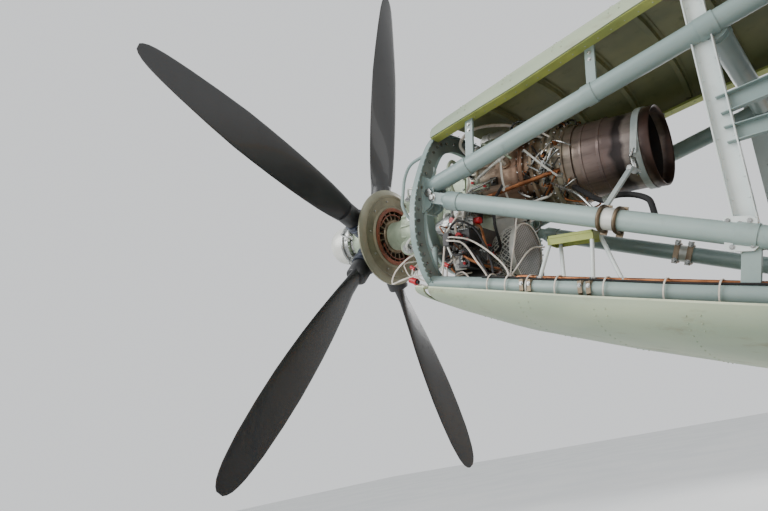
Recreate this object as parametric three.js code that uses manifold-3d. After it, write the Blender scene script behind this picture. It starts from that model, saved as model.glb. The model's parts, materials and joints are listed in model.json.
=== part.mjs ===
// Utility biplane with a bare turboprop nose: five-blade propeller, welded-tube engine truss with primer cowls,
// hollow cockpit and cabin, braced biplane wings, fixed tail-down gear. Millimetres, +Z up, +X to port, nose at -Y.
import * as THREE from 'three';
import { mergeVertices } from 'three/addons/utils/BufferGeometryUtils.js';
import Module from 'manifold-3d';

const wasm = await Module();
wasm.setup();

// Driving sizes, in the level aircraft frame: Y runs aft from the firewall, Z up from the thrust axis.
const groundAngle = 12.5;          // degrees nose-up when parked
const hubY = -2500;
const propellerRadius = 1800;
const bladeCount = 5;
const bladePhase = -3.66;          // degrees from straight up towards port
const bladeRoot = 250;
const engineZ = 180;
const ringY = -1720;
const ringRadius = 655;
const ringZ = -120;
const wall = 26;
const cabinHalf = 880;
const roofZ = 1380;
const bellyZ = -980;
const cockpitEnd = 1660;
const cabinEnd = 5980;
const upperLead = 1300;
const upperChord = 2400;
const upperHalfSpan = 9090;
const upperZ = 1270;
const upperDihedral = 3;
const lowerLead = 1350;
const lowerChord = 2000;
const lowerHalfSpan = 7120;
const lowerZ = -900;
const lowerDihedral = 4.2;
const strutX = 4850;
const wheelRadius = 400;
const wheelWidth = 250;
const wheelX = 1680;
const axleY = 1080;
const axleZ = -2020;
const tailWheelRadius = 235;
const tailWheelY = 9150;
const gap = 0.3;                   // between faces that touch
const clear = 12;                  // between faces that move past each other

const radians = (degrees) => degrees * Math.PI / 180;
const vec = (x, y, z) => new THREE.Vector3(x, y, z);

// Every piece sits in this group, which pitches the level aircraft nose-up onto its wheels.
const root = new THREE.Group();
const aircraft = new THREE.Group();
root.add(aircraft);
const port = 1;
const starboard = -1;
const sides = [['port', port], ['starboard', starboard]];

const paint = {
  primer: { color: 0xaab8ac, roughness: 0.6, metalness: 0.1 },
  green: { color: 0xb9c4a6, roughness: 0.6, metalness: 0.1 },
  yellow: { color: 0xe8a012, roughness: 0.4, metalness: 0.0 },
  blue: { color: 0x1f6fa8, roughness: 0.4, metalness: 0.0 },
  black: { color: 0x111213, roughness: 0.6, metalness: 0.0 },
  steel: { color: 0x9aa0a0, roughness: 0.4, metalness: 0.8 },
  heat: { color: 0x6d5a4c, roughness: 0.5, metalness: 0.8 },
  bronze: { color: 0x8a8064, roughness: 0.5, metalness: 0.7 },
  white: { color: 0xd9dedb, roughness: 0.5, metalness: 0.1 },
  rubber: { color: 0x1b1b1c, roughness: 0.9, metalness: 0.0 },
  glass: { color: 0xa8c0c8, roughness: 0.1, metalness: 0.0 },
  grey: { color: 0x8f989b, roughness: 0.6, metalness: 0.2 },
};

// Adds a solid or a geometry as one named mesh.
function part(name, shape, finish, group = aircraft) {
  const geometry = shape.isBufferGeometry ? shape : geometryOf(shape);
  const mesh = new THREE.Mesh(geometry, new THREE.MeshStandardMaterial(paint[finish]));
  mesh.name = name;
  group.add(mesh);
  return mesh;
}

function solidOf(geometry) {
  const bare = new THREE.BufferGeometry();
  const flat = geometry.index ? geometry.toNonIndexed() : geometry;
  bare.setAttribute('position', flat.getAttribute('position').clone());
  const merged = mergeVertices(bare, 1e-3);
  return new wasm.Manifold(new wasm.Mesh({
    numProp: 3,
    vertProperties: new Float32Array(merged.attributes.position.array),
    triVerts: new Uint32Array(merged.index.array),
  }));
}

function geometryOf(solid) {
  const mesh = solid.getMesh();
  const geometry = new THREE.BufferGeometry();
  geometry.setAttribute('position', new THREE.BufferAttribute(new Float32Array(mesh.vertProperties), 3));
  geometry.setIndex(new THREE.BufferAttribute(new Uint32Array(mesh.triVerts), 1));
  return geometry;
}

const join = (...solids) => solids.reduce((a, b) => a.add(b));
const cut = (body, ...tools) => tools.reduce((a, b) => a.subtract(b), body);
const placed = (geometry, matrix) => solidOf(geometry.clone().applyMatrix4(matrix));

function box(x0, x1, y0, y1, z0, z1) {
  const shape = new THREE.BoxGeometry(x1 - x0, y1 - y0, z1 - z0);
  shape.translate((x0 + x1) / 2, (y0 + y1) / 2, (z0 + z1) / 2);
  return solidOf(shape);
}

// A box given on the port side and set on either side of the symmetry plane.
function sideBox(side, x0, x1, y0, y1, z0, z1) {
  return side > 0 ? box(x0, x1, y0, y1, z0, z1) : box(-x1, -x0, y0, y1, z0, z1);
}

// A straight round bar between two points, tapered where two radii are given.
function bar(from, to, radius, sidesCount = 8, endRadius = radius) {
  const axis = to.clone().sub(from);
  const shape = new THREE.CylinderGeometry(endRadius, radius, axis.length(), sidesCount);
  const turn = new THREE.Quaternion().setFromUnitVectors(vec(0, 1, 0), axis.clone().normalize());
  shape.applyQuaternion(turn);
  const middle = from.clone().add(to).multiplyScalar(0.5);
  shape.translate(middle.x, middle.y, middle.z);
  return solidOf(shape);
}

// A flat-sided bar whose section is wide across the given direction and thin along the other.
function plank(from, to, wide, thin, across) {
  const axis = to.clone().sub(from);
  const z = axis.clone().normalize();
  const x = across.clone().sub(z.clone().multiplyScalar(across.dot(z))).normalize();
  const y = z.clone().cross(x);
  const shape = new THREE.BoxGeometry(wide, thin, axis.length());
  const middle = from.clone().add(to).multiplyScalar(0.5);
  return placed(shape, new THREE.Matrix4().makeBasis(x, y, z).setPosition(middle));
}

// A body of revolution about an axis along Y: the profile is a list of [radius, y] from the front to the back.
function turned(profile, x, z, segments = 32) {
  const points = profile.map(([r, y]) => new THREE.Vector2(r, y));
  const shape = new THREE.LatheGeometry(points, segments);
  shape.translate(x, 0, z);
  let solid = solidOf(shape);
  if (solid.volume() < 0) {
    solid = solidOf(new THREE.LatheGeometry(points.slice().reverse(), segments).translate(x, 0, z));
  }
  return solid;
}

// A tube along a curve through the given points.
function hose(points, radius, steps = 12, sidesCount = 8) {
  const circle = new THREE.Shape();
  circle.absarc(0, 0, radius, 0, 2 * Math.PI, false);
  const path = new THREE.CatmullRomCurve3(points);
  return solidOf(new THREE.ExtrudeGeometry(circle, {
    steps, curveSegments: sidesCount / 2, bevelEnabled: false, extrudePath: path,
  }));
}

// A closed body through a list of rings, each a list of points in the same order, with flat ends.
function loft(rings) {
  const count = rings[0].length;
  const positions = rings.flat().flatMap((p) => [p.x, p.y, p.z]);
  const index = [];
  for (let i = 0; i < rings.length - 1; i++) {
    for (let j = 0; j < count; j++) {
      const a = i * count + j;
      const b = i * count + (j + 1) % count;
      index.push(a, b, a + count, b, b + count, a + count);
    }
  }
  for (const [start, flip] of [[0, false], [(rings.length - 1) * count, true]]) {
    const outline = rings[start / count];
    const flat = flattened(outline);
    for (const [a, b, c] of THREE.ShapeUtils.triangulateShape(flat, [])) {
      index.push(start + a, start + (flip ? b : c), start + (flip ? c : b));
    }
  }
  const build = (list) => {
    const geometry = new THREE.BufferGeometry();
    geometry.setAttribute('position', new THREE.Float32BufferAttribute(positions, 3));
    geometry.setIndex(list);
    return geometry;
  };
  const reversed = [];
  for (let i = 0; i < index.length; i += 3) reversed.push(index[i], index[i + 2], index[i + 1]);
  for (const list of [index, reversed]) {
    try {
      const solid = solidOf(build(list));
      if (solid.volume() > 0) return solid;
    } catch (error) {
      if (list === reversed) throw error;
    }
  }
  throw new Error('a loft is inside out');
}

// A ring's points in its own plane, in the ring's own winding.
function flattened(outline) {
  const normal = vec(0, 0, 0);
  outline.forEach((p, i) => normal.add(p.clone().cross(outline[(i + 1) % outline.length])));
  const size = [Math.abs(normal.x), Math.abs(normal.y), Math.abs(normal.z)];
  const main = size.indexOf(Math.max(...size));
  if (main === 0) return outline.map((p) => new THREE.Vector2(p.y, normal.x > 0 ? p.z : -p.z));
  if (main === 1) return outline.map((p) => new THREE.Vector2(p.z, normal.y > 0 ? p.x : -p.x));
  return outline.map((p) => new THREE.Vector2(p.x, normal.z > 0 ? p.y : -p.y));
}

// Nose: firewall, front ring frame, V trusses with their posts, cowl shells.
// The ring frame is a channel bent to the nose's outline: a web with a flange round its outer edge.
const ringOutline = [[0, 415], [300, 402], [420, 368], [498, 308], [572, 180], [638, 20], [657, -90], [650, -220],
  [612, -315], [558, -398], [470, -455], [300, -484], [0, -490]];   // x, z of the port half, top to bottom
function outlineShape(inset) {
  const middle = new THREE.Vector2(0, -60);
  const half = ringOutline.map(([x, z]) => {
    const away = new THREE.Vector2(x, z).sub(middle);
    return middle.clone().add(away.setLength(away.length() - inset));
  });
  const mirrored = half.slice(1, -1).reverse().map((p) => new THREE.Vector2(-p.x, p.y));
  return new THREE.Shape([...half, ...mirrored].reverse());
}
function ringSlice(outside, inside, y0, y1) {
  const shape = outlineShape(outside);
  if (inside !== null) shape.holes.push(new THREE.Path(outlineShape(inside).getPoints()));
  const slice = new THREE.ExtrudeGeometry(shape, { depth: y1 - y0, bevelEnabled: false });
  return solidOf(slice.rotateX(Math.PI / 2).translate(0, y1, 0));
}
function noseRing() {
  const brackets = sides.map(([, s]) => sideBox(s, 450, 560, ringY + 6, ringY + 150, -70, 110));
  const stays = [[1, 1], [1, -1], [-1, 1], [-1, -1]].map(([s, up]) => bar(
    vec(s * 0.8 * 590, ringY + 4, ringZ + up * 0.5 * 590), vec(s * 0.8 * 262, ringY - 184, up * 0.6 * 262), 16));
  const collar = turned([[228, ringY - 196], [300, ringY - 196], [300, ringY - 170], [228, ringY - 170],
    [228, ringY - 196]], 0, 0, 24);
  return join(ringSlice(0, 105, ringY, ringY + 8), ringSlice(0, 9, ringY - 4, ringY + 60), ...brackets, ...stays,
    collar);
}
part('nose_ring', noseRing(), 'primer');

// Cross-section of the lower cowl: a shallow trough, wider and deeper towards the firewall.
const lowerCowl = [
  // y, half width, edge height, bottom height
  [-1790, 545, -430, -500],
  [-1640, 590, -455, -560],
  [-1350, 625, -500, -655],
  [-900, 655, -570, -755],
  [-400, 680, -640, -850],
  [-20, 690, -690, -900],
];
const upperCowl = [
  // y, half width, edge height, crown height
  [-1790, 500, 312, 420],
  [-1640, 512, 342, 510],
  [-1200, 530, 436, 640],
  [-700, 560, 560, 745],
  [-250, 600, 655, 795],
  [-20, 620, 700, 800],
];
function shellRings(rows, thick) {
  const steps = 12;
  return rows.map(([y, half, edge, far]) => {
    const outer = [];
    const inner = [];
    for (let i = 0; i <= steps; i++) {
      const t = Math.PI * i / steps;
      const x = Math.cos(t);
      const lift = Math.pow(Math.sin(t), 0.75);
      outer.push(vec(half * x, y, edge + (far - edge) * lift));
      inner.push(vec((half - thick) * x, y, edge + (far - edge - Math.sign(far - edge) * thick) * lift));
    }
    return [...outer, ...inner.reverse()];
  });
}
function cowlShell(rows) {
  const rings = shellRings(rows, 14);
  const strips = sides.map(([, s]) => loft(rows.map(([y, half, edge]) => {
    const x = s * (half - 16);
    return [vec(x - s * 55, y, edge - 5), vec(x + s * 8, y, edge - 5), vec(x + s * 8, y, edge + 8),
      vec(x - s * 55, y, edge + 8)];
  })));
  return join(loft(rings), ...strips);
}
const ringBody = ringSlice(-1, null, ringY - 6, ringY + 62);
const cowlTop = cut(cowlShell(upperCowl), ringBody);
const cowlBottom = cut(cowlShell(lowerCowl), ringBody);
part('cowl_upper', cowlTop, 'green');
part('cowl_lower', cowlBottom, 'green');

const cowlPosts = [[-1480, 100, 376], [-860, 270, 521]];   // y, foot and head heights
const trussTop = vec(500, -30, 520);
const trussBottom = vec(500, -30, -490);
const tubeRadius = 42;
const apexY = ringY + 150 + gap;
const upperTube = (s, radius) => bar(vec(s * 505, apexY, 75), vec(s * trussTop.x, trussTop.y, trussTop.z), radius, 12);

// One side's truss: upper and lower tubes from the ring's bracket, a longeron, the channel post with its corner
// plate, two struts back to the firewall, and short posts up to the cowl.
function truss(s) {
  const side = (x, y, z) => vec(x * s, y, z);
  return join(
    upperTube(s, tubeRadius),
    bar(side(505, apexY, -5), side(trussBottom.x, trussBottom.y, trussBottom.z), tubeRadius, 12),
    sideBox(s, 452, 558, apexY, apexY + 90, -60, 120),
    bar(side(497, ringY + 40, -421), side(500, -30, -645), 38, 10),
    plank(side(502, -452, 640), side(502, -350, -450), 75, 34, vec(0, 1, 0)),
    sideBox(s, 519, 531, -432, -322, -452, -318),
    plank(side(500, -352, -430), side(500, -375, -600), 60, 26, vec(0, 1, 0)),
    plank(side(500, -395, 95), side(500, -gap, 165), 30, 70, vec(1, 0, 0)),
    plank(side(500, -382, -20), side(500, -gap, 10), 30, 62, vec(1, 0, 0)),
    ...cowlPosts.map(([y, low, high]) => plank(side(485, y, low), side(475, y, high), 42, 14, vec(0, 1, 0))),
    sideBox(s, 455, 555, -80, -gap, 440, 600),
    sideBox(s, 455, 555, -80, -gap, -570, -410),
    sideBox(s, 450, 550, -80, -gap, -700, -590),
    bar(side(508, -880, -232), side(508, -760, -268), 56, 10),
  );
}

// A small four-legged bracket stands on the port longeron; a cross tube ties the two upper tubes together.
function bracketStand() {
  const legs = [
    // top x, y, foot x, y, z
    [475, -1095, 500, -1149, -465],
    [415, -1080, 478, -1046, -480],
    [475, -915, 500, -915, -495],
    [415, -905, 480, -801, -508],
  ];
  return join(box(400, 490, -1105, -905, -315, -270),
    ...legs.map(([x, y, footX, footY, footZ]) => bar(vec(x, y, -290), vec(footX, footY, footZ), 11, 6)));
}
const crossTube = cut(bar(vec(470, -385, 405), vec(-480, -385, 405), 46, 12), upperTube(starboard, tubeRadius + 1));
const clearOfNose = [
  box(-600, 600, apexY - 100, apexY - gap / 2, -200, 200),
  box(-700, 700, -2000, ringY + 60 + gap, -600, 600),
  box(-700, 700, -gap, 100, -800, 800),
  cowlTop.translate([0, 0, -2 * gap]),
  cowlTop,
  cowlBottom.translate([0, 0, 2 * gap]),
  cowlBottom,
];
part('truss_port', cut(join(truss(port), bracketStand(), crossTube), ...clearOfNose), 'primer');
part('truss_starboard', cut(truss(starboard), ...clearOfNose), 'primer');

function firewallPlate() {
  const outline = new THREE.Shape(fuselageSection(0, -4).map((p) => new THREE.Vector2(p.x, p.z)));
  const shape = new THREE.ExtrudeGeometry(outline, { depth: 14, bevelEnabled: false });
  shape.rotateX(Math.PI / 2);
  shape.translate(0, 14, 0);
  return solidOf(shape);
}

// Engine: reduction gearbox on the thrust axis, turbine core above it, open exhaust, accessories and air intake.
part('engine_gearbox', join(
  turned([[0, -2290], [95, -2290], [100, -2215], [165, -2190], [185, -2080], [210, -2050], [210, -2020],
    [196, -2010], [196, -1935], [225.7, -1925], [225.7, -1870], [190, -1850], [170, -1700], [0, -1700]], 0, 0, 20),
  box(-150, 150, -1870, -1700, -60, 255),
  bar(vec(120, -2100, 60), vec(205, -2080, 150), 42),
  bar(vec(-120, -2100, 60), vec(-205, -2080, 150), 42),
  bar(vec(130, -2120, -80), vec(215, -2090, -150), 48, 10),
  bar(vec(0, -2120, -150), vec(0, -2050, -260), 50, 10),
), 'primer');

part('engine_core', turned([[0, -1700 + gap], [175, -1700 + gap], [178, -1640], [198, -1630], [198, -1616],
  [183, -1600], [190, -1400], [216, -1372], [216, -1352], [203, -1340], [205, -1310], [224, -1306], [224, -1290],
  [206, -1280], [208, -1215], [222, -1208], [222, -1190], [205, -1180], [200, -1100], [0, -1100]], 0, engineZ, 16),
'heat');

part('engine_exhaust', turned([[0, -1100 + gap], [190, -1100 + gap], [192, -960], [186, -950], [184, -800],
  [190, -792], [192, -742], [184, -738], [180, -742], [176, -800], [172, -1060], [0, -1060]], 0, engineZ, 20), 'heat');

function accessories() {
  const pots = [
    // x, z, radius, front y, back y
    [150, -200, 85, -1870, -1640],
    [-150, -200, 85, -1870, -1640],
    [0, -280, 90, -1870, -1692],
    [255, -80, 62, -1840, -1600],
    [-255, -80, 62, -1840, -1600],
  ];
  const bodies = pots.map(([x, z, r, y0, y1]) => turned([[0, y0], [r * 0.7, y0], [r, y0 + 70],
    [r, y1 - 60], [r * 0.72, y1], [0, y1]], x, z, 10));
  const carrier = box(-270, 270, -1740, -1690, -360, -61);
  return join(carrier, box(-120, 120, -1800, -1700, -200, -60 - gap), ...bodies);
}
part('engine_accessories', cut(accessories(), box(-152, 152, -1962, -1688, -60 - gap, 260),
  turned([[0, -2400], [226.3, -2400], [226.3, -1869.4], [190.6, -1849.4], [170.6, -1699.4], [0, -1699.4]], 0, 0, 20)), 'steel');

part('air_intake_duct', join(
  turned([[0, -1690 + gap], [60, -1690 + gap], [60, -1638], [120, -1600], [155, -1520], [163, -1470], [158, -1450],
    [0, -1450]], 0, -230, 20),
  box(-60, 60, -1600, -1490, -200, -10.5),
), 'grey');

// Propeller: hub with its dome ahead, dished backplate behind, and separate blades seated in the hub's sockets.
const propeller = new THREE.Group();
aircraft.add(propeller);
const bladeAngle = (k) => radians(bladePhase + 360 * k / bladeCount);
const blades = Array.from({ length: bladeCount }, (_, k) => k);
const radial = (k, r, y = hubY) => vec(Math.sin(bladeAngle(k)) * r, y, Math.cos(bladeAngle(k)) * r);

function propellerHub() {
  const core = turned([[0, hubY - 370], [60, hubY - 368], [105, hubY - 345], [125, hubY - 300], [128, hubY - 210],
    [145, hubY - 190], [145, hubY - 160], [120, hubY - 150], [150, hubY - 75], [165, hubY - 60], [165, hubY + 60],
    [120, hubY + 75], [88, hubY + 90], [88, hubY + 210 - gap], [0, hubY + 210 - gap]], 0, 0, 16);
  return join(core, ...blades.map((k) => bar(radial(k, 100), radial(k, bladeRoot), 78, 8)));
}
part('propeller_hub', propellerHub(), 'steel', propeller);
part('propeller_backplate', cut(turned([[89, hubY + 96], [180, hubY + 96], [200, hubY + 128], [268, hubY + 128],
  [300, hubY + 96], [305, hubY + 96], [305, hubY + 110], [278, hubY + 142], [190, hubY + 142], [172, hubY + 112],
  [89, hubY + 112], [89, hubY + 96]], 0, 0, 30), ...blades.map((k) => bar(radial(k, 60), radial(k, 400), 80, 10))),
'bronze', propeller);

const bladeStations = [
  // radius share, chord, pitch from the disc in degrees, thickness share
  [(bladeRoot + gap) / propellerRadius, 120, 40, 0.95],
  [0.17, 124, 38, 0.80],
  [0.24, 160, 26, 0.34],
  [0.35, 199, 15, 0.17],
  [0.5, 231, 6, 0.11],
  [0.65, 240, 1, 0.085],
  [0.75, 224, -3, 0.075],
  [0.85, 196, -7, 0.07],
  [0.93, 155, -9, 0.07],
  [0.975, 108, -9.5, 0.075],
  [1.0, 30, -10, 0.2],
];
function blade(k) {
  const out = radial(k, 1, 0);
  const along = vec(Math.cos(bladeAngle(k)), 0, -Math.sin(bladeAngle(k)));
  const forward = vec(0, -1, 0);
  const rings = bladeStations.map(([share, chord, pitch, thin]) => {
    const p = radians(pitch);
    const across = along.clone().multiplyScalar(Math.cos(p)).addScaledVector(forward, Math.sin(p));
    const up = forward.clone().multiplyScalar(Math.cos(p)).addScaledVector(along, -Math.sin(p));
    const centre = vec(0, hubY, 0).addScaledVector(out, share * propellerRadius);
    return Array.from({ length: 10 }, (_, i) => {
      const t = 2 * Math.PI * i / 10;
      return centre.clone().addScaledVector(across, Math.cos(t) * chord / 2)
        .addScaledVector(up, Math.sin(t) * chord * thin / 2);
    });
  });
  return loft(rings);
}
for (const k of blades) part('propeller_blade_' + (k + 1), blade(k), 'black', propeller);

// Fuselage: hollow lofted shell in three lengths. Each station is y, half width, top, bottom, squareness.
const fuselageStations = [
  [0, 740, 800, -900, 2.6],
  [360, 790, 930, -935, 2.7],
  [1000, 855, 1320, -965, 3.0],
  [cockpitEnd, cabinHalf, roofZ, bellyZ, 3.2],
  [3600, cabinHalf, roofZ, bellyZ, 3.2],
  [cabinEnd, 790, 1300, -690, 3.0],
  [8000, 480, 1090, -300, 2.6],
  [9800, 150, 900, 130, 2.2],
];
const sectionPoints = 24;
function fuselageSection(y, inset) {
  const found = fuselageStations.findIndex(([at]) => at >= y);
  const next = found < 0 ? fuselageStations.length - 1 : Math.max(1, found);
  const [y0, ...a] = fuselageStations[next - 1];
  const [y1, ...b] = fuselageStations[next];
  const t = (y - y0) / (y1 - y0);
  const [half, top, bottom, square] = a.map((value, i) => value + (b[i] - value) * t);
  const middle = (top + bottom) / 2;
  const bend = (v) => Math.sign(v) * Math.pow(Math.abs(v), 2 / square);
  return Array.from({ length: sectionPoints }, (_, i) => {
    const angle = 2 * Math.PI * (i + 0.5) / sectionPoints;
    return vec((half - inset) * bend(Math.cos(angle)), y, middle + ((top - bottom) / 2 - inset) * bend(Math.sin(angle)));
  });
}
function fuselageLength(from, to, inset) {
  const stops = fuselageStations.map(([y]) => y).filter((y) => y > from + 1 && y < to - 1);
  return loft([from, ...stops, to].map((y) => fuselageSection(y, inset)));
}
part('firewall', firewallPlate(), 'grey');

// The three lengths grown by a hair, to cut what stands against the skin.
const fuselageGrown = [[14, cockpitEnd + gap], [cockpitEnd, cabinEnd + gap], [cabinEnd, 9800 + gap]]
  .map(([from, to]) => fuselageLength(from, to, -2 * gap));
const shell = (from, to) => cut(fuselageLength(from, to, 0), fuselageLength(from - 1, to + 1, wall));

// Canopy: flat panes between corner posts. Columns run from the nose's centre round to the rear side post,
// each with its base, its waist rail and its top.
const canopyColumns = [
  [vec(0, 330, 905), vec(0, 520, 1075), vec(0, 800, 1325)],
  [vec(400, 360, 890), vec(385, 545, 1060), vec(340, 815, 1315)],
  [vec(815, 700, 700), vec(822, 745, 960), vec(590, 900, 1300)],
  [vec(880, 1110, 700), vec(890, 1110, 960), vec(660, 1115, 1330)],
  [vec(905, cockpitEnd - 30, 700), vec(915, cockpitEnd - 30, 960), vec(700, cockpitEnd - 30, 1345)],
];
const canopyCentre = vec(0, 1150, 800);
function canopyHull(grow) {
  const spread = (p) => {
    const away = p.clone().sub(canopyCentre);
    return p.clone().addScaledVector(away.normalize(), grow);
  };
  const mirror = (p) => vec(-p.x, p.y, p.z);
  const rows = [0, 1, 2].map((level) => {
    const half = canopyColumns.map((column) => spread(column[level]));
    const rearY = cockpitEnd - 30;
    half[half.length - 1].y = rearY;
    return [...half, ...half.slice(1).reverse().map(mirror)];
  });
  const floor = rows[0].map((p) => vec(p.x, p.y, Math.min(p.z, 700) - (grow < 0 ? 60 : 0)));
  return loft([floor, ...rows]);
}
function canopyBars(thick, longer = 0) {
  const bars = [];
  const line = (a, b) => {
    const onCentre = a.x === 0 && b.x === 0;
    const reach = b.clone().sub(a).setLength(longer);
    for (const s of onCentre ? [1] : [1, -1]) {
      const ends = [a.clone().sub(reach), b.clone().add(reach)].map((p) => vec(p.x * s, p.y, p.z));
      bars.push(bar(...ends, thick, 4));
    }
  };
  canopyColumns.forEach(([base, waist, top], i) => {
    line(base, waist);
    line(waist, top);
    if (i < canopyColumns.length - 1) {
      const next = canopyColumns[i + 1];
      line(base, next[0]);
      if (i > 0) line(waist, next[1]);
      line(top, next[2]);
    }
  });
  return bars;
}
function canopyRoof() {
  const rows = [
    // y, half width, crown height, edge height
    [800, 340, 1325, 1315],
    [900, 590, 1329, 1300],
    [cockpitEnd - 30, 700, 1385, 1345],
  ];
  return loft(rows.map(([y, half, crown, edge]) => [vec(half, y, edge - 18), vec(half, y, edge + 14),
    vec(0, y, crown + 14), vec(-half, y, edge + 14), vec(-half, y, edge - 18), vec(0, y, crown - 18)]));
}
const canopyGlass = cut(canopyHull(0), canopyHull(-10), box(-2000, 2000, cockpitEnd - 42, 4000, 0, 3000));
const canopyFrame = cut(join(...canopyBars(24, 9), canopyRoof()), canopyHull(gap),
  box(-2000, 2000, cockpitEnd - gap, 3000, 0, 3000));
part('canopy_glass', canopyGlass, 'glass');
part('canopy_frame', canopyFrame.asOriginal().simplify(0.2), 'yellow');

const canopyRear = cockpitEnd - 30 + gap;
part('fuselage_cockpit', cut(shell(14 + gap, cockpitEnd), canopyHull(2 * gap), join(...canopyBars(25, 10)),
  box(-1100, 1100, 600, canopyRear, 725, 2000), box(-700, 700, 330, canopyRear, 905, 1600)), 'blue');

// Cabin: shell with portholes and the door's opening, floor, bulkhead, benches; the tail cone is closed.
const porthole = { radius: 170, z: 300, y: [2310, 2840, 3360, 3890, 4420, 5490] };
const door = { y0: 4990, y1: 5900, z0: -610, z1: 790 };
const cabinStart = cockpitEnd + gap;
const round = (y, r, from, to) => bar(vec(from, y, porthole.z), vec(to, y, porthole.z), r, 14);
const portholeCuts = porthole.y.map((y) => round(y, porthole.radius, -1200, 1200));
const doorHole = (grow) => box(300, 1300, door.y0 - grow, door.y1 + grow, door.z0 - grow, door.z1 + grow);
const cabinShell = shell(cabinStart, cabinEnd);

function centreSection() {
  const slab = wingPiece({ lead: upperLead, chord: upperChord, z: upperZ, dihedral: 0 }, [[-905, 1], [905, 1]]);
  return cut(slab, ...fuselageGrown, box(-1000, 1000, 0, cockpitEnd, 0, 3000));
}

function wingFoil(chord, lead, z) {
  const outline = [
    // share of chord from the leading edge, height share
    [1, 0.002], [0.85, 0.036], [0.7, 0.067], [0.5, 0.094], [0.3, 0.104], [0.16, 0.092], [0.07, 0.066], [0.02, 0.034],
    [0, 0], [0.02, -0.022], [0.07, -0.034], [0.2, -0.04], [0.5, -0.036], [0.7, -0.026], [0.85, -0.014], [1, -0.004],
  ];
  return outline.map(([along, up]) => [lead + along * chord, z + up * chord]);
}
function wingPiece({ lead, chord, z, dihedral }, stations) {
  const rings = stations.map(([x, share]) => {
    const edge = lead + (1 - share) * chord * 0.42;
    const rise = Math.tan(radians(dihedral)) * Math.max(0, Math.abs(x) - 905);
    return wingFoil(chord * share, edge, z + rise).map(([y, up]) => vec(x, y, up));
  });
  return loft(rings);
}

// The door hangs on two barrels that stand just outside the skin behind its rear edge.
const doorHinge = { y: door.y1 + 4, radius: 13, z: [60, 460] };
doorHinge.x = Math.max(...fuselageSection(doorHinge.y, 0).map((p) => p.x)) + 0.95 * doorHinge.radius;
const doorBarrels = doorHinge.z.flatMap((z) => [
  bar(vec(doorHinge.x, doorHinge.y, z), vec(doorHinge.x, doorHinge.y, z + 80), doorHinge.radius, 12),
  box(doorHinge.x - 22, doorHinge.x + 10, door.y1 - 70, doorHinge.y, z, z + 80),
]);
const doorLeaf = cut(cabinShell.intersect(doorHole(0)), round(5490, porthole.radius, 0, 1300));
part('passenger_door', join(doorLeaf, cut(join(...doorBarrels),
  cut(fuselageGrown[1], box(0, 2000, 0, door.y1, -2000, 2000)))), 'yellow');
part('fuselage_cabin', cut(cabinShell, ...portholeCuts, doorHole(8)), 'yellow');
part('upper_centre_section', centreSection(), 'yellow');

const floorZ = -640;
const floorTop = cut(fuselageLength(14 + gap, cabinEnd - 1, wall + gap), box(-1200, 1200, -10, 9000, floorZ, 2000),
  box(-1200, 1200, -10, 9000, -2000, floorZ - 40));
const bulkhead = cut(fuselageLength(cockpitEnd + 20, cockpitEnd + 45, wall + gap),
  box(-290, 290, 0, 3000, floorZ, 950));

function bench(s) {
  const seat = sideBox(s, 420, 690, 2100, 4800, -260, -230);
  const legs = [2200, 3450, 4700].map((y) => sideBox(s, 430, 460, y, y + 30, floorZ - 20, -240));
  return join(seat, ...legs);
}
part('cabin_floor', join(floorTop, bulkhead, ...sides.map(([, s]) => bench(s))), 'grey');

function pilotSeat(s) {
  return join(
    sideBox(s, 130, 590, 900, 1330, -250, -170),
    plank(vec(s * 360, 1320, -200), vec(s * 360, 1450, 480), 450, 60, vec(1, 0, 0)),
    sideBox(s, 200, 240, 950, 1300, floorZ + gap, -240),
    sideBox(s, 480, 520, 950, 1300, floorZ + gap, -240),
  );
}
for (const [name, s] of sides) part('pilot_seat_' + name, pilotSeat(s), 'grey');
part('instrument_panel', join(
  box(-560, 560, 420, 470, 150, 690),
  box(-430, 430, 420, 470, 680, 790),
  box(-160, 160, 420, 800, floorZ + gap, 160),
), 'black');

// Wings: each main piece is cut away behind its rear spar, and the hinged surfaces fill the bays between full ribs.
const hingeShare = 0.75;
const hingePin = 14;
const noseShare = 0.0395;          // half the section's depth at the hinge line
const hingeLift = 0.0174;          // height of the hinge line above the chord
const upper = { lead: upperLead, chord: upperChord, z: upperZ, dihedral: upperDihedral };
const lower = { lead: lowerLead, chord: lowerChord, z: lowerZ, dihedral: lowerDihedral };
const upperStations = [[905 + gap, 1], [8450, 1], [8740, 0.95], [8950, 0.84], [9060, 0.66], [upperHalfSpan, 0.45]];
const lowerStations = [[1350 + gap, 1], [6700, 1], [6900, 0.94], [7040, 0.82], [lowerHalfSpan, 0.5]];
const stubStations = [[420, 1], [905, 1], [1350, 1]];
const upperBays = [['flap_upper', 1150, 4400], ['aileron', 4420, 8400]];
const lowerBays = [['flap_lower', 1500, 6650]];

const hingeAt = (wing, x, s) => vec(s * x, wing.lead + hingeShare * wing.chord,
  wing.z + hingeLift * wing.chord + Math.tan(radians(wing.dihedral)) * (x - 905));
const onSide = (stations, s) => stations.map(([x, share]) => [s * x, share]);

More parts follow.
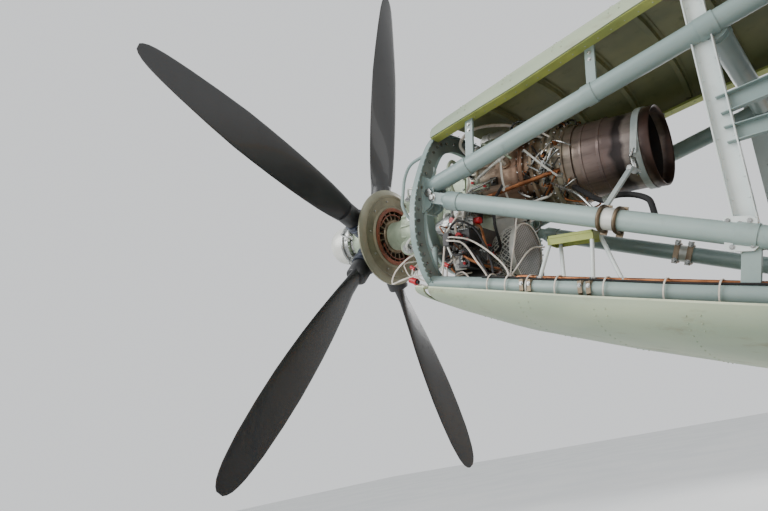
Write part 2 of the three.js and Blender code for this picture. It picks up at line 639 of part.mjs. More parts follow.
function wingMain(wing, stations, bays, s) {
  const rear = wing.lead + (hingeShare - noseShare) * wing.chord - clear;
  const bayCuts = bays.map(([, from, to]) => sideBox(s, from, to, rear, rear + 3000, -2000, 3000));
  return cut(wingPiece(wing, onSide(stations, s)), ...bayCuts);
}
function hingedSurface(wing, stations, from, to, s) {
  const hinge = wing.lead + hingeShare * wing.chord;
  const [a, b] = [hingeAt(wing, from, s), hingeAt(wing, to, s)];
  const foil = wingPiece(wing, onSide(stations, s)).intersect(sideBox(s, from, to, hinge, hinge + 3000, -2000, 3000));
  const nose = bar(a, b, noseShare * wing.chord, 16);
  const body = join(foil, nose).intersect(sideBox(s, from + clear, to - clear, 0, 9000, -2000, 3000));
  const pinInset = gap + hingePin * Math.sin(radians(wing.dihedral));
  const pin = bar(hingeAt(wing, from + pinInset, s), hingeAt(wing, to - pinInset, s), hingePin);
  return join(body, pin);
}

for (const [name, s] of sides) {
  const upperMain = wingMain(upper, upperStations, upperBays, s);
  const lowerMain = wingMain(lower, lowerStations, lowerBays, s);
  const stub = cut(wingPiece(lower, onSide(stubStations, s)), ...fuselageGrown);
  part('upper_wing_' + name, upperMain, 'yellow');
  part('lower_wing_' + name, lowerMain, 'yellow');
  part('lower_wing_stub_' + name, stub, 'blue');
  for (const [surface, from, to] of upperBays) {
    part(surface + '_' + name, hingedSurface(upper, upperStations, from, to, s), 'yellow');
  }
  for (const [surface, from, to] of lowerBays) {
    part(surface + '_' + name, hingedSurface(lower, lowerStations, from, to, s), 'yellow');
  }

  const wingSkins = [upperMain.translate([0, 0, -gap]), lowerMain.translate([0, 0, gap]), stub.translate([0, 0, gap])];
  part('interplane_strut_' + name, cut(interplaneStrut(s), ...wingSkins), 'blue');
  part('bracing_' + name, cut(bracing(s), ...wingSkins, ...fuselageGrown), 'steel');
  part('gear_leg_' + name, cut(gearLeg(s), stub, stub.translate([0, 0, -gap]), lowerMain.translate([0, 0, -gap]),
    ...fuselageGrown), 'blue');
}

// The single broad strut on each side flares where it meets the wings.
function interplaneStrut(s) {
  const stations = [
    // z, front y, rear y, half thickness
    [-470, 1620, 2560, 45],
    [-250, 1840, 2310, 40],
    [0, 1930, 2200, 36],
    [950, 1930, 2200, 36],
    [1220, 1820, 2330, 40],
    [1440, 1600, 2640, 45],
  ];
  return loft(stations.map(([z, front, rear, half]) => {
    const width = rear - front;
    return [[0, 0], [0.1, 0.7], [0.32, 1], [0.7, 0.6], [1, 0], [0.7, -0.6], [0.32, -1], [0.1, -0.7]]
      .map(([along, out]) => vec(s * strutX + out * half, front + along * width, z));
  }));
}

// Flying and landing wires cross half way out, where a spacer ties them together.
function bracing(s) {
  const wires = [
    // y, root height, outer height, root x
    [1700, -690, 1400, 960],
    [2380, -690, 1400, 960],
    [1900, 1195, -430, 960],
    [2180, 1195, -430, 960],
  ];
  const outX = strutX - 110;
  const share = (1195 + 690) / (1195 + 690 + 1400 + 430);
  const crossX = 960 + share * (outX - 960);
  const crossZ = -690 + share * (1400 + 690);
  return join(
    ...wires.map(([y, z0, z1, x0]) => bar(vec(s * x0, y, z0), vec(s * outX, y, z1), 9, 6)),
    bar(vec(s * crossX, 1670, crossZ), vec(s * crossX, 2410, crossZ), 16, 8),
  );
}

function gearLeg(s) {
  const foot = vec(s * 1480, axleY, axleZ);
  return join(
    bar(vec(s * 1130, 1560, -900), vec(s * 1462, axleY + 35, -1930), 115, 10, 92),
    bar(vec(s * 1150, 2450, -930), foot, 36, 8),
    bar(vec(s * 640, 1500, -930), foot, 42, 8),
    bar(vec(s * 1420, axleY, axleZ), vec(s * (wheelX + 112), axleY, axleZ), 38, 14),
    bar(vec(s * (wheelX + 90), axleY, axleZ), vec(s * (wheelX + 108), axleY, axleZ), 56, 8),
    bar(vec(s * 1470, axleY + 35, -1870), vec(s * 1480, axleY, axleZ), 92, 8, 60),
  );
}

// Wheels: a tyre round a dished rim, both turned about an axle along X. The tyre's facets are set so that
// one of its flats lies on the ground at the true radius.
const tyreSides = 24;
function wheel(groundRadius, width, rimRadius, bore, hubHalf) {
  const half = width / 2;
  const radius = groundRadius / Math.cos(Math.PI / tyreSides);
  const tyre = [[rimRadius + gap, -half * 0.7], [radius * 0.76, -half], [radius * 0.93, -half * 0.86],
    [radius, -half * 0.4], [radius, half * 0.4], [radius * 0.93, half * 0.86], [radius * 0.76, half],
    [rimRadius + gap, half * 0.7], [rimRadius + gap, -half * 0.7]];
  const rim = [[bore, -hubHalf], [bore + 30, -hubHalf], [rimRadius * 0.8, -half * 0.26], [rimRadius * 0.9, -half * 0.66],
    [rimRadius, -half * 0.66], [rimRadius, half * 0.66], [rimRadius * 0.9, half * 0.66], [rimRadius * 0.8, half * 0.26],
    [bore + 30, hubHalf], [bore, hubHalf], [bore, -hubHalf]];
  const turnX = new THREE.Matrix4().makeRotationZ(Math.PI / 2);
  const aboutX = (profile, facets) => {
    const points = profile.map(([r, x]) => new THREE.Vector2(r, x));
    const lathe = (list) => placed(new THREE.LatheGeometry(list, facets, Math.PI / facets), turnX);
    const solid = lathe(points);
    return solid.volume() > 0 ? solid : lathe(points.reverse());
  };
  return { tyre: aboutX(tyre, tyreSides), rim: aboutX(rim, tyreSides) };
}
const mainWheel = wheel(wheelRadius, wheelWidth, 200, 39, 88);
for (const [name, s] of sides) {
  for (const [piece, finish] of [['tyre', 'rubber'], ['rim', 'grey']]) {
    const mesh = part('main_' + piece + '_' + name, mainWheel[piece], finish);
    mesh.position.set(s * wheelX, axleY, axleZ);
    mesh.rotation.x = radians(groundAngle);
  }
}

// Tail gear, in a group that cancels the ground angle, with its origin at the wheel's centre.
const lean = radians(groundAngle);
const groundZ = axleZ * Math.cos(lean) - axleY * Math.sin(lean) - wheelRadius;
const tailWheelZ = (groundZ + tailWheelRadius + tailWheelY * Math.sin(lean)) / Math.cos(lean);
const tailGear = new THREE.Group();
tailGear.position.set(0, tailWheelY, tailWheelZ);
tailGear.rotation.x = lean;
aircraft.add(tailGear);
const tailWheel = wheel(tailWheelRadius, 190, 110, 19, 92);
part('tail_tyre', tailWheel.tyre, 'rubber', tailGear);
part('tail_rim', tailWheel.rim, 'grey', tailGear);
part('tail_fork', join(
  bar(vec(-142, 0, 0), vec(142, 0, 0), 18, 20),
  ...[-1, 1].map((s) => plank(vec(s * 128, -112, 262), vec(s * 128, 4, -18), 80, 22, vec(0, 1, 0))),
  box(-139, 139, -160, -60, 248, 274),
  bar(vec(0, -110, 270), vec(0, -110, 292), 34, 16),
), 'grey', tailGear);
function tailLeg() {
  const local = join(bar(vec(0, -110, 292 + gap), vec(0, -110, 470), 48, 16), box(-30, 30, -330, -110, 330, 400));
  const turn = new THREE.Matrix4().makeRotationX(lean).setPosition(0, tailWheelY, tailWheelZ);
  return placed(geometryOf(local), turn);
}

// Tail surfaces. Fin levels are z, leading edge, half thickness; its rear face stands ahead of the rudder's nose.
const rudderHinge = 10050;
const elevatorHinge = 9930;
const tailplaneZ = 800;
const finRear = rudderHinge - 60 - clear;
const finLevels = [[200, 9650, 40], [700, 8350, 62], [1000, 8420, 62], [1750, 8780, 54], [2350, 9130, 42],
  [2680, 9400, 32], [2860, 9640, 22], [2930, 9850, 12]];
const rudderLevels = [[330, 10560, 44], [520, 10760, 48], [1000, 10900, 50], [1750, 10900, 46], [2300, 10780, 38],
  [2650, 10560, 30], [2850, 10330, 20], [2930, 10150, 12]];
const finSection = (z, lead, half, rear) => [[0, 0], [0.08, 0.5], [0.3, 1], [0.7, 1], [1, 0.82], [1, -0.82], [0.7, -1],
  [0.3, -1], [0.08, -0.5]].map(([along, out]) => vec(out * half, lead + along * (rear - lead), z));
const rudderSection = (z, trail, half) => {
  const nose = [90, 126, 162, 198, 234, 270].map((a) => vec(half * 0.95 * Math.sin(radians(a)),
    rudderHinge + half * 0.95 * Math.cos(radians(a)), z));
  return [...nose, vec(-3, trail, z), vec(3, trail, z)];
};
const torqueTube = (radius, from, to) => bar(vec(from, elevatorHinge, tailplaneZ), vec(to, elevatorHinge, tailplaneZ),
  radius, 12);
part('fin', cut(
  join(loft(finLevels.map(([z, lead, half]) => finSection(z, lead, half, finRear))),
    box(-36, 36, 9830, rudderHinge + 40, 270, 312)),
  ...fuselageGrown, torqueTube(36, -300, 300)), 'yellow');
part('rudder', join(loft(rudderLevels.map(([z, trail, half]) => rudderSection(z, trail, half))),
  bar(vec(0, rudderHinge, 312 + gap), vec(0, rudderHinge, 340), 16, 12)), 'yellow');

// Tailplane stations are x, leading edge, trailing edge, half thickness.
const tailStations = [[0, 8560, 10640, 78], [2500, 8860, 10600, 62], [3250, 9000, 10520, 50], [3480, 9130, 10400, 38],
  [3590, 9320, 10200, 20]];
function tailFoil(s) {
  return loft(tailStations.map(([x, lead, trail, half]) => [[0, 0], [0.06, 0.5], [0.2, 0.9], [0.4, 1], [0.65, 0.72],
    [1, 0.04], [1, -0.04], [0.65, -0.72], [0.4, -1], [0.2, -0.9], [0.06, -0.5]]
    .map(([along, up]) => vec(s * x, lead + along * (trail - lead), tailplaneZ + up * half))));
}
const elevatorNose = 48;
const elevatorBay = { from: 190, to: 3300 };
function tailplane(s) {
  const { from, to } = elevatorBay;
  const rear = elevatorHinge - elevatorNose - clear;
  return cut(tailFoil(s), ...fuselageGrown, sideBox(s, -10, to, rear, 12000, 0, 2000), box(-70, 70, 8000, 12000, 0, 2000),
    sideBox(s, 0, from - 30, rear - 60, 12000, 0, 2000));
}
function elevator(s) {
  const { from, to } = elevatorBay;
  const foil = tailFoil(s).intersect(sideBox(s, from, to - clear, elevatorHinge, 12000, 0, 2000));
  const nose = bar(vec(s * from, elevatorHinge, tailplaneZ), vec(s * (to - clear), elevatorHinge, tailplaneZ),
    elevatorNose, 12);
  const cutback = new THREE.Shape([[from - 60, elevatorHinge + 60], [from, elevatorHinge + 60], [from + 260, 10700],
    [from - 60, 10700]].map(([x, y]) => new THREE.Vector2(s * x, y)));
  const corner = solidOf(new THREE.ExtrudeGeometry(cutback, { depth: 400, bevelEnabled: false }).translate(0, 0, 600));
  const tube = torqueTube(28, s > 0 ? gap / 2 : -to + gap, s > 0 ? to - gap : -gap / 2);
  return join(cut(join(foil, nose), corner), tube);
}
for (const [name, s] of sides) {
  const strut = plank(vec(s * 60, 9050, 60), vec(s * 1750, 9250, 790), 70, 26, vec(0, 1, 0));
  part('tailplane_' + name, join(tailplane(s), cut(strut, ...fuselageGrown)), 'yellow');
}
part('elevator', join(elevator(port), elevator(starboard), torqueTube(28, -10, 10)), 'yellow');

// A folding step hangs under the door's sill.
const step = { x: 560, y0: 5250, y1: 5650, drop: -1060 };
part('boarding_step', cut(join(
  ...[step.y0, step.y1].map((y) => bar(vec(step.x - 40, y, -640), vec(step.x + 90, y, step.drop), 14, 6)),
  bar(vec(step.x + 88, step.y0 - 60, step.drop), vec(step.x + 88, step.y1 + 60, step.drop), 18, 6),
), ...fuselageGrown), 'blue');

part('fuselage_tail', join(fuselageLength(cabinEnd + gap, 9800, 0), tailLeg()), 'yellow');

aircraft.rotation.x = -lean;
aircraft.position.z = -groundZ;

// The origin lies on the ground under the middle of the whole aircraft.
const extent = new THREE.Box3().setFromObject(root, true);
aircraft.position.y = -(extent.min.y + extent.max.y) / 2;
export default root;
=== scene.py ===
import json
import math
import random

import bmesh
import bpy
from mathutils import Matrix, Vector
from mathutils.bvhtree import BVHTree

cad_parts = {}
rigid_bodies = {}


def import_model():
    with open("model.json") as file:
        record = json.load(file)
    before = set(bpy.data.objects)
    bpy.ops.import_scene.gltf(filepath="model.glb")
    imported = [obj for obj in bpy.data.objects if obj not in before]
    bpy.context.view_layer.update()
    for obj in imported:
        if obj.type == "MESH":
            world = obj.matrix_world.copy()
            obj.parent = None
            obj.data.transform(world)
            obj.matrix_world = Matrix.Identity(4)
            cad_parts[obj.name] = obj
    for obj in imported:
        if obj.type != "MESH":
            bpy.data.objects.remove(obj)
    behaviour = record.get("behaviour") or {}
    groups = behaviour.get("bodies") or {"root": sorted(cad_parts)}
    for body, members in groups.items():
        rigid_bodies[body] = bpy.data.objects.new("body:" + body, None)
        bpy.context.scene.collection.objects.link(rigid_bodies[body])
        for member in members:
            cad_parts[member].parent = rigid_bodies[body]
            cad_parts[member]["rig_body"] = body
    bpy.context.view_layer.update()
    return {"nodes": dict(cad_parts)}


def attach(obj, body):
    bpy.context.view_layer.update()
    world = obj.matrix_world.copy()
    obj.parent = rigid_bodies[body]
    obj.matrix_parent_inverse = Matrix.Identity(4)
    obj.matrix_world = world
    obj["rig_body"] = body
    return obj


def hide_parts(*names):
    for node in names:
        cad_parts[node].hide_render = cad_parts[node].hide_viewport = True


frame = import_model()
print("frame loaded:", len(frame["nodes"]), "nodes")

# The aircraft is drawn level, nose at -y, z up from the thrust axis, then leaned back onto its tail wheel.
stand = {"lean": 12.5, "shiftY": -4.10464, "lift": 2.60587, "tailWheel": (0, 9.15, -0.39993)}
levelToRow = (Matrix.Translation((0, stand["shiftY"], stand["lift"]))
    @ Matrix.Rotation(-math.radians(stand["lean"]), 4, "X"))
sides = (("port", 1), ("starboard", -1))


# Camera: the photographer's place beside the firewall, looking forward to the propeller.

view = {
    "place": (2.8497, 0.0266, -0.8269),
    "right": (-0.66011, 0.75102, -0.01479),
    "away": (-0.73975, -0.64654, 0.18642),
    "lens": 28.17,
}


def makeCamera():
    camera = bpy.data.cameras.new("photoCamera")
    camera.lens = view["lens"]
    camera.sensor_width = 36
    camera.clip_end = 200
    holder = bpy.data.objects.new("photoCamera", camera)
    bpy.context.scene.collection.objects.link(holder)
    turn = levelToRow.to_3x3()
    away = (turn @ Vector(view["away"])).normalized()
    right = turn @ Vector(view["right"])
    right = (right - away * right.dot(away)).normalized()
    axes = Matrix((right, right.cross(away), -away)).transposed().to_4x4()
    holder.matrix_world = Matrix.Translation(levelToRow @ Vector(view["place"])) @ axes
    bpy.context.scene.camera = holder


makeCamera()
print("camera set")


# Materials. Every pattern is procedural, in object coordinates brought back to the level aircraft.

def colour(red, green, blue):
    def linear(value):
        share = value / 255
        return share / 12.92 if share <= 0.04045 else ((share + 0.055) / 1.055) ** 2.4
    return (linear(red), linear(green), linear(blue), 1)


def startMaterial(name, rough, metal=0.0, coat=0.0):
    material = bpy.data.materials.new(name)
    material.use_nodes = True
    tree = material.node_tree
    shader = tree.nodes["Principled BSDF"]
    shader.inputs["Roughness"].default_value = rough
    shader.inputs["Metallic"].default_value = metal
    shader.inputs["Coat Weight"].default_value = coat
    return material, tree, shader


def addNode(tree, kind, **values):
    node = tree.nodes.new(kind)
    for key, value in values.items():
        if key in node.inputs:
            node.inputs[key].default_value = value
        else:
            setattr(node, key, value)
    return node


def levelCoordinates(tree, scale=(1, 1, 1)):
    back = levelToRow.inverted()
    source = addNode(tree, "ShaderNodeTexCoord")
    turned = addNode(tree, "ShaderNodeMapping")
    turned.inputs["Location"].default_value = back.to_translation()
    turned.inputs["Rotation"].default_value = back.to_euler()
    stretched = addNode(tree, "ShaderNodeVectorMath", operation="MULTIPLY")
    stretched.inputs[1].default_value = scale
    tree.links.new(source.outputs["Object"], turned.inputs["Vector"])
    tree.links.new(turned.outputs["Vector"], stretched.inputs[0])
    return stretched.outputs["Vector"]


def splitAxes(tree, vector):
    apart = addNode(tree, "ShaderNodeSeparateXYZ")
    tree.links.new(vector, apart.inputs[0])
    return apart.outputs


def calc(tree, operation, first, second=None, third=None, clamp=False):
    node = addNode(tree, "ShaderNodeMath", operation=operation, use_clamp=clamp)
    for slot, value in enumerate((first, second, third)):
        if value is None:
            continue
        if isinstance(value, (int, float)):
            node.inputs[slot].default_value = value
        else:
            tree.links.new(value, node.inputs[slot])
    return node.outputs[0]


def noise(tree, vector, scale, detail=3.0, rough=0.55):
    node = addNode(tree, "ShaderNodeTexNoise", Scale=scale, Detail=detail, Roughness=rough)
    tree.links.new(vector, node.inputs["Vector"])
    return node.outputs["Fac"]


def ramp(tree, value, low, high):
    node = addNode(tree, "ShaderNodeMapRange", interpolation_type="SMOOTHSTEP")
    node.inputs["From Min"].default_value = low
    node.inputs["From Max"].default_value = high
    tree.links.new(value, node.inputs["Value"])
    return node.outputs["Result"]


def blendColours(tree, factor, first, second):
    node = addNode(tree, "ShaderNodeMix", data_type="RGBA")
    for slot, value in ((0, factor), (6, first), (7, second)):
        if hasattr(value, "is_linked"):
            tree.links.new(value, node.inputs[slot])
        else:
            node.inputs[slot].default_value = value
    return node.outputs[2]


def addBump(tree, shader, height, strength, distance):
    node = addNode(tree, "ShaderNodeBump", Strength=strength, Distance=distance)
    tree.links.new(height, node.inputs["Height"])
    tree.links.new(node.outputs["Normal"], shader.inputs["Normal"])


# A painted or bare surface: two tones in large clouds, stains in small ones, uneven gloss and a fine grain.
def surface(name, tone, second, stain, rough, metal=0.0, coat=0.0, cloud=2.5, spot=14, amount=0.35,
        grain=220, bump=0.15, stretch=(1, 1, 1)):
    material, tree, shader = startMaterial(name, rough, metal, coat)
    level = levelCoordinates(tree, stretch)
    clouds = ramp(tree, noise(tree, level, cloud), 0.35, 0.65)
    spots = ramp(tree, noise(tree, level, spot, 6, 0.65), 0.55, 0.8)
    base = blendColours(tree, clouds, colour(*tone), colour(*second))
    base = blendColours(tree, calc(tree, "MULTIPLY", spots, amount), base, colour(*stain))
    tree.links.new(base, shader.inputs["Base Color"])
    uneven = calc(tree, "MULTIPLY_ADD", spots, 0.25, rough - 0.05, clamp=True)
    tree.links.new(uneven, shader.inputs["Roughness"])
    addBump(tree, shader, noise(tree, level, grain, 2), bump, 0.001)
    return material


finishes = {
    "primer": surface("primerTube", (146, 164, 160), (126, 145, 143), (92, 102, 98), 0.38,
        cloud=1.6, amount=0.4),
    # The nose ring's web takes a darker copy of the tube primer: painted shade for the web, which faces
    # away from the light.
    "ringWebShade": surface("ringWebShade", (118, 130, 126), (98, 110, 108), (70, 78, 74), 0.5, cloud=4,
        amount=0.4),
    "cowlPrimer": surface("cowlPrimer", (160, 172, 146), (134, 149, 128), (118, 108, 84), 0.55,
        cloud=2.2, amount=0.8, stretch=(1, 0.35, 1)),
    "greenPrimer": surface("greenPrimer", (170, 179, 92), (144, 156, 82), (88, 96, 52), 0.6, cloud=5),
    "white": surface("whitePost", (214, 222, 220), (196, 206, 204), (140, 148, 146), 0.45, cloud=3,
        amount=0.3),
    "grey": surface("greyPaint", (126, 138, 140), (108, 120, 122), (78, 84, 84), 0.5, cloud=3),
    "castGreen": surface("castGreen", (182, 194, 172), (152, 166, 144), (74, 74, 58), 0.45, 0.35,
        cloud=9, spot=40, amount=0.6, bump=0.35),
    "steel": surface("bareSteel", (176, 178, 176), (138, 140, 138), (84, 78, 70), 0.32, 0.9, cloud=8,
        spot=30),
    "silver": surface("silverDome", (212, 213, 206), (186, 188, 182), (126, 124, 116), 0.42, 0.25,
        cloud=6, spot=30),
    "darkMetal": surface("darkMetal", (62, 60, 56), (40, 38, 36), (96, 84, 66), 0.45, 0.6, cloud=12,
        spot=50, amount=0.6),
    "clampBronze": surface("clampBronze", (126, 112, 92), (92, 80, 66), (60, 50, 42), 0.4, 0.7, cloud=12),
    "copper": surface("copperPipe", (170, 112, 74), (132, 84, 56), (74, 52, 42), 0.35, 0.8, cloud=14),
    "blade": surface("bladeBlack", (26, 27, 28), (17, 18, 19), (52, 52, 50), 0.5, coat=0.15,
        cloud=2.2, amount=0.25),
    "wireWhite": surface("wireWhite", (222, 216, 206), (196, 188, 176), (140, 128, 112), 0.5, cloud=20),
    "capRed": surface("capRed", (196, 34, 44), (160, 24, 34), (90, 16, 22), 0.4, cloud=20),
    "blackPlastic": surface("blackPlastic", (24, 24, 25), (34, 34, 36), (62, 60, 58), 0.5, cloud=15),
    "rubber": surface("tyreRubber", (24, 24, 25), (34, 34, 34), (70, 66, 60), 0.85, cloud=5,
        amount=0.3, bump=0.4),
    "rim": surface("rimPaint", (164, 176, 168), (146, 158, 152), (90, 92, 84), 0.45, 0.1, cloud=6),
    "blue": surface("bluePaint", (34, 110, 168), (26, 96, 152), (18, 60, 96), 0.32, coat=0.3,
        cloud=1.5, amount=0.25),
    "yellow": surface("yellowPaint", (255, 186, 0), (246, 168, 0), (170, 112, 20), 0.42, coat=0.12,
        cloud=1.5, amount=0.25),
    "roofGrey": surface("roofGrey", (186, 192, 192), (170, 176, 178), (130, 134, 134), 0.5, cloud=3),
    "seatCloth": surface("seatCloth", (70, 84, 96), (58, 70, 82), (40, 48, 56), 0.9, cloud=8,
        grain=900, bump=0.5),
    "panelBlack": surface("panelBlack", (30, 32, 33), (38, 40, 41), (60, 60, 58), 0.55, cloud=10),
}


def glassMaterial():
    material, tree, shader = startMaterial("windowGlass", 0.06)
    level = levelCoordinates(tree)
    base = blendColours(tree, ramp(tree, noise(tree, level, 3), 0.3, 0.7), colour(206, 222, 222),
        colour(186, 206, 208))
    tree.links.new(base, shader.inputs["Base Color"])
    shader.inputs["Transmission Weight"].default_value = 0.85
    shader.inputs["IOR"].default_value = 1.2
    shader.inputs["Alpha"].default_value = 0.45
    return material


finishes["glass"] = glassMaterial()
print("materials made")


# Modelling kit: each function adds closed bodies to a bmesh drawn in the level aircraft, in metres.

# Corners of a box given for the port side, moved to side s.
def sided(s, low, high):
    near, far = sorted((s * low[0], s * high[0]))
    return (near, *low[1:]), (far, *high[1:])


def addFaces(bm, points, faces, slot):
    corners = [bm.verts.new(point) for point in points]
    for face in faces:
        bm.faces.new([corners[i] for i in face]).material_index = slot


def sweep(bm, rings, slot=0, closed=False):
    rows = [[bm.verts.new(point) for point in ring] for ring in rings]
    pairs = list(zip(rows, rows[1:])) + ([(rows[-1], rows[0])] if closed else [])
    for first, second in pairs:
        for i in range(len(first)):
            j = (i + 1) % len(first)
            bm.faces.new((first[i], first[j], second[j], second[i])).material_index = slot
    if not closed:
        for row in (rows[0], rows[-1]):
            bm.faces.new(row).material_index = slot


def across(axis):
    axis = axis.normalized()
    side = axis.cross(Vector((0, 0, 1)) if abs(axis.z) < 0.9 else Vector((0, 1, 0))).normalized()
    return side, axis.cross(side).normalized()


def circle(centre, side, up, radius, count, phase=0.0):
    return [centre + (side * math.cos(a) + up * math.sin(a)) * radius
        for a in (2 * math.pi * (i + phase) / count for i in range(count))]


def radial(angle):
    return Vector((math.cos(angle), 0, math.sin(angle)))


def addBar(bm, start, end, radius, count=16, slot=0):
    start, end = Vector(start), Vector(end)
    side, up = across(end - start)
    sweep(bm, [circle(place, side, up, radius, count) for place in (start, end)], slot)


# A round tube along a path, its section carried along without twisting.
def addTube(bm, path, radius, count, slot, radii=None):
    path = [Vector(p) for p in path]
    side, _ = across(path[1] - path[0])
    rings = []
    for i, point in enumerate(path):
        ahead = path[min(i + 1, len(path) - 1)] - path[max(i - 1, 0)]
        ahead.normalize()
        side = (side - ahead * side.dot(ahead)).normalized()
        rings.append(circle(point, side, ahead.cross(side), radii[i] if radii else radius, count))
    sweep(bm, rings, slot)


def smoothPath(points, count):
    points = [Vector(p) for p in points]
    padded = [points[0] * 2 - points[1]] + points + [points[-1] * 2 - points[-2]]
    path = []
    for i in range(count + 1):
        at = (len(points) - 1) * i / count
        k = min(int(at), len(points) - 2)
        t = at - k
        a, b, c, d = padded[k:k + 4]
        path.append(0.5 * ((2 * b) + (c - a) * t + (2 * a - 5 * b + 4 * c - d) * t * t
            + (3 * b - a - 3 * c + d) * t ** 3))
    return path


# A body of revolution: rows of (radius, distance along the axis). A profile that starts and ends
# on the axis is solid, and one that ends where it starts is a ring.
def addTurned(bm, rows, centre=(0, 0, 0), axis=(0, 1, 0), count=64, slot=0):
    centre, axis = Vector(centre), Vector(axis).normalized()
    side, up = across(axis)
    loop = rows[0] == rows[-1]
    rows = rows[:-1] if loop else rows
    rings = [[bm.verts.new(centre + axis * along)] if radius == 0
        else [bm.verts.new(p) for p in circle(centre + axis * along, side, up, radius, count)]
        for radius, along in rows]
    for first, second in list(zip(rings, rings[1:])) + ([(rings[-1], rings[0])] if loop else []):
        for i in range(count):
            j = (i + 1) % count
            if len(first) == 1 and len(second) == 1:
                continue
            if len(first) == 1:
                face = (first[0], second[j], second[i])
            elif len(second) == 1:
                face = (first[i], first[j], second[0])
            else:
                face = (first[i], first[j], second[j], second[i])
            bm.faces.new(face).material_index = slot


def addBox(bm, low, high, slot=0, turn=None, about=None):
    corners = [Vector((x, y, z)) for x in (low[0], high[0]) for y in (low[1], high[1])
        for z in (low[2], high[2])]
    if turn is not None:
        pivot = Vector(about) if about else (Vector(low) + Vector(high)) / 2
        corners = [pivot + turn @ (corner - pivot) for corner in corners]
    addFaces(bm, corners, ((0, 1, 3, 2), (4, 6, 7, 5), (0, 4, 5, 1), (2, 3, 7, 6), (0, 2, 6, 4),
        (1, 5, 7, 3)), slot)


# A flat bar between two points: wide along one direction, thin along the other.
def addPlank(bm, start, end, wide, thin, wideAlong, slot=0):
    start, end = Vector(start), Vector(end)
    along = (end - start).normalized()
    side = Vector(wideAlong)
    side = (side - along * side.dot(along)).normalized() * wide / 2
    up = along.cross(side).normalized() * thin / 2
    sweep(bm, [[p + side + up, p - side + up, p - side - up, p + side - up] for p in (start, end)], slot)


# A plate from its outline, as thick as the given step.
def addPlate(bm, outline, step, slot=0):
    sweep(bm, [[Vector(p) for p in outline], [Vector(p) + Vector(step) for p in outline]], slot)


def addBolt(bm, place, facing, radius, height, slot):
    place, facing = Vector(place), Vector(facing).normalized()
    side, up = across(facing)
    sweep(bm, [circle(place, side, up, radius * 1.5, 12),
        circle(place + facing * height * 0.25, side, up, radius * 1.5, 12)], slot)
    sweep(bm, [circle(place, side, up, radius, 6, 0.25),
        circle(place + facing * height, side, up, radius, 6, 0.25)], slot)


def finishPiece(bm, name, body, materials, replaced=(), sharp=32, bevel=0.0, place=levelToRow):
    bmesh.ops.recalc_face_normals(bm, faces=bm.faces)
    mesh = bpy.data.meshes.new(name)
    bm.to_mesh(mesh)
    bm.free()
    mesh.transform(place)
    return showMesh(mesh, name, body, materials, replaced, sharp, bevel)


def showMesh(mesh, name, body, materials, replaced=(), sharp=32, bevel=0.0):
    mesh.shade_smooth()
    mesh.set_sharp_from_angle(angle=math.radians(sharp))
    while mesh.materials:
        mesh.materials.pop()
    for key in materials:
        mesh.materials.append(finishes[key])
    piece = bpy.data.objects.new(name, mesh)
    bpy.context.scene.collection.objects.link(piece)
    if bevel:
        rounded = piece.modifiers.new("edges", "BEVEL")
        rounded.width = bevel
        rounded.segments = 2
        rounded.limit_method = "ANGLE"
        rounded.angle_limit = math.radians(sharp)
        rounded.harden_normals = True
    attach(piece, body)
    if replaced:
        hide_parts(*replaced)
    return piece


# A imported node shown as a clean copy: merged, its flat faces joined, its round ones smooth.
def dressNode(node, material, bevel=0.0):
    source = frame["nodes"][node]
    bm = bmesh.new()
    bm.from_mesh(source.data)
    bmesh.ops.remove_doubles(bm, verts=bm.verts, dist=2e-5)
    bmesh.ops.dissolve_limit(bm, angle_limit=math.radians(0.5), verts=bm.verts, edges=bm.edges)
    mesh = bpy.data.meshes.new(node)
    bm.to_mesh(mesh)
    bm.free()
    return showMesh(mesh, node + "_skin", source["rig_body"], [material], [node], bevel=bevel)


# Bolts, rivets and fasteners: a Geometry Nodes tree sets a small head on every point, turned to
# the point's facing.

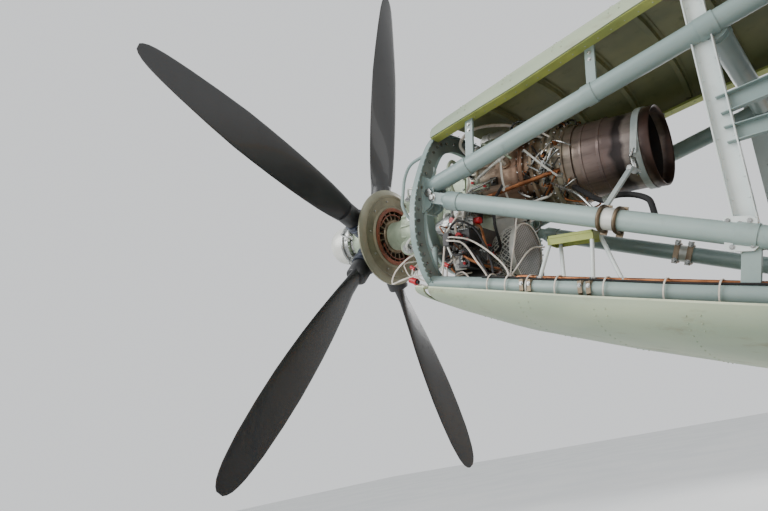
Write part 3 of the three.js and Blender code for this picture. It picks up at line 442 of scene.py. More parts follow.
def studTree():
    tree = bpy.data.node_groups.new("studHeads", "GeometryNodeTree")
    face = tree.interface
    face.new_socket("Geometry", in_out="INPUT", socket_type="NodeSocketGeometry")
    for name, kind, value in (("Head Radius", "NodeSocketFloat", 0.006),
            ("Head Height", "NodeSocketFloat", 0.005), ("Corners", "NodeSocketInt", 6),
            ("Taper", "NodeSocketFloat", 0.85), ("Seed", "NodeSocketInt", 3)):
        face.new_socket(name, in_out="INPUT", socket_type=kind).default_value = value
    face.new_socket("Material", in_out="INPUT", socket_type="NodeSocketMaterial")
    face.new_socket("Geometry", in_out="OUTPUT", socket_type="NodeSocketGeometry")
    inlet = addNode(tree, "NodeGroupInput").outputs
    outlet = addNode(tree, "NodeGroupOutput")
    head = addNode(tree, "GeometryNodeMeshCone")
    smaller = addNode(tree, "ShaderNodeMath", operation="MULTIPLY")
    facing = addNode(tree, "GeometryNodeInputNamedAttribute", data_type="FLOAT_VECTOR", Name="facing")
    align = addNode(tree, "FunctionNodeAlignRotationToVector", axis="Z")
    spin = addNode(tree, "FunctionNodeRandomValue", data_type="FLOAT")
    spin.inputs[3].default_value = 6.283
    turnBy = addNode(tree, "FunctionNodeAxisAngleToRotation")
    turned = addNode(tree, "FunctionNodeRotateRotation", rotation_space="LOCAL")
    place = addNode(tree, "GeometryNodeInstanceOnPoints")
    real = addNode(tree, "GeometryNodeRealizeInstances")
    coat = addNode(tree, "GeometryNodeSetMaterial")
    for start, end in (
            (inlet["Corners"], head.inputs["Vertices"]),
            (inlet["Head Radius"], head.inputs["Radius Bottom"]),
            (inlet["Head Radius"], smaller.inputs[0]), (inlet["Taper"], smaller.inputs[1]),
            (smaller.outputs[0], head.inputs["Radius Top"]),
            (inlet["Head Height"], head.inputs["Depth"]),
            (facing.outputs["Attribute"], align.inputs["Vector"]), (inlet["Seed"], spin.inputs["Seed"]),
            (spin.outputs[1], turnBy.inputs["Angle"]), (align.outputs[0], turned.inputs[0]),
            (turnBy.outputs[0], turned.inputs[1]), (inlet["Geometry"], place.inputs["Points"]),
            (head.outputs["Mesh"], place.inputs["Instance"]),
            (turned.outputs[0], place.inputs["Rotation"]), (place.outputs[0], real.inputs[0]),
            (real.outputs[0], coat.inputs["Geometry"]), (inlet["Material"], coat.inputs["Material"]),
            (coat.outputs[0], outlet.inputs[0]),
    ):
        tree.links.new(start, end)
    return tree


studs = studTree()


def treeResult(source, tree, settings):
    modifier = source.modifiers.new(tree.name, "NODES")
    modifier.node_group = tree
    sockets = {item.name: item.identifier for item in tree.interface.items_tree
        if item.item_type == "SOCKET" and item.in_out == "INPUT"}
    for key, value in settings.items():
        modifier[sockets[key]] = value
    evaluated = source.evaluated_get(bpy.context.evaluated_depsgraph_get())
    mesh = bpy.data.meshes.new_from_object(evaluated)
    bpy.data.objects.remove(source)
    return mesh


# Each point is (place, facing) in the level aircraft.
def addStuds(name, body, points, material, radius, height, corners=6, taper=0.85):
    turn = levelToRow.to_3x3()
    mesh = bpy.data.meshes.new(name + "_points")
    mesh.from_pydata([levelToRow @ Vector(place) for place, _ in points], [], [])
    facing = mesh.attributes.new("facing", "FLOAT_VECTOR", "POINT")
    for i, (_, direction) in enumerate(points):
        facing.data[i].vector = turn @ Vector(direction).normalized()
    source = bpy.data.objects.new(name + "_points", mesh)
    bpy.context.scene.collection.objects.link(source)
    made = treeResult(source, studs, {"Head Radius": radius, "Head Height": height,
        "Corners": corners, "Taper": taper, "Seed": 3, "Material": finishes[material]})
    return showMesh(made, name, body, [material], sharp=40)


def boltCircle(centre, axis, radius, count, phase=0.0):
    centre, axis = Vector(centre), Vector(axis).normalized()
    side, up = across(axis)
    return [(point, axis) for point in circle(centre, side, up, radius, count, phase)]


# Propeller: five blades with cuffs, a domed hub with its pitch gear, and the dished backplate.

propeller = {"hubY": -2.5, "blades": 5, "phase": -3.66, "tip": 1.8, "flangeBolts": 20,
    "domeBolts": 6, "socketBolts": 14}


def bladeAngle(k):
    return math.radians(propeller["phase"] + 360 * k / propeller["blades"])


def spoke(k, reach, y=0.0):
    angle = bladeAngle(k)
    return Vector((math.sin(angle) * reach, propeller["hubY"] + y, math.cos(angle) * reach))


def makeBlades():
    stations = (
        # share of the tip radius, chord in metres, pitch from the disc in degrees, thickness share
        (0.139, 0.120, 40, 0.95), (0.155, 0.120, 39.5, 0.92), (0.17, 0.124, 38, 0.80),
        (0.20, 0.140, 32, 0.55), (0.24, 0.160, 26, 0.34), (0.29, 0.181, 20, 0.23),
        (0.35, 0.199, 15, 0.17), (0.42, 0.217, 10, 0.135), (0.5, 0.231, 6, 0.11),
        (0.58, 0.238, 3.2, 0.095), (0.65, 0.240, 1, 0.085), (0.75, 0.224, -3, 0.075),
        (0.85, 0.196, -7, 0.07), (0.90, 0.172, -8, 0.07), (0.93, 0.155, -9, 0.07),
        (0.955, 0.133, -9.2, 0.07), (0.975, 0.108, -9.5, 0.075), (0.99, 0.074, -9.8, 0.1),
        (0.998, 0.04, -10, 0.16),
    )
    around = 28
    bm = bmesh.new()
    for k in range(propeller["blades"]):
        out = (spoke(k, 1) - spoke(k, 0)).normalized()
        along = Vector((out.z, 0, -out.x))
        ahead = Vector((0, -1, 0))
        rings = []
        for share, chord, pitch, thin in stations:
            turn = math.radians(pitch)
            wide = along * math.cos(turn) + ahead * math.sin(turn)
            high = ahead * math.cos(turn) - along * math.sin(turn)
            centre = spoke(k, share * propeller["tip"])
            round_ = max(0.0, min(1.0, (0.24 - share) / 0.08))
            ring = []
            for i in range(around):
                angle = 2 * math.pi * i / around
                lift = math.sin(angle) * (round_ + (1 - round_) * (0.72 - 0.28 * math.cos(angle)))
                ring.append(centre + wide * math.cos(angle) * chord / 2 + high * lift * chord * thin / 2)
            rings.append(ring)
        sweep(bm, rings, 0)
        cuff = [spoke(k, r) for r in (0.252, 0.262, 0.30, 0.345, 0.352)]
        addTube(bm, cuff, 0.066, 28, 0, radii=[0.064, 0.0665, 0.0665, 0.0665, 0.063])
    nodes = ["propeller_blade_%d" % (k + 1) for k in range(propeller["blades"])]
    finishPiece(bm, "bladeSet", "propeller", ["blade", "cuffBlueGlint"], nodes, sharp=50)


def makeHub():
    hubY = propeller["hubY"]
    bm = bmesh.new()
    addTurned(bm, [(0, hubY - 0.37), (0.03, hubY - 0.3695), (0.06, hubY - 0.366), (0.085, hubY - 0.357),
        (0.105, hubY - 0.342), (0.118, hubY - 0.322), (0.125, hubY - 0.298), (0.128, hubY - 0.25),
        (0.128, hubY - 0.21), (0, hubY - 0.21)], slot=0)
    addTurned(bm, [(0, hubY - 0.212), (0.145, hubY - 0.212), (0.145, hubY - 0.198),
        (0.134, hubY - 0.192), (0.134, hubY - 0.172), (0.145, hubY - 0.166), (0.145, hubY - 0.152),
        (0.118, hubY - 0.146), (0.112, hubY - 0.12), (0, hubY - 0.12)], slot=1)
    addTurned(bm, [(0, hubY - 0.13), (0.12, hubY - 0.13), (0.15, hubY - 0.09), (0.162, hubY - 0.06),
        (0.165, hubY - 0.03), (0.165, hubY + 0.045), (0.15, hubY + 0.06), (0.12, hubY + 0.075),
        (0.088, hubY + 0.09), (0.088, hubY + 0.2097), (0, hubY + 0.2097)], slot=2)
    for k in range(propeller["blades"]):
        out = (spoke(k, 1) - spoke(k, 0)).normalized()
        addTurned(bm, [(0, 0.1), (0.07, 0.1), (0.076, 0.12), (0.076, 0.15), (0.0785, 0.153),
            (0.0785, 0.17), (0.07, 0.173), (0.07, 0.196), (0.0785, 0.2), (0.0785, 0.218),
            (0.072, 0.222), (0.072, 0.244), (0.0755, 0.247), (0.0755, 0.25), (0, 0.25)], (0, hubY, 0),
            out, 40, 3)
        along = Vector((out.z, 0, -out.x))
        addBox(bm, *boxAround(spoke(k, 0.185, -0.088), (0.034, 0.03, 0.05)), slot=1,
            turn=Matrix.Rotation(bladeAngle(k), 3, "Y"))
        addBar(bm, spoke(k, 0.13, -0.15), spoke(k, 0.2, -0.088), 0.012, 12, 1)
        addBar(bm, spoke(k, 0.125, -0.175) + along * 0.05, spoke(k, 0.16, -0.115) + along * 0.05,
            0.009, 10, 1)
        addBar(bm, spoke(k, 0.155, -0.12) + along * 0.03, spoke(k, 0.155, -0.12) + along * 0.075,
            0.014, 12, 0)
        addTube(bm, smoothPath([spoke(k, 0.12, -0.2), spoke(k, 0.165, -0.19) + along * 0.02,
            spoke(k, 0.175, -0.14) + along * 0.055, spoke(k, 0.16, -0.08) + along * 0.06], 14), 0.005,
            8, 1)
    finishPiece(bm, "hubAssembly", "propeller", ["silver", "steel", "castGreen", "cuffBlueGlint"],
        ["propeller_hub"], bevel=0.0015)
    points = boltCircle((0, hubY - 0.212, 0), (0, -1, 0), 0.136, propeller["flangeBolts"])
    points += boltCircle((0, hubY - 0.152, 0), (0, 1, 0), 0.136, propeller["flangeBolts"])
    points += boltCircle((0, hubY - 0.3665, 0), (0, -1, 0), 0.05, propeller["domeBolts"])
    for k in range(propeller["blades"]):
        out = (spoke(k, 1) - spoke(k, 0)).normalized()
        points += boltCircle(spoke(k, 0.2), -out, 0.0735, propeller["socketBolts"])
    addStuds("hubBolts", "propeller", points, "steel", 0.0055, 0.007)


def boxAround(centre, size):
    centre = Vector(centre)
    half = Vector(size) / 2
    return centre - half, centre + half


# The dished plate behind the blades carries a copper slip ring over a spoked recess.

backplate = {"y": -2.404, "spokes": 20, "bolts": 10}


def plateRows(rows):
    return [(r, backplate["y"] + y) for r, y in rows]


def makeBackplate():
    front = backplate["y"]
    bm = bmesh.new()
    rows = [(0.190, 0.040), (0.200, 0.030), (0.252, 0.030), (0.258, 0.0345), (0.268, 0.0345),
        (0.274, 0.030), (0.299, 0.012), (0.3045, 0.011), (0.3045, 0.001), (0.296, 0.0), (0.270, 0.020),
        (0.198, 0.020), (0.182, 0.032), (0.182, 0.040), (0.190, 0.040)]
    addTurned(bm, plateRows(rows), count=120, slot=0)
    addTurned(bm, plateRows(((0.160, 0.026), (0.160, 0.046), (0.163, 0.0464), (0.180, 0.0464),
        (0.183, 0.044), (0.183, 0.026), (0.160, 0.026))), count=96, slot=1)
    addTurned(bm, plateRows(((0.089, 0.002), (0.089, 0.012), (0.162, 0.012), (0.185, 0.028),
        (0.185, 0.022), (0.164, 0.004), (0.089, 0.002))), count=96, slot=2)
    addTurned(bm, plateRows(((0.0885, 0.0), (0.0885, 0.044), (0.104, 0.044), (0.108, 0.038),
        (0.108, 0.0), (0.0885, 0.0))), count=64, slot=3)
    for i in range(backplate["spokes"]):
        turn = Matrix.Rotation(2 * math.pi * i / backplate["spokes"], 3, "Y")
        points = [turn @ Vector(p) for p in ((0.104, front + 0.012, -0.004),
            (0.163, front + 0.012, -0.004), (0.163, front + 0.034, -0.004),
            (0.104, front + 0.038, -0.004))]
        addPlate(bm, points, turn @ Vector((0, 0, 0.008)), 3)
    for start in (0.3, 2.3, 4.2):
        path = [Vector((math.cos(start + t * 0.16) * (0.150 - 0.002 * t),
            front + 0.043 + 0.002 * math.sin(t), math.sin(start + t * 0.16) * (0.150 - 0.002 * t)))
            for t in range(11)]
        addTube(bm, path, 0.0042, 8, 1)
    finishPiece(bm, "backplateDish", "propeller",
        ["plateOlive", "slipRing", "darkMetal", "clampBronze"], ["propeller_backplate"],
        sharp=28)
    addStuds("backplateBolts", "propeller",
        boltCircle((0, front + 0.030, 0), (0, 1, 0), 0.226, backplate["bolts"]), "steel", 0.006, 0.005)


def plateRings():
    material, tree, shader = startMaterial("plateOlive", 0.38, 0.55)
    level = levelCoordinates(tree)
    apart = splitAxes(tree, level)
    reach = calc(tree, "SQRT", calc(tree, "ADD", calc(tree, "POWER", apart["X"], 2.0),
        calc(tree, "POWER", apart["Z"], 2.0)))
    turned = calc(tree, "SINE", calc(tree, "MULTIPLY", reach, 900.0))
    clouds = ramp(tree, noise(tree, level, 9), 0.3, 0.7)
    base = blendColours(tree, clouds, colour(118, 114, 94), colour(92, 88, 70))
    edge = ramp(tree, reach, 0.262, 0.30)
    base = blendColours(tree, calc(tree, "MULTIPLY", edge, 0.6), base, colour(142, 142, 124))
    tree.links.new(base, shader.inputs["Base Color"])
    addBump(tree, shader, turned, 0.12, 0.0006)
    return material


finishes["plateOlive"] = plateRings()
finishes["slipRing"] = surface("slipRing", (126, 70, 48), (98, 54, 38), (60, 42, 34), 0.45, 0.5, cloud=14)
# Blade cuffs and hub sockets: near-black metal whose blue tint is a painted reflection of a blue glint.
finishes["cuffBlueGlint"] = surface("cuffBlueGlint", (56, 62, 76), (42, 48, 60), (84, 88, 92), 0.38, 0.4, cloud=10)
makeBlades()
makeHub()
makeBackplate()
print("propeller made")


# Nose ring: a channel bent to the nose's outline, bolted to the gearbox collar by four stays.

noseRing = {"y": -1.72, "webDepth": 0.105, "flange": 0.03, "skin": 0.008, "bolts": 46,
    "arcs": (((0.28, -1.905, -0.06), (0.36, -1.95, -0.03), (0.40, -1.972, 0.04), (0.40, -1.970, 0.11),
    (0.40, -1.954, 0.20), (0.40, -1.917, 0.26), (0.40, -1.854, 0.285), (0.42, -1.725, 0.30)),
    ((0.26, -1.905, 0.12), (0.31, -1.89, 0.17), (0.33, -1.83, 0.24), (0.36, -1.725, 0.31)))}
ringOutline = ((0, 0.415), (0.300, 0.402), (0.420, 0.368), (0.498, 0.308), (0.572, 0.180),
    (0.638, 0.020), (0.657, -0.090), (0.650, -0.220), (0.612, -0.315), (0.558, -0.398), (0.470, -0.455),
    (0.300, -0.484), (0, -0.490))


def ringPath(inset, y, count=132):
    half = [Vector((x, y, z)) for x, z in ringOutline]
    corners = half + [Vector((-p.x, y, p.z)) for p in half[-2:0:-1]]
    total = len(corners)
    path = []
    for i in range(count):
        at = total * i / count
        k, t = int(at), at - int(at)
        a, b, c, d = (corners[(k + step) % total] for step in (-1, 0, 1, 2))
        point = 0.5 * ((2 * b) + (c - a) * t + (2 * a - 5 * b + 4 * c - d) * t * t
            + (3 * b - a - 3 * c + d) * t ** 3)
        away = Vector((point.x, 0, point.z + 0.06))
        path.append(point - away.normalized() * inset)
    return path


def addRingSection(bm, rows, slot):
    rings = list(zip(*[ringPath(inset, y) for inset, y in rows]))
    sweep(bm, rings, slot, closed=True)


def makeNoseRing():
    y, web, skin = noseRing["y"], noseRing["webDepth"], noseRing["skin"]
    bm = bmesh.new()
    addRingSection(bm, [(skin, y), (web - 0.002, y), (web - 0.002, y + 0.008), (skin, y + 0.008)], 0)
    addRingSection(bm, [(0, y - 0.004), (skin, y - 0.004), (skin, y + noseRing["flange"] - 0.004),
        (0, y + noseRing["flange"] - 0.004)], 1)
    addRingSection(bm, [(web - 0.004, y - 0.002), (web, y - 0.002), (web, y + 0.022),
        (web - 0.004, y + 0.022)], 1)
    for _, s in sides:
        addBox(bm, *sided(s, (0.45, y + 0.006, -0.075), (0.57, y + 0.016, 0.115)), 2)
        for x in (0.458, 0.478, 0.540, 0.560):
            addPlate(bm, [(s * x - 0.003, y + dy, z)
                for dy, z in ((0.012, -0.07), (0.05, -0.05), (0.075, 0.0), (0.075, 0.05), (0.05, 0.095),
                (0.012, 0.11))], (0.006, 0, 0), 2)
        addBar(bm, (s * 0.448, y + 0.05, 0.02), (s * 0.575, y + 0.05, 0.02), 0.013, 16, 3)
        addBar(bm, (s * 0.566, y + 0.05, 0.02), (s * 0.578, y + 0.05, 0.02), 0.022, 6, 3)
        for up in (1, -1):
            start = Vector((s * 0.472, y + 0.004, -0.12 + up * 0.295))
            end = Vector((s * 0.2096, y - 0.184, up * 0.157))
            addBar(bm, start, end, 0.016, 20, 1)
            along = (end - start).normalized()
            addBar(bm, start + along * 0.015, start + along * 0.05, 0.022, 6, 3)
            addBar(bm, end - along * 0.05, end - along * 0.015, 0.022, 6, 3)
    collar = [(0.228, y - 0.196), (0.228, y - 0.170), (0.296, y - 0.170), (0.3, y - 0.174),
        (0.3, y - 0.192), (0.296, y - 0.196), (0.228, y - 0.196)]
    addTurned(bm, collar, count=96, slot=2)
    for arc in noseRing["arcs"]:
        addTube(bm, smoothPath(arc, 30), 0.009, 12, 1)
    finishPiece(bm, "noseRingFrame", "airframe", ["ringWebShade", "primer", "primer", "steel"],
        ["nose_ring"], bevel=0.0012)
    outer = ringPath(0.052, y, noseRing["bolts"])
    points = [(p, (0, -1, 0)) for p in outer]
    for p in ringPath(0, y + 0.03, 88):
        points.append((p, (p.x, 0, p.z + 0.06)))
    addStuds("ringRivets", "airframe", points, "primer", 0.0055, 0.004, corners=12, taper=0.6)
    points = [(p + Vector((0, 0.008, 0)), (0, 1, 0)) for p in outer] + boltCircle((0, y - 0.196, 0),
        (0, -1, 0), 0.264, 20)
    addStuds("ringBolts", "airframe", points, "steel", 0.0085, 0.008)


# Reduction gearbox: a ribbed casting on the thrust axis with its nose bearing, flanges, sump and fittings.

gearbox = {"ribs": 18, "noseBolts": 16, "flangeBolts": 28}


def addFitting(bm, place, facing, size, slot, pipe=None):
    place, facing = Vector(place), Vector(facing).normalized()
    addBar(bm, place - facing * size, place + facing * size * 0.4, size * 1.15, 20, slot)
    addBar(bm, place + facing * size * 0.4, place + facing * size * 1.3, size, 6, slot)
    addBar(bm, place + facing * size * 1.3, place + facing * size * 1.9, size * 0.7, 16,
        slot if pipe is None else pipe)


def makeGearbox():
    bm = bmesh.new()
    addTurned(bm, [(0, -2.29), (0.088, -2.29), (0.095, -2.284), (0.098, -2.226), (0.106, -2.214),
        (0.140, -2.207), (0.1445, -2.199), (0.148, -2.196), (0.158, -2.192), (0.166, -2.18),
        (0.172, -2.13), (0.178, -2.085), (0.186, -2.068), (0.206, -2.061), (0.2105, -2.055),
        (0.2105, -2.040), (0.2085, -2.037), (0.2105, -2.034), (0.2105, -2.022), (0.206, -2.015),
        (0.197, -2.009), (0.193, -1.995), (0.193, -1.95), (0.198, -1.938), (0.219, -1.931),
        (0.2257, -1.924), (0.2257, -1.900), (0.2235, -1.897), (0.2257, -1.894), (0.2257, -1.874),
        (0.22, -1.866), (0.195, -1.852), (0.186, -1.81), (0.172, -1.706), (0.168, -1.7), (0, -1.7)],
        count=96, slot=0)
    for i in range(gearbox["ribs"]):
        turn = Matrix.Rotation(2 * math.pi * (i + 0.5) / gearbox["ribs"], 3, "Y")
        front = [(0, -2.2, 0.12), (0, -2.2, 0.153), (0, -2.175, 0.180), (0, -2.07, 0.198),
            (0, -2.05, 0.17)]
        rear = [(0, -1.96, 0.18), (0, -2.015, 0.196), (0, -2.012, 0.206), (0, -1.932, 0.217),
            (0, -1.93, 0.19)]
        for outline in (front, rear):
            addPlate(bm, [turn @ (Vector(p) - Vector((0.0045, 0, 0))) for p in outline],
                turn @ Vector((0.009, 0, 0)), 0)
    addBox(bm, (-0.148, -1.87, -0.058), (0.148, -1.702, 0.253), 0)
    addBox(bm, (-0.156, -1.842, -0.04), (0.156, -1.828, 0.2), 0)
    addBox(bm, (-0.156, -1.742, -0.04), (0.156, -1.728, 0.235), 0)
    for x, y, z, outX, outY, outZ, size in (
            (0.120, -2.1, 0.060, 0.205, -2.08, 0.150, 0.040),
            (-0.120, -2.1, 0.060, -0.205, -2.08, 0.150, 0.040),
            (0.130, -2.12, -0.080, 0.215, -2.09, -0.150, 0.046),
            (0, -2.12, -0.15, 0, -2.05, -0.26, 0.048), (-0.13, -2.11, -0.08, -0.19, -2.09, -0.13, 0.035),
            (0.16, -1.99, 0.1, 0.225, -1.985, 0.155, 0.03),
            (0.17, -1.98, -0.05, 0.235, -1.98, -0.075, 0.034),
    ):
        start, end = Vector((x, y, z)), Vector((outX, outY, outZ))
        along = (end - start).normalized()
        addBar(bm, start, end - along * 0.012, size * 0.9, 28, 0)
        addBar(bm, end - along * 0.02, end - along * 0.006, size, 28, 0)
        addBar(bm, end - along * 0.006, end, size * 0.72, 24, 1)
        addBar(bm, end, end + along * 0.014, size * 0.4, 6, 1)
    addBar(bm, (0.185, -2.06, 0.02), (0.235, -2.05, 0.03), 0.03, 24, 1)
    for z, x in ((0.05, 0.228), (-0.02, 0.236), (-0.09, 0.23)):
        addFitting(bm, (x - 0.02, -1.905, z), (1, 0.1, z), 0.013, 1)
    pipes = (
        [(0.215, -2.08, 0.155), (0.25, -2.05, 0.19), (0.262, -1.98, 0.16), (0.258, -1.93, 0.07),
            (0.25, -1.905, 0.052)],
        [(0.222, -2.092, -0.155), (0.262, -2.06, -0.13), (0.272, -1.98, -0.08), (0.25, -1.905, -0.024)],
        [(0.235, -1.98, -0.08), (0.262, -1.94, -0.16), (0.235, -1.9, -0.2), (0.18, -1.87, -0.2)],
        [(0.0, -2.045, -0.27), (0.08, -2.0, -0.3), (0.12, -1.93, -0.27), (0.15, -1.87, -0.22)],
    )
    for path in pipes:
        addTube(bm, smoothPath(path, 24), 0.0075, 12, 2)
    finishPiece(bm, "gearboxCasting", "airframe", ["castGreen", "steel", "silver"],
        ["engine_gearbox"], sharp=30, bevel=0.0015)
    points = boltCircle((0, -2.207, 0), (0, -1, 0), 0.124, gearbox["noseBolts"])
    points += boltCircle((0, -2.061, 0), (0, -1, 0), 0.197, gearbox["flangeBolts"])
    points += boltCircle((0, -1.931, 0), (0, -1, 0), 0.212, gearbox["flangeBolts"] + 4)
    for z in (0.0, 0.06, 0.12, 0.18):
        for s in (1, -1):
            points += [((s * 0.156, -1.835, z), (s, 0, 0)), ((s * 0.156, -1.735, z + 0.02), (s, 0, 0))]
    addStuds("gearboxBolts", "airframe", points, "steel", 0.0065, 0.009)


# Turbine core and its open exhaust: bolted flanges, a fuel manifold and heat colours along the length.

core = {"z": 0.18, "nozzles": 10, "ribs": 14, "bandBolts": 28,
    "flanges": ((-1.6315, 0.198, 24), (-1.3635, 0.2165, 36), (-1.2985, 0.224, 36),
    (-1.1995, 0.222, 36)), "bands": (-1.245, -1.148)}
heatBands = (
    # distance along the thrust axis, colour
    (-1.72, (186, 186, 170)), (-1.62, (170, 166, 150)), (-1.58, (158, 140, 122)),
    (-1.42, (160, 134, 114)), (-1.38, (110, 78, 60)), (-1.30, (130, 112, 92)), (-1.21, (166, 160, 142)),
    (-1.15, (140, 130, 114)), (-1.04, (130, 114, 108)), (-0.93, (112, 97, 94)), (-0.905, (50, 44, 44)),
    (-0.87, (58, 51, 51)), (-0.85, (138, 128, 122)), (-0.79, (122, 110, 104)), (-0.765, (60, 46, 42)),
    (-0.74, (74, 54, 48)),
)


def heatMaterial():
    material, tree, shader = startMaterial("heatTintedSteel", 0.4, 0.6)
    level = levelCoordinates(tree)
    apart = splitAxes(tree, level)
    cloud = noise(tree, level, 7, 4)
    along = calc(tree, "MULTIPLY_ADD", cloud, 0.10, apart["Y"])
    low, high = heatBands[0][0], heatBands[-1][0]
    share = calc(tree, "DIVIDE", calc(tree, "SUBTRACT", along, low + 0.05), high - low, clamp=True)
    bands = addNode(tree, "ShaderNodeValToRGB")
    while len(bands.color_ramp.elements) < len(heatBands):
        bands.color_ramp.elements.new(0.5)
    for element, (place, tone) in zip(bands.color_ramp.elements, heatBands):
        element.position = (place - low) / (high - low)
        element.color = colour(*tone)
    tree.links.new(share, bands.inputs["Fac"])
    streaks = ramp(tree, noise(tree, levelCoordinates(tree, (9, 1.2, 9)), 4, 5, 0.6), 0.45, 0.75)
    base = blendColours(tree, calc(tree, "MULTIPLY", streaks, 0.45), bands.outputs["Color"],
        colour(58, 48, 44))
    tree.links.new(base, shader.inputs["Base Color"])
    tree.links.new(calc(tree, "MULTIPLY_ADD", cloud, 0.35, 0.22), shader.inputs["Roughness"])
    addBump(tree, shader, noise(tree, level, 160, 2), 0.2, 0.001)
    return material


finishes["heat"] = heatMaterial()
finishes["soot"] = surface("sootInside", (26, 22, 21), (38, 31, 29), (58, 44, 38), 0.85, 0.3, cloud=8)
finishes["strapGrey"] = surface("strapGrey", (176, 184, 182), (156, 166, 166), (110, 116, 114), 0.4,
    0.2, cloud=9)


def makeCore():
    z = core["z"]
    bm = bmesh.new()
    rows = [(0, -1.6997), (0.17, -1.6997), (0.173, -1.694), (0.174, -1.648), (0.196, -1.639),
        (0.1985, -1.6355), (0.1985, -1.6325), (0.197, -1.6315), (0.1985, -1.6305), (0.1985, -1.6275),
        (0.196, -1.624), (0.184, -1.618), (0.183, -1.60), (0.1855, -1.52), (0.189, -1.5),
        (0.1895, -1.4), (0.194, -1.388), (0.213, -1.3755), (0.2165, -1.371), (0.2165, -1.3645),
        (0.2145, -1.3635), (0.2165, -1.3625), (0.2165, -1.356), (0.213, -1.351), (0.198, -1.346),
        (0.197, -1.33), (0.198, -1.312), (0.222, -1.307), (0.224, -1.3035), (0.224, -1.2995),
        (0.2225, -1.2985), (0.224, -1.2975), (0.224, -1.293), (0.221, -1.2895), (0.200, -1.284),
        (0.199, -1.25), (0.2005, -1.216), (0.2205, -1.209), (0.2225, -1.205), (0.2225, -1.2005),
        (0.221, -1.1995), (0.2225, -1.1985), (0.2225, -1.194), (0.2195, -1.1895), (0.205, -1.184),
        (0.2005, -1.15), (0.199, -1.1), (0, -1.1)]
    addTurned(bm, rows, (0, 0, z), count=96, slot=0)
    addTurned(bm, [(0.229, -1.454), (0.235, -1.460), (0.241, -1.454), (0.235, -1.448), (0.229, -1.454)],
        (0, 0, z), count=72, slot=1)
    for y in core["bands"]:
        addTurned(bm, [(0.199, y - 0.011), (0.209, y - 0.008), (0.211, y - 0.004), (0.211, y + 0.004),
            (0.209, y + 0.008), (0.199, y + 0.011), (0.199, y - 0.011)], (0, 0, z), count=96, slot=0)
    for k in range(core["nozzles"]):
        out = radial(2 * math.pi * (k + 0.25) / core["nozzles"])
        middle = Vector((0, -1.454, z))
        addBar(bm, middle + out * 0.18, middle + out * 0.2, 0.026, 20, 0)
        addBar(bm, middle + out * 0.195, middle + out * 0.232, 0.012, 6, 1)
        addBar(bm, middle + out * 0.22, middle + out * 0.25, 0.009, 12, 1)
    for k in range(core["ribs"]):
        out = radial(2 * math.pi * (k + 0.5) / core["ribs"])
        tangent = Vector((-out.z, 0, out.x))
        addPlate(bm, [Vector((0, y, z)) + out * r + tangent * 0.003
            for r, y in ((0.17, -1.62), (0.193, -1.62), (0.1905, -1.52), (0.17, -1.5))],
            tangent * -0.006, 0)
    # pipes: start and end angle about the core's axis, start and end place along it, stand-off, radius
    for a0, a1, y0, y1, off, size, slot in (
            (-10, 40, -1.62, -1.25, 0.236, 0.008, 1), (-35, -20, -1.66, -1.16, 0.238, 0.011, 2),
            (-60, -48, -1.60, -1.22, 0.24, 0.007, 1), (150, 200, -1.62, -1.3, 0.238, 0.009, 1),
            (20, -30, -1.34, -1.15, 0.234, 0.006, 1), (70, 100, -1.6, -1.2, 0.238, 0.008, 2),
    ):
        path = []
        for i in range(25):
            t = i / 24
            angle = math.radians(a0 + (a1 - a0) * t)
            reach = off if 0.06 < t < 0.94 else off - 0.04 * (1 if t in (0, 1) else 0.35)
            path.append((math.cos(angle) * reach, y0 + (y1 - y0) * t, z + math.sin(angle) * reach))
        addTube(bm, path, size, 10, slot)
    finishPiece(bm, "turbineCore", "airframe", ["heat", "silver", "copper"], ["engine_core"],
        sharp=28)
    points = []
    for y, reach, count in core["flanges"]:
        points += boltCircle((0, y - 0.0085, z), (0, -1, 0), reach - 0.009, count)
        points += boltCircle((0, y + 0.0085, z), (0, 1, 0), reach - 0.009, count)
    for y in core["bands"]:
        for k in range(core["bandBolts"]):
            out = radial(2 * math.pi * k / core["bandBolts"])
            points.append((Vector((0, y, z)) + out * 0.2105, out))
    addStuds("coreBolts", "airframe", points, "steel", 0.006, 0.009)


exhaust = {"strapY": -0.80, "vanes": 6}


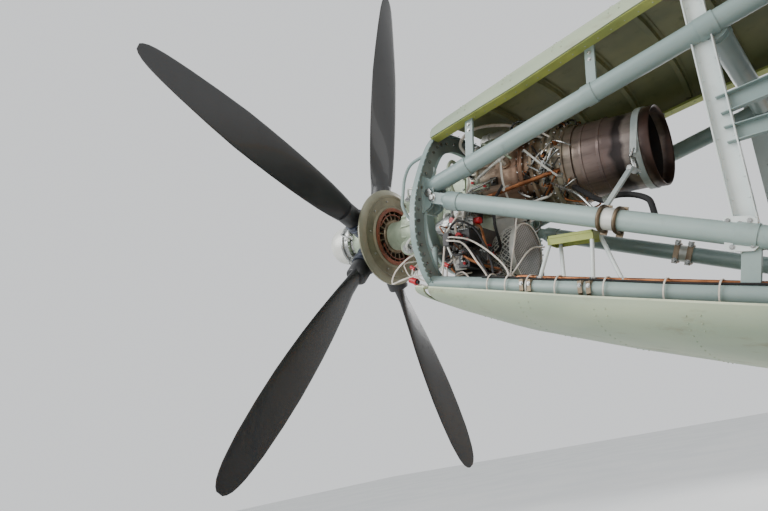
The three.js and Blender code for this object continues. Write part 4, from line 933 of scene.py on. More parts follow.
def makeExhaust():
    z = core["z"]
    bm = bmesh.new()
    addTurned(bm, [(0, -1.0997), (0.184, -1.0997), (0.19, -1.097), (0.1915, -1.09), (0.1895, -1.08),
        (0.1915, -0.966), (0.188, -0.955), (0.1855, -0.95), (0.1845, -0.88), (0.184, -0.80),
        (0.1875, -0.796), (0.1895, -0.790), (0.1915, -0.746), (0.1905, -0.740), (0.1875, -0.738),
        (0.1835, -0.740), (0.1805, -0.745), (0.1795, -0.79)], (0, 0, z), count=96, slot=0)
    inside = [(0.1795, -0.79), (0.176, -0.80), (0.172, -0.9), (0.15, -1.0), (0.1, -1.05), (0, -1.06)]
    addTurned(bm, inside, (0, 0, z), count=96, slot=1)
    bmesh.ops.remove_doubles(bm, verts=bm.verts, dist=1e-5)
    addTurned(bm, [(0, -1.07), (0.10, -1.06), (0.09, -0.99), (0.055, -0.93), (0.02, -0.9), (0, -0.895)],
        (0, 0, z), count=48, slot=0)
    for k in range(exhaust["vanes"]):
        turn = Matrix.Rotation(math.radians(360 / exhaust["vanes"] * k + 12), 3, "Y")
        addPlate(bm, [Vector((0, 0, z)) + turn @ Vector(p)
            for p in ((-0.003, -1.04, 0.06), (-0.003, -1.04, 0.155), (-0.003, -0.97, 0.168),
            (-0.003, -0.97, 0.07))], turn @ Vector((0.006, 0, 0)), 1)
    for y, reach in ((-1.055, 0.194), (-0.97, 0.194)):
        addTurned(bm, [(reach - 0.006, y - 0.009), (reach, y - 0.006), (reach, y + 0.006),
            (reach - 0.006, y + 0.009), (reach - 0.006, y - 0.009)], (0, 0, z), count=96, slot=0)
    finishPiece(bm, "exhaustPipe", "airframe", ["heat", "soot"], ["engine_exhaust"],
        sharp=35)
    strap = bmesh.new()
    y = exhaust["strapY"]
    addTurned(strap, [(0.1905, y - 0.016), (0.1945, y - 0.016), (0.1945, y + 0.016),
        (0.1905, y + 0.016), (0.1905, y - 0.016)], (0, 0, z), count=96, slot=0)
    addPlank(strap, (0.192, y, 0.21), (0.205, y - 0.008, 0.10), 0.03, 0.006, (0, 1, 0), 0)
    addBar(strap, (0.204, y - 0.005, 0.125), (0.207, y - 0.02, 0.085), 0.008, 12, 1)
    addTube(strap, [(0.207, y - 0.02, 0.09), (0.212, y - 0.01, 0.072), (0.216, y, 0.03),
        (0.22, y + 0.004, 0.01)], 0.014, 16, 1, radii=[0.006, 0.0145, 0.0145, 0.006])
    addBar(strap, (0.22, y + 0.004, 0.016), (0.235, y + 0.015, -0.012), 0.006, 12, 1)
    addPlank(strap, (0.225, y + 0.01, 0.002), (0.35, y + 0.022, -0.012), 0.034, 0.008, (0, 1, 0), 0)
    addPlank(strap, (0.345, y + 0.025, -0.006), (0.452, y - 0.075, -0.205), 0.03, 0.01, (0, 1, 0.5), 0)
    addBar(strap, (0.335, y + 0.022, -0.011), (0.365, y + 0.022, -0.011), 0.012, 6, 1)
    addBar(strap, (0.44, y - 0.075, -0.2), (0.475, y - 0.075, -0.2), 0.011, 6, 1)
    finishPiece(strap, "exhaustStrap", "airframe", ["strapGrey", "steel"], sharp=35, bevel=0.001)


# Accessories behind the gearbox: generator, pumps, fuel control, filters, relay boxes and their pipes.

def addPot(bm, x, z, radius, front, back, slot, trim, bands=()):
    rows = [(0, front), (radius * 0.62, front), (radius * 0.66, front + 0.004),
        (radius * 0.7, front + 0.012), (radius * 0.97, front + 0.06), (radius, front + 0.072)]
    for place in bands:
        rows += [(radius, place - 0.006), (radius * 1.06, place - 0.004),
            (radius * 1.06, place + 0.004), (radius, place + 0.006)]
    rows += [(radius, back - 0.05), (radius * 0.96, back - 0.035), (radius * 0.72, back - 0.008),
        (radius * 0.66, back), (0, back)]
    addTurned(bm, rows, (x, 0, z), count=48, slot=slot)
    addBar(bm, (x, back - 0.004, z), (x, back + 0.012, z), radius * 0.34, 24, trim)
    addBar(bm, (x, back + 0.01, z), (x, back + 0.022, z), radius * 0.16, 6, trim)


def makeAccessories():
    bm = bmesh.new()
    addBox(bm, (-0.268, -1.738, -0.358), (0.268, -1.692, -0.063), 0)
    addBox(bm, (-0.118, -1.80, -0.20), (0.118, -1.7015, -0.062), 0)
    for s in (1, -1):
        addPot(bm, s * 0.15, -0.2, 0.083, -1.868, -1.64, 0, 1, (-1.78, -1.71))
        addPot(bm, s * 0.255, -0.08, 0.06, -1.838, -1.6, 1, 2, (-1.74, -1.66))
    addPot(bm, 0, -0.28, 0.088, -1.868, -1.692, 0, 1, (-1.78,))
    addBox(bm, (0.23, -1.69, -0.2), (0.33, -1.60, -0.13), 3)
    addBox(bm, (0.245, -1.68, -0.13), (0.315, -1.62, -0.122), 1)
    addBox(bm, (0.19, -1.69, -0.32), (0.30, -1.625, -0.225), 3)
    addBox(bm, (0.1, -1.64, -0.28), (0.19, -1.585, -0.2), 1)
    addBox(bm, (-0.33, -1.69, -0.22), (-0.22, -1.61, -0.12), 3)
    addBox(bm, (0.16, -1.70, -0.07), (0.26, -1.62, 0.01), 2)
    addBox(bm, (0.175, -1.62, -0.055), (0.245, -1.61, -0.005), 3)
    for x, y, z, dx, dy, dz, size in (
            (0.315, -1.655, -0.165, 1, 0.2, 0, 0.014), (0.315, -1.62, -0.18, 1, 0.3, -0.2, 0.012),
            (0.29, -1.65, -0.25, 1, 0, 0, 0.014), (0.29, -1.65, -0.295, 1, 0, -0.3, 0.012),
            (0.30, -1.7, -0.08, 1, 0, 0.2, 0.015), (0.255, -1.66, 0.0, 0.4, 0, 1, 0.012),
            (0.145, -1.59, -0.24, 0.2, 1, 0, 0.014), (-0.31, -1.66, -0.17, -1, 0, 0, 0.014),
    ):
        addFitting(bm, (x, y, z), (dx, dy, dz), size, 1, 4)
    for x, y, z, dx, dy, dz, size in ((0.335, -1.655, -0.165, 1, 0.2, 0, 0.017),
            (0.318, -1.7, -0.075, 1, 0, 0.2, 0.016), (0.262, -1.60, -0.08, 0, 1, 0, 0.018),
            (0.15, -1.612, -0.2, 0, 1, 0, 0.015)):
        facing = Vector((dx, dy, dz)).normalized()
        addBar(bm, Vector((x, y, z)), Vector((x, y, z)) + facing * size * 1.5, size, 20, 4)
    pipes = (
        # path, radius, slot
        ([(0.34, -1.65, -0.166), (0.40, -1.62, -0.19), (0.41, -1.56, -0.25), (0.34, -1.53, -0.3),
            (0.2, -1.58, -0.3), (0.12, -1.62, -0.26)], 0.009, 2),
        ([(0.31, -1.65, -0.25), (0.38, -1.60, -0.28), (0.37, -1.52, -0.33), (0.22, -1.5, -0.34),
            (0.08, -1.6, -0.33), (0.02, -1.7, -0.3)], 0.008, 5),
        ([(0.32, -1.7, -0.07), (0.38, -1.66, -0.02), (0.37, -1.58, 0.03), (0.3, -1.54, 0.06),
            (0.22, -1.54, 0.09)], 0.008, 1),
        ([(0.265, -1.655, 0.02), (0.29, -1.62, 0.07), (0.27, -1.55, 0.10), (0.215, -1.5, 0.14)], 0.007,
            1),
        ([(0.15, -1.565, -0.24), (0.2, -1.50, -0.22), (0.28, -1.48, -0.12), (0.27, -1.48, 0.0),
            (0.21, -1.46, 0.1)], 0.008, 2),
        ([(0.27, -1.60, -0.1), (0.33, -1.53, -0.14), (0.35, -1.5, -0.22), (0.28, -1.52, -0.3),
            (0.2, -1.6, -0.29)], 0.007, 5),
        ([(-0.33, -1.66, -0.17), (-0.39, -1.62, -0.2), (-0.37, -1.56, -0.3), (-0.2, -1.6, -0.32)],
            0.009, 2),
        ([(-0.26, -1.6, -0.08), (-0.33, -1.54, -0.02), (-0.28, -1.5, 0.08), (-0.2, -1.5, 0.13)], 0.008,
            1),
    )
    for path, size, slot in pipes:
        addTube(bm, smoothPath(path, 28), size, 10, slot)
    finishPiece(bm, "engineAccessories", "airframe",
        ["darkMetal", "steel", "blackPlastic", "blackPlastic", "capRed", "copper"],
        ["engine_accessories"], sharp=32, bevel=0.0015)
    points = []
    for s in (1, -1):
        for x, z, reach in ((s * 0.15, -0.2, 0.066), (s * 0.255, -0.08, 0.047)):
            points += boltCircle((x, -1.66 if reach > 0.05 else -1.62, z), (0, 1, 0), reach, 8)
    points += [((x, -1.692, z), (0, 1, 0)) for x in (-0.25, 0.25) for z in (-0.34, -0.22)]
    addStuds("accessoryBolts", "airframe", points, "steel", 0.0055, 0.008)


# The dense plumbing of the engine: short pipes, plugs and blocks strewn over the castings by a fixed seed.

plumbing = {"seed": 11, "lower": 84, "front": 46, "blocks": 44, "flange": 40, "coreReach": 0.19}
pipeTones = ("steel", "silver", "wireWhite", "copper", "blackPlastic", "darkMetal", "capRed", "castGreen")
pots = ((0.15, -0.2, 0.083, -1.80, -1.66), (0.255, -0.08, 0.06, -1.78, -1.62),
    (0, -0.28, 0.088, -1.80, -1.70), (0.22, -0.26, 0.05, -1.72, -1.66),
    (-0.15, -0.2, 0.083, -1.80, -1.66), (-0.255, -0.08, 0.06, -1.78, -1.62))


def potAnchor(rng):
    x, z, radius, front, back = rng.choice(pots)
    angle = rng.uniform(-math.pi, math.pi)
    return Vector((x + math.cos(angle) * radius, rng.uniform(front, back), z + math.sin(angle) * radius))


def coreAnchor(rng, low, high):
    angle, reach = math.radians(rng.uniform(-180, 180)), plumbing["coreReach"]
    return Vector((math.cos(angle) * reach, rng.uniform(low, high), core["z"] + math.sin(angle) * reach))


def addPipe(bm, rng, start, end, centre, push, size, slot):
    out = (start + end) / 2 - centre
    out.y *= 0.3
    out = out.normalized()
    sway = Vector((0, rng.uniform(-0.03, 0.03), 0))
    path = [start - (start - centre).normalized() * 0.012, start + out * push * 0.7 + sway * 0.4,
        (start + end) / 2 + out * push + sway, end + out * push * 0.7,
        end - (end - centre).normalized() * 0.012]
    addTube(bm, smoothPath(path, 20), size, 8, slot)
    for point in (start, end):
        facing = (point - centre).normalized()
        addBar(bm, point - facing * 0.01, point + facing * size * 2.2, size * 1.9, 6,
            rng.choice((0, 0, 1, 3)))


def makePlumbing():
    rng = random.Random(plumbing["seed"])
    bm = bmesh.new()
    middle = Vector((0, -1.7, -0.14))
    for _ in range(plumbing["lower"]):
        start, end = potAnchor(rng), potAnchor(rng)
        if (start - end).length > 0.34 or (start - end).length < 0.06:
            continue
        addPipe(bm, rng, start, end, middle, rng.uniform(0.03, 0.10),
            rng.choice((0.0035, 0.005, 0.0065, 0.008)), rng.choice((0, 0, 1, 1, 2, 2, 3, 4)))
    axis = Vector((0, -1.57, core["z"]))
    for _ in range(plumbing["front"]):
        start = coreAnchor(rng, -1.69, -1.48)
        end = coreAnchor(rng, -1.69, -1.40)
        if (start - end).length > 0.26 or (start - end).length < 0.05:
            continue
        addPipe(bm, rng, start, end, axis, rng.uniform(0.02, 0.055),
            rng.choice((0.0035, 0.005, 0.007)), rng.choice((0, 1, 1, 2, 3, 4)))
    for k in range(plumbing["blocks"]):
        if k % 2:
            place = potAnchor(rng)
            facing = (place - middle).normalized()
        else:
            place = coreAnchor(rng, -1.68, -1.47)
            facing = Vector((place.x, 0, place.z - core["z"])).normalized()
        size = rng.uniform(0.012, 0.030)
        tone = rng.choice((0, 1, 4, 5, 7, 7))
        if rng.random() < 0.45:
            half = Vector((size, size * rng.uniform(0.8, 1.8), size * rng.uniform(0.7, 1.2)))
            turn = facing.to_track_quat("X", "Z").to_matrix()
            addBox(bm, place - half, place + half, tone, turn=turn)
            addBar(bm, place + facing * size, place + facing * (size + 0.016), size * 0.45, 6, 0)
        else:
            addBar(bm, place - facing * 0.02, place + facing * size, size * 0.8, 20, tone)
            addBar(bm, place + facing * size, place + facing * (size + 0.012), size * 0.55, 6, 0)
            cap = 6 if rng.random() < 0.22 else 0
            addBar(bm, place + facing * (size + 0.012), place + facing * (size + 0.026), size * 0.4,
                14, cap)
    for k in range(plumbing["flange"]):
        y = rng.choice((-1.33, -1.25, -1.23, -1.17))
        angle = math.radians(rng.choice((rng.uniform(-60, 20), rng.uniform(60, 130),
            rng.uniform(-180, 180))))
        out = radial(angle)
        place = Vector((0, y, core["z"])) + out * 0.203
        addBar(bm, place, place + out * 0.022, 0.011, 6, rng.choice((0, 3, 5)))
        turnTo = angle + rng.uniform(0.15, 0.5) * rng.choice((-1, 1))
        far = radial(turnTo)
        end = Vector((0, y + rng.choice((-0.06, 0.05, 0.08)), core["z"])) + far * 0.203
        path = [place + out * 0.01, place + out * 0.03, (place + end) / 2 + (out + far) * 0.016,
            end + far * 0.02, end]
        addTube(bm, smoothPath(path, 14), rng.choice((0.0035, 0.005)), 8, rng.choice((0, 3, 5)))
    finishPiece(bm, "enginePlumbing", "airframe", list(pipeTones), sharp=36)


# Starter, igniter boxes and valves that sit on top of the core below the cowl.
def makeTopGear():
    bm = bmesh.new()
    for x, y0, y1, z, radius, tone in ((0.06, -1.66, -1.50, 0.41, 0.045, 1),
            (-0.07, -1.62, -1.42, 0.415, 0.04, 0), (0.145, -1.60, -1.47, 0.345, 0.035, 2),
            (0.18, -1.67, -1.60, 0.30, 0.04, 1), (-0.16, -1.66, -1.50, 0.34, 0.045, 2)):
        addTurned(bm, [(0, y0), (radius * 0.6, y0), (radius, y0 + 0.02), (radius, y0 + 0.05),
            (radius * 1.08, y0 + 0.054), (radius * 1.08, y0 + 0.066), (radius, y0 + 0.07),
            (radius, y1 - 0.02), (radius * 0.7, y1), (0, y1)], (x, 0, z), count=36, slot=tone)
    addBox(bm, (-0.03, -1.44, 0.37), (0.06, -1.34, 0.425), 3)
    addBox(bm, (0.08, -1.42, 0.345), (0.15, -1.36, 0.39), 1)
    loops = (
        ([(0.19, -1.66, 0.29), (0.26, -1.68, 0.36), (0.24, -1.60, 0.43), (0.12, -1.5, 0.46),
            (0.02, -1.40, 0.44)], 0.009, 4),
        ([(0.06, -1.50, 0.42), (0.12, -1.42, 0.45), (0.15, -1.33, 0.42), (0.16, -1.29, 0.37),
            (0.15, -1.27, 0.33)], 0.007, 0),
        ([(0.03, -1.34, 0.40), (0.06, -1.28, 0.44), (0.08, -1.22, 0.43), (0.08, -1.18, 0.38)], 0.006, 3),
        ([(0.17, -1.60, 0.32), (0.24, -1.55, 0.33), (0.25, -1.47, 0.28), (0.22, -1.40, 0.22)], 0.007, 2),
        ([(0.11, -1.39, 0.39), (0.17, -1.34, 0.40), (0.2, -1.26, 0.34), (0.19, -1.20, 0.29)], 0.005, 4),
        ([(-0.07, -1.44, 0.42), (-0.1, -1.36, 0.46), (-0.12, -1.27, 0.42), (-0.11, -1.22, 0.36)], 0.008,
            0),
        ([(0.22, -1.69, 0.20), (0.30, -1.71, 0.26), (0.33, -1.72, 0.18), (0.29, -1.70, 0.06),
            (0.26, -1.68, -0.02)], 0.010, 2),
    )
    for path, size, tone in loops:
        addTube(bm, smoothPath(path, 28), size, 10, tone)
    finishPiece(bm, "engineTopGear", "airframe",
        ["steel", "silver", "castGreen", "blackPlastic", "wireWhite"], sharp=34, bevel=0.001)


# Wiring left hanging beside the accessories, as pairs of lengthwise and upward places at one distance out.
looms = (
    # distance out, radius, finish, (along, up) places
    (0.420, 0.0045, 0, ((-1.70, -0.17), (-1.645, -0.182), (-1.54, -0.214), (-1.431, -0.289),
        (-1.356, -0.374), (-1.324, -0.448))),
    (0.450, 0.0045, 0, ((-1.69, -0.19), (-1.567, -0.229), (-1.481, -0.334), (-1.441, -0.401),
        (-1.412, -0.46))),
    (0.350, 0.0055, 0, ((-1.54, 0.19), (-1.568, 0.156), (-1.583, 0.09), (-1.624, -0.013),
        (-1.69, -0.106), (-1.72, -0.168))),
    (0.300, 0.004, 0, ((-1.355, -0.1), (-1.36, -0.189), (-1.37, -0.271), (-1.39, -0.327),
        (-1.40, -0.44))),
    (0.350, 0.004, 0, ((-1.285, -0.281), (-1.338, -0.378), (-1.383, -0.42), (-1.40, -0.46))),
    (0.450, 0.004, 0, ((-1.644, -0.377), (-1.573, -0.371), (-1.519, -0.416), (-1.477, -0.458))),
    (0.400, 0.006, 1, ((-1.70, -0.12), (-1.62, -0.10), (-1.53, -0.15), (-1.47, -0.24), (-1.44, -0.35),
        (-1.42, -0.455))),
    (0.200, 0.004, 0, ((-1.95, -0.21), (-2.05, -0.30), (-1.99, -0.345), (-1.85, -0.375),
        (-1.73, -0.405))),
    (0.280, 0.0035, 0, ((-1.93, -0.19), (-1.985, -0.30), (-1.93, -0.36), (-1.80, -0.38), (-1.74, -0.42))),
    (0.350, 0.004, 0, ((-1.745, -0.396), (-1.68, -0.40), (-1.62, -0.415), (-1.55, -0.43),
        (-1.50, -0.446))),
    (0.320, 0.0042, 0, ((-1.997, -0.21), (-2.055, -0.258), (-2.107, -0.308), (-2.131, -0.357),
        (-2.058, -0.348), (-1.98, -0.334), (-1.911, -0.336), (-1.833, -0.361), (-1.75, -0.386),
        (-1.64, -0.413))),
    (0.280, 0.0036, 0, ((-2.086, -0.24), (-2.065, -0.283), (-2.024, -0.327), (-1.99, -0.364),
        (-1.9, -0.392), (-1.8, -0.418), (-1.7, -0.44))),
    (0.340, 0.0042, 0, ((-1.957, -0.4), (-1.924, -0.43), (-1.883, -0.408), (-1.849, -0.379),
        (-1.785, -0.381), (-1.692, -0.406), (-1.603, -0.436))),
    (0.380, 0.006, 1, ((-1.70, -0.24), (-1.64, -0.27), (-1.56, -0.26), (-1.50, -0.33), (-1.44, -0.45))),
)


def makeLooms():
    bm = bmesh.new()
    for reach, size, slot, places in looms:
        points = [Vector((reach, y, z)) for y, z in places]
        points[0].x -= 0.05 if reach > 0.34 else 0.03
        points[-1].x += 0.02
        for i, point in enumerate(points[1:-1]):
            point.x += 0.008 * math.sin(2.3 * i + reach * 40)
        points.insert(0, points[0] + Vector((-0.13, 0.01, 0.03)))
        if points[-1].y > -1.9:
            points.append(Vector((0.46, points[-1].y + 0.03, min(points[-1].z - 0.01, -0.455))))
        addTube(bm, smoothPath(points, 36), size, 8, slot)
    for x, y, z in ((0.44, -1.41, -0.456), (0.43, -1.33, -0.452), (0.46, -1.475, -0.455)):
        addBar(bm, (x - 0.03, y - 0.03, z + 0.004), (x + 0.02, y + 0.03, z - 0.006), 0.013, 16, 1)
    for x, y, z, size in ((0.30, -1.992, -0.283, 0.014), (0.31, -1.981, -0.356, 0.022),
            (0.27, -1.99, -0.37, 0.014), (0.33, -1.746, -0.302, 0.014)):
        addBar(bm, (x, y - size, z + 0.008), (x, y + size, z - 0.008), size * 0.8, 18, 2)
        addBar(bm, (x, y + size, z - 0.008), (x, y + size + 0.012, z - 0.012), size * 0.5, 12, 1)
    for path in (((0.18, -1.95, -0.15), (0.25, -1.96, -0.22), (0.29, -1.975, -0.27),
            (0.30, -1.99, -0.28), (0.315, -1.985, -0.31), (0.322, -1.98, -0.334)),
            ((0.20, -1.66, -0.20), (0.27, -1.70, -0.24), (0.32, -1.735, -0.29), (0.33, -1.746, -0.30),
            (0.37, -1.72, -0.38), (0.46, -1.70, -0.462))):
        addTube(bm, smoothPath(path, 16), 0.004, 8, 0)
    addBox(bm, (0.36, -1.715, -0.215), (0.40, -1.68, -0.15), 1)
    finishPiece(bm, "engineWires", "airframe", ["wireWhite", "blackPlastic", "capRed"], sharp=40)


# Intake: a screen of wire mesh drawn over a cone, on a throat under the core.

intake = {"z": -0.23, "around": 34, "wire": 0.0022}


# Woven wire: bright strands over dark gaps, drawn by two slanted waves. The dark gap colour is painted
# shade for the dark duct seen through the mesh.
def wovenMaterial():
    material, tree, shader = startMaterial("wovenWire", 0.35, 0.6)
    apart = splitAxes(tree, levelCoordinates(tree))
    strands = []
    for sign in (1, -1):
        slant = calc(tree, "MULTIPLY_ADD", apart["X"], 330.0 * sign,
            calc(tree, "MULTIPLY_ADD", apart["Z"], 330.0,
            calc(tree, "MULTIPLY", apart["Y"], 260.0 * sign)))
        strands.append(ramp(tree, calc(tree, "SINE", slant), -0.1, 0.75))
    weave = calc(tree, "MAXIMUM", strands[0], strands[1])
    cloud = ramp(tree, noise(tree, levelCoordinates(tree), 6, 3), 0.35, 0.7)
    wire = blendColours(tree, cloud, colour(118, 122, 120), colour(166, 169, 166))
    # Between the strands, the near-black colour is painted shade.
    base = blendColours(tree, weave, colour(40, 42, 42), wire)
    tree.links.new(base, shader.inputs["Base Color"])
    addBump(tree, shader, weave, 0.5, 0.002)
    return material


finishes["mesh"] = wovenMaterial()


def makeIntake():
    z = intake["z"]
    rows = ((0.058, -1.689), (0.062, -1.638), (0.120, -1.600), (0.147, -1.54), (0.156, -1.518),
        (0.162, -1.47))
    bm = bmesh.new()
    addTurned(bm, [(0, -1.6897), (0.055, -1.6897), (0.058, -1.64), (0.115, -1.602), (0.150, -1.523),
        (0.158, -1.472), (0.155, -1.455), (0, -1.452)], (0, 0, z), count=64, slot=1)
    addTurned(bm, [(0.152, -1.474), (0.162, -1.474), (0.1635, -1.47), (0.160, -1.4505),
        (0.152, -1.4505), (0.152, -1.474)], (0, 0, z), count=72, slot=0)
    addTurned(bm, [(0.05, -1.6897), (0.064, -1.6897), (0.066, -1.685), (0.066, -1.645), (0.063, -1.638),
        (0.05, -1.638), (0.05, -1.6897)], (0, 0, z), count=48, slot=0)
    for k in range(intake["around"]):
        angle = 2 * math.pi * k / intake["around"]
        for lean in (0.25, -0.25):
            path = []
            for i, (reach, y) in enumerate(rows):
                turn = angle + lean * i
                path.append((math.cos(turn) * reach, y, z + math.sin(turn) * reach))
            addTube(bm, path, intake["wire"], 5, 0)
    addBox(bm, (-0.058, -1.598, -0.2), (0.058, -1.492, -0.012), 0)
    addBox(bm, (-0.066, -1.60, -0.03), (0.066, -1.49, -0.012), 0)
    finishPiece(bm, "airIntake", "airframe", ["silver", "mesh"], ["air_intake_duct"], sharp=40)


makeNoseRing()
makeGearbox()
makeCore()
makeExhaust()
makeAccessories()
makePlumbing()
makeTopGear()
makeLooms()
makeIntake()
print("engine made")


# Side trusses: V tubes from the ring's brackets, longeron, channel post with corner plate, beams and posts.
# Pads are the low and high corners of the feet on the firewall.
truss = {
    "apexY": -1.705, "tube": 0.042, "longeron": 0.038, "clampYs": (-0.852, -0.790), "rivets": 14,
    "postTop": (0.502, -0.452, 0.64), "postFoot": (0.502, -0.350, -0.45),
    "pads": (((0.455, -0.016, 0.44), (0.555, -0.0003, 0.60)),
        ((0.455, -0.016, -0.57), (0.555, -0.0003, -0.41)),
        ((0.45, -0.016, -0.70), (0.55, -0.0003, -0.59))),
}


def upperPoint(s, y):
    share = (y - truss["apexY"]) / (-0.03 - truss["apexY"])
    return Vector((s * (0.53 - 0.03 * share), y, 0.052 + 0.468 * share))


def lowerPoint(s, y):
    share = (y - truss["apexY"]) / (-0.03 - truss["apexY"])
    return Vector((s * (0.53 - 0.03 * share), y, 0.008 - 0.498 * share))


def longeronPoint(s, y):
    share = (y + 1.68) / 1.65
    return Vector((s * (0.497 + 0.003 * share), y, -0.421 - 0.224 * share))


def postEnds(s):
    return [Vector((s * x, y, z)) for x, y, z in (truss["postTop"], truss["postFoot"])]


def addChannel(bm, start, end, wide, deep, skin, openTo, slot):
    start, end, out = Vector(start), Vector(end), Vector(openTo)
    along = (end - start).normalized()
    across_ = along.cross(out).normalized()
    outline = ((-wide / 2, -deep / 2), (wide / 2, -deep / 2), (wide / 2, deep / 2),
        (wide / 2 - skin, deep / 2), (wide / 2 - skin, -deep / 2 + skin),
        (-wide / 2 + skin, -deep / 2 + skin), (-wide / 2 + skin, deep / 2), (-wide / 2, deep / 2))
    sweep(bm, [[p + across_ * a + out * b for a, b in outline] for p in (start, end)], slot)


def addSleeve(bm, point, along, radius, half, slot):
    along = along.normalized()
    addTurned(bm, [(radius, -half), (radius + 0.004, -half), (radius + 0.004, half), (radius, half),
        (radius, -half)], point, along, 40, slot)


def addTrussTubes(bm, s, up, down):
    size = truss["tube"]
    addTube(bm, [upperPoint(s, y) for y in (-1.702, -1.69, -1.64, -0.06, -0.03)], size, 36, 0,
        radii=[size - 0.012, size - 0.006, size, size, size])
    addTube(bm, [lowerPoint(s, y) for y in (-1.612, -1.60, -1.585, -0.06, -0.03)], size, 36, 0,
        radii=[size - 0.014, size - 0.004, size, size, size])
    addTube(bm, [longeronPoint(s, y) for y in (-1.71, -1.63, -0.03)], truss["longeron"], 32, 0)
    fork = lowerPoint(s, -1.605)
    for reach in (0.03, -0.03):
        cheek = fork + Vector((s * reach, 0, 0))
        addPlank(bm, cheek - down * 0.075, cheek + down * 0.06, 0.056, 0.012, (0, 0.3, 1), 0)
        addBolt(bm, cheek - down * 0.05 + Vector((s * (0.006 if reach > 0 else -0.006), 0, 0)),
            (s if reach > 0 else -s, 0, 0), 0.014, 0.014, 1)
    addBar(bm, fork - down * 0.05 - Vector((0.035, 0, 0)),
        fork - down * 0.05 + Vector((0.035, 0, 0)), 0.011, 16, 1)
    addPlank(bm, fork - down * 0.095, fork - down * 0.02, 0.036, 0.044, (0, 0.3, 1), 0)
    for point, along, radius in ((upperPoint(s, -0.405), up, size), (lowerPoint(s, -0.36), down, size),
            (lowerPoint(s, -1.55), down, size)):
        addSleeve(bm, point, along, radius, 0.035, 0)


# Feet on the firewall, the channel post with its plates, and the struts to the upper tube.

def addTrussPost(bm, s, up):
    for low, high in truss["pads"]:
        addBox(bm, *sided(s, low, high), 0)
        middle = (low[2] + high[2]) / 2
        addBox(bm, *sided(s, (0.478, -0.08, middle - 0.045), (0.522, -0.012, middle + 0.045)), 0)
        for x in (0.468, 0.54):
            for z in (low[2] + 0.02, high[2] - 0.02):
                addBolt(bm, (s * x, -0.016, z), (0, -1, 0), 0.009, 0.009, 1)
    top, foot = postEnds(s)
    addChannel(bm, top, foot, 0.075, 0.034, 0.005, (s, 0, 0), 2)
    corner = [(-0.425, -0.318), (-0.338, -0.330), (-0.322, -0.345), (-0.330, -0.440), (-0.345, -0.452),
        (-0.418, -0.445), (-0.432, -0.430)]
    addPlate(bm, [(s * 0.519, y, z) for y, z in corner], (s * 0.008, 0, 0), 2)
    triangle = [(-0.398, -0.372), (-0.362, -0.385), (-0.395, -0.41)]
    addPlate(bm, [(s * 0.5265, y, z) for y, z in triangle], (s * 0.002, 0, 0), 3)
    for y, z in ((-0.412, -0.336), (-0.345, -0.346), (-0.408, -0.43), (-0.345, -0.434), (-0.376, -0.352)):
        addBolt(bm, (s * 0.527, y, z), (s, 0, 0), 0.0065, 0.006, 1)
    addPlank(bm, (s * 0.5, -0.352, -0.43), (s * 0.5, -0.375, -0.6), 0.06, 0.026, (0, 1, 0), 0)
    addChannel(bm, (s * 0.5, -0.40, 0.095), (s * 0.5, -0.0005, 0.165), 0.07, 0.03, 0.004, (s, 0, 0), 0)
    addChannel(bm, (s * 0.5, -0.388, -0.02), (s * 0.5, -0.0005, 0.01), 0.062, 0.03, 0.004, (s, 0, 0), 0)
    for y, low, high in ((-1.48, 0.1, 0.376), (-0.86, 0.27, 0.521)):
        addPlank(bm, (s * 0.485, y, low), (s * 0.475, y, high), 0.042, 0.014, (0, 1, 0), 0)
        addSleeve(bm, upperPoint(s, y), up, truss["tube"], 0.022, 0)
        for z in (high - 0.03, high - 0.06):
            addBolt(bm, (s * 0.484, y, z), (s, 0, 0), 0.006, 0.006, 1)


# Two bronze clamps round the lower tube and the silver saddle between them.

def addTrussClamps(bm, s, down):
    for y in truss["clampYs"]:
        middle = lowerPoint(s, y)
        inward = Vector((-s, 0, 0))
        high = inward.cross(down).normalized()
        high = high if high.z > 0 else -high
        path = [middle + inward * 0.05 + high * 0.047]
        for i in range(13):
            angle = math.pi * (0.5 - i / 12)
            path.append(middle - inward * math.cos(angle) * 0.0475 + high * math.sin(angle) * 0.0475)
        path.append(middle + inward * 0.05 - high * 0.047)
        addTube(bm, path, 0.0085, 12, 4)
        addPlate(bm, [middle + inward * 0.04 + high * a + down * b
            for a, b in ((-0.062, -0.014), (0.062, -0.014), (0.062, 0.014), (-0.062, 0.014))],
            inward * 0.006, 4)
        for a in (-0.047, 0.047):
            addBolt(bm, middle + inward * 0.046 + high * a, inward, 0.01, 0.012, 1)
    saddle = (lowerPoint(s, truss["clampYs"][0]) + lowerPoint(s, truss["clampYs"][1])) / 2
    addTurned(bm, [(0.042, -0.022), (0.045, -0.022), (0.045, 0.022), (0.042, 0.022),
        (0.042, -0.022)], saddle, down, 40, 5)


def makeTruss(name, s):
    bm = bmesh.new()
    up = (upperPoint(s, -0.03) - upperPoint(s, -1.5)).normalized()
    down = (lowerPoint(s, -0.03) - lowerPoint(s, -1.5)).normalized()
    addTrussTubes(bm, s, up, down)
    addTrussPost(bm, s, up)
    addTrussClamps(bm, s, down)
    if s > 0:
        addStand(bm)
        addBar(bm, (0.49, -0.385, 0.405), (-0.49, -0.385, 0.405), 0.0455, 40, 0)
        for x in (0.44, -0.44):
            addSleeve(bm, Vector((x, -0.385, 0.405)), Vector((1, 0, 0)), 0.0455, 0.02, 0)
    finishPiece(bm, "truss_" + name + "_frame", "airframe",
        ["primer", "steel", "white", "blackPlastic", "clampBronze", "silver", "greenPrimer"],
        ["truss_" + name], sharp=35, bevel=0.0012)
    top, foot = postEnds(s)
    points = []
    for i in range(truss["rivets"]):
        middle = top.lerp(foot, (i + 0.5) / truss["rivets"])
        points.append((middle + Vector((-s * 0.012, -0.026, 0)), (s, 0, 0)))
        points.append((middle + Vector((-s * 0.012, 0.026, 0)), (s, 0, 0)))
    addStuds("postRivets_" + name, "airframe", points, "white", 0.004, 0.003, corners=10, taper=0.6)


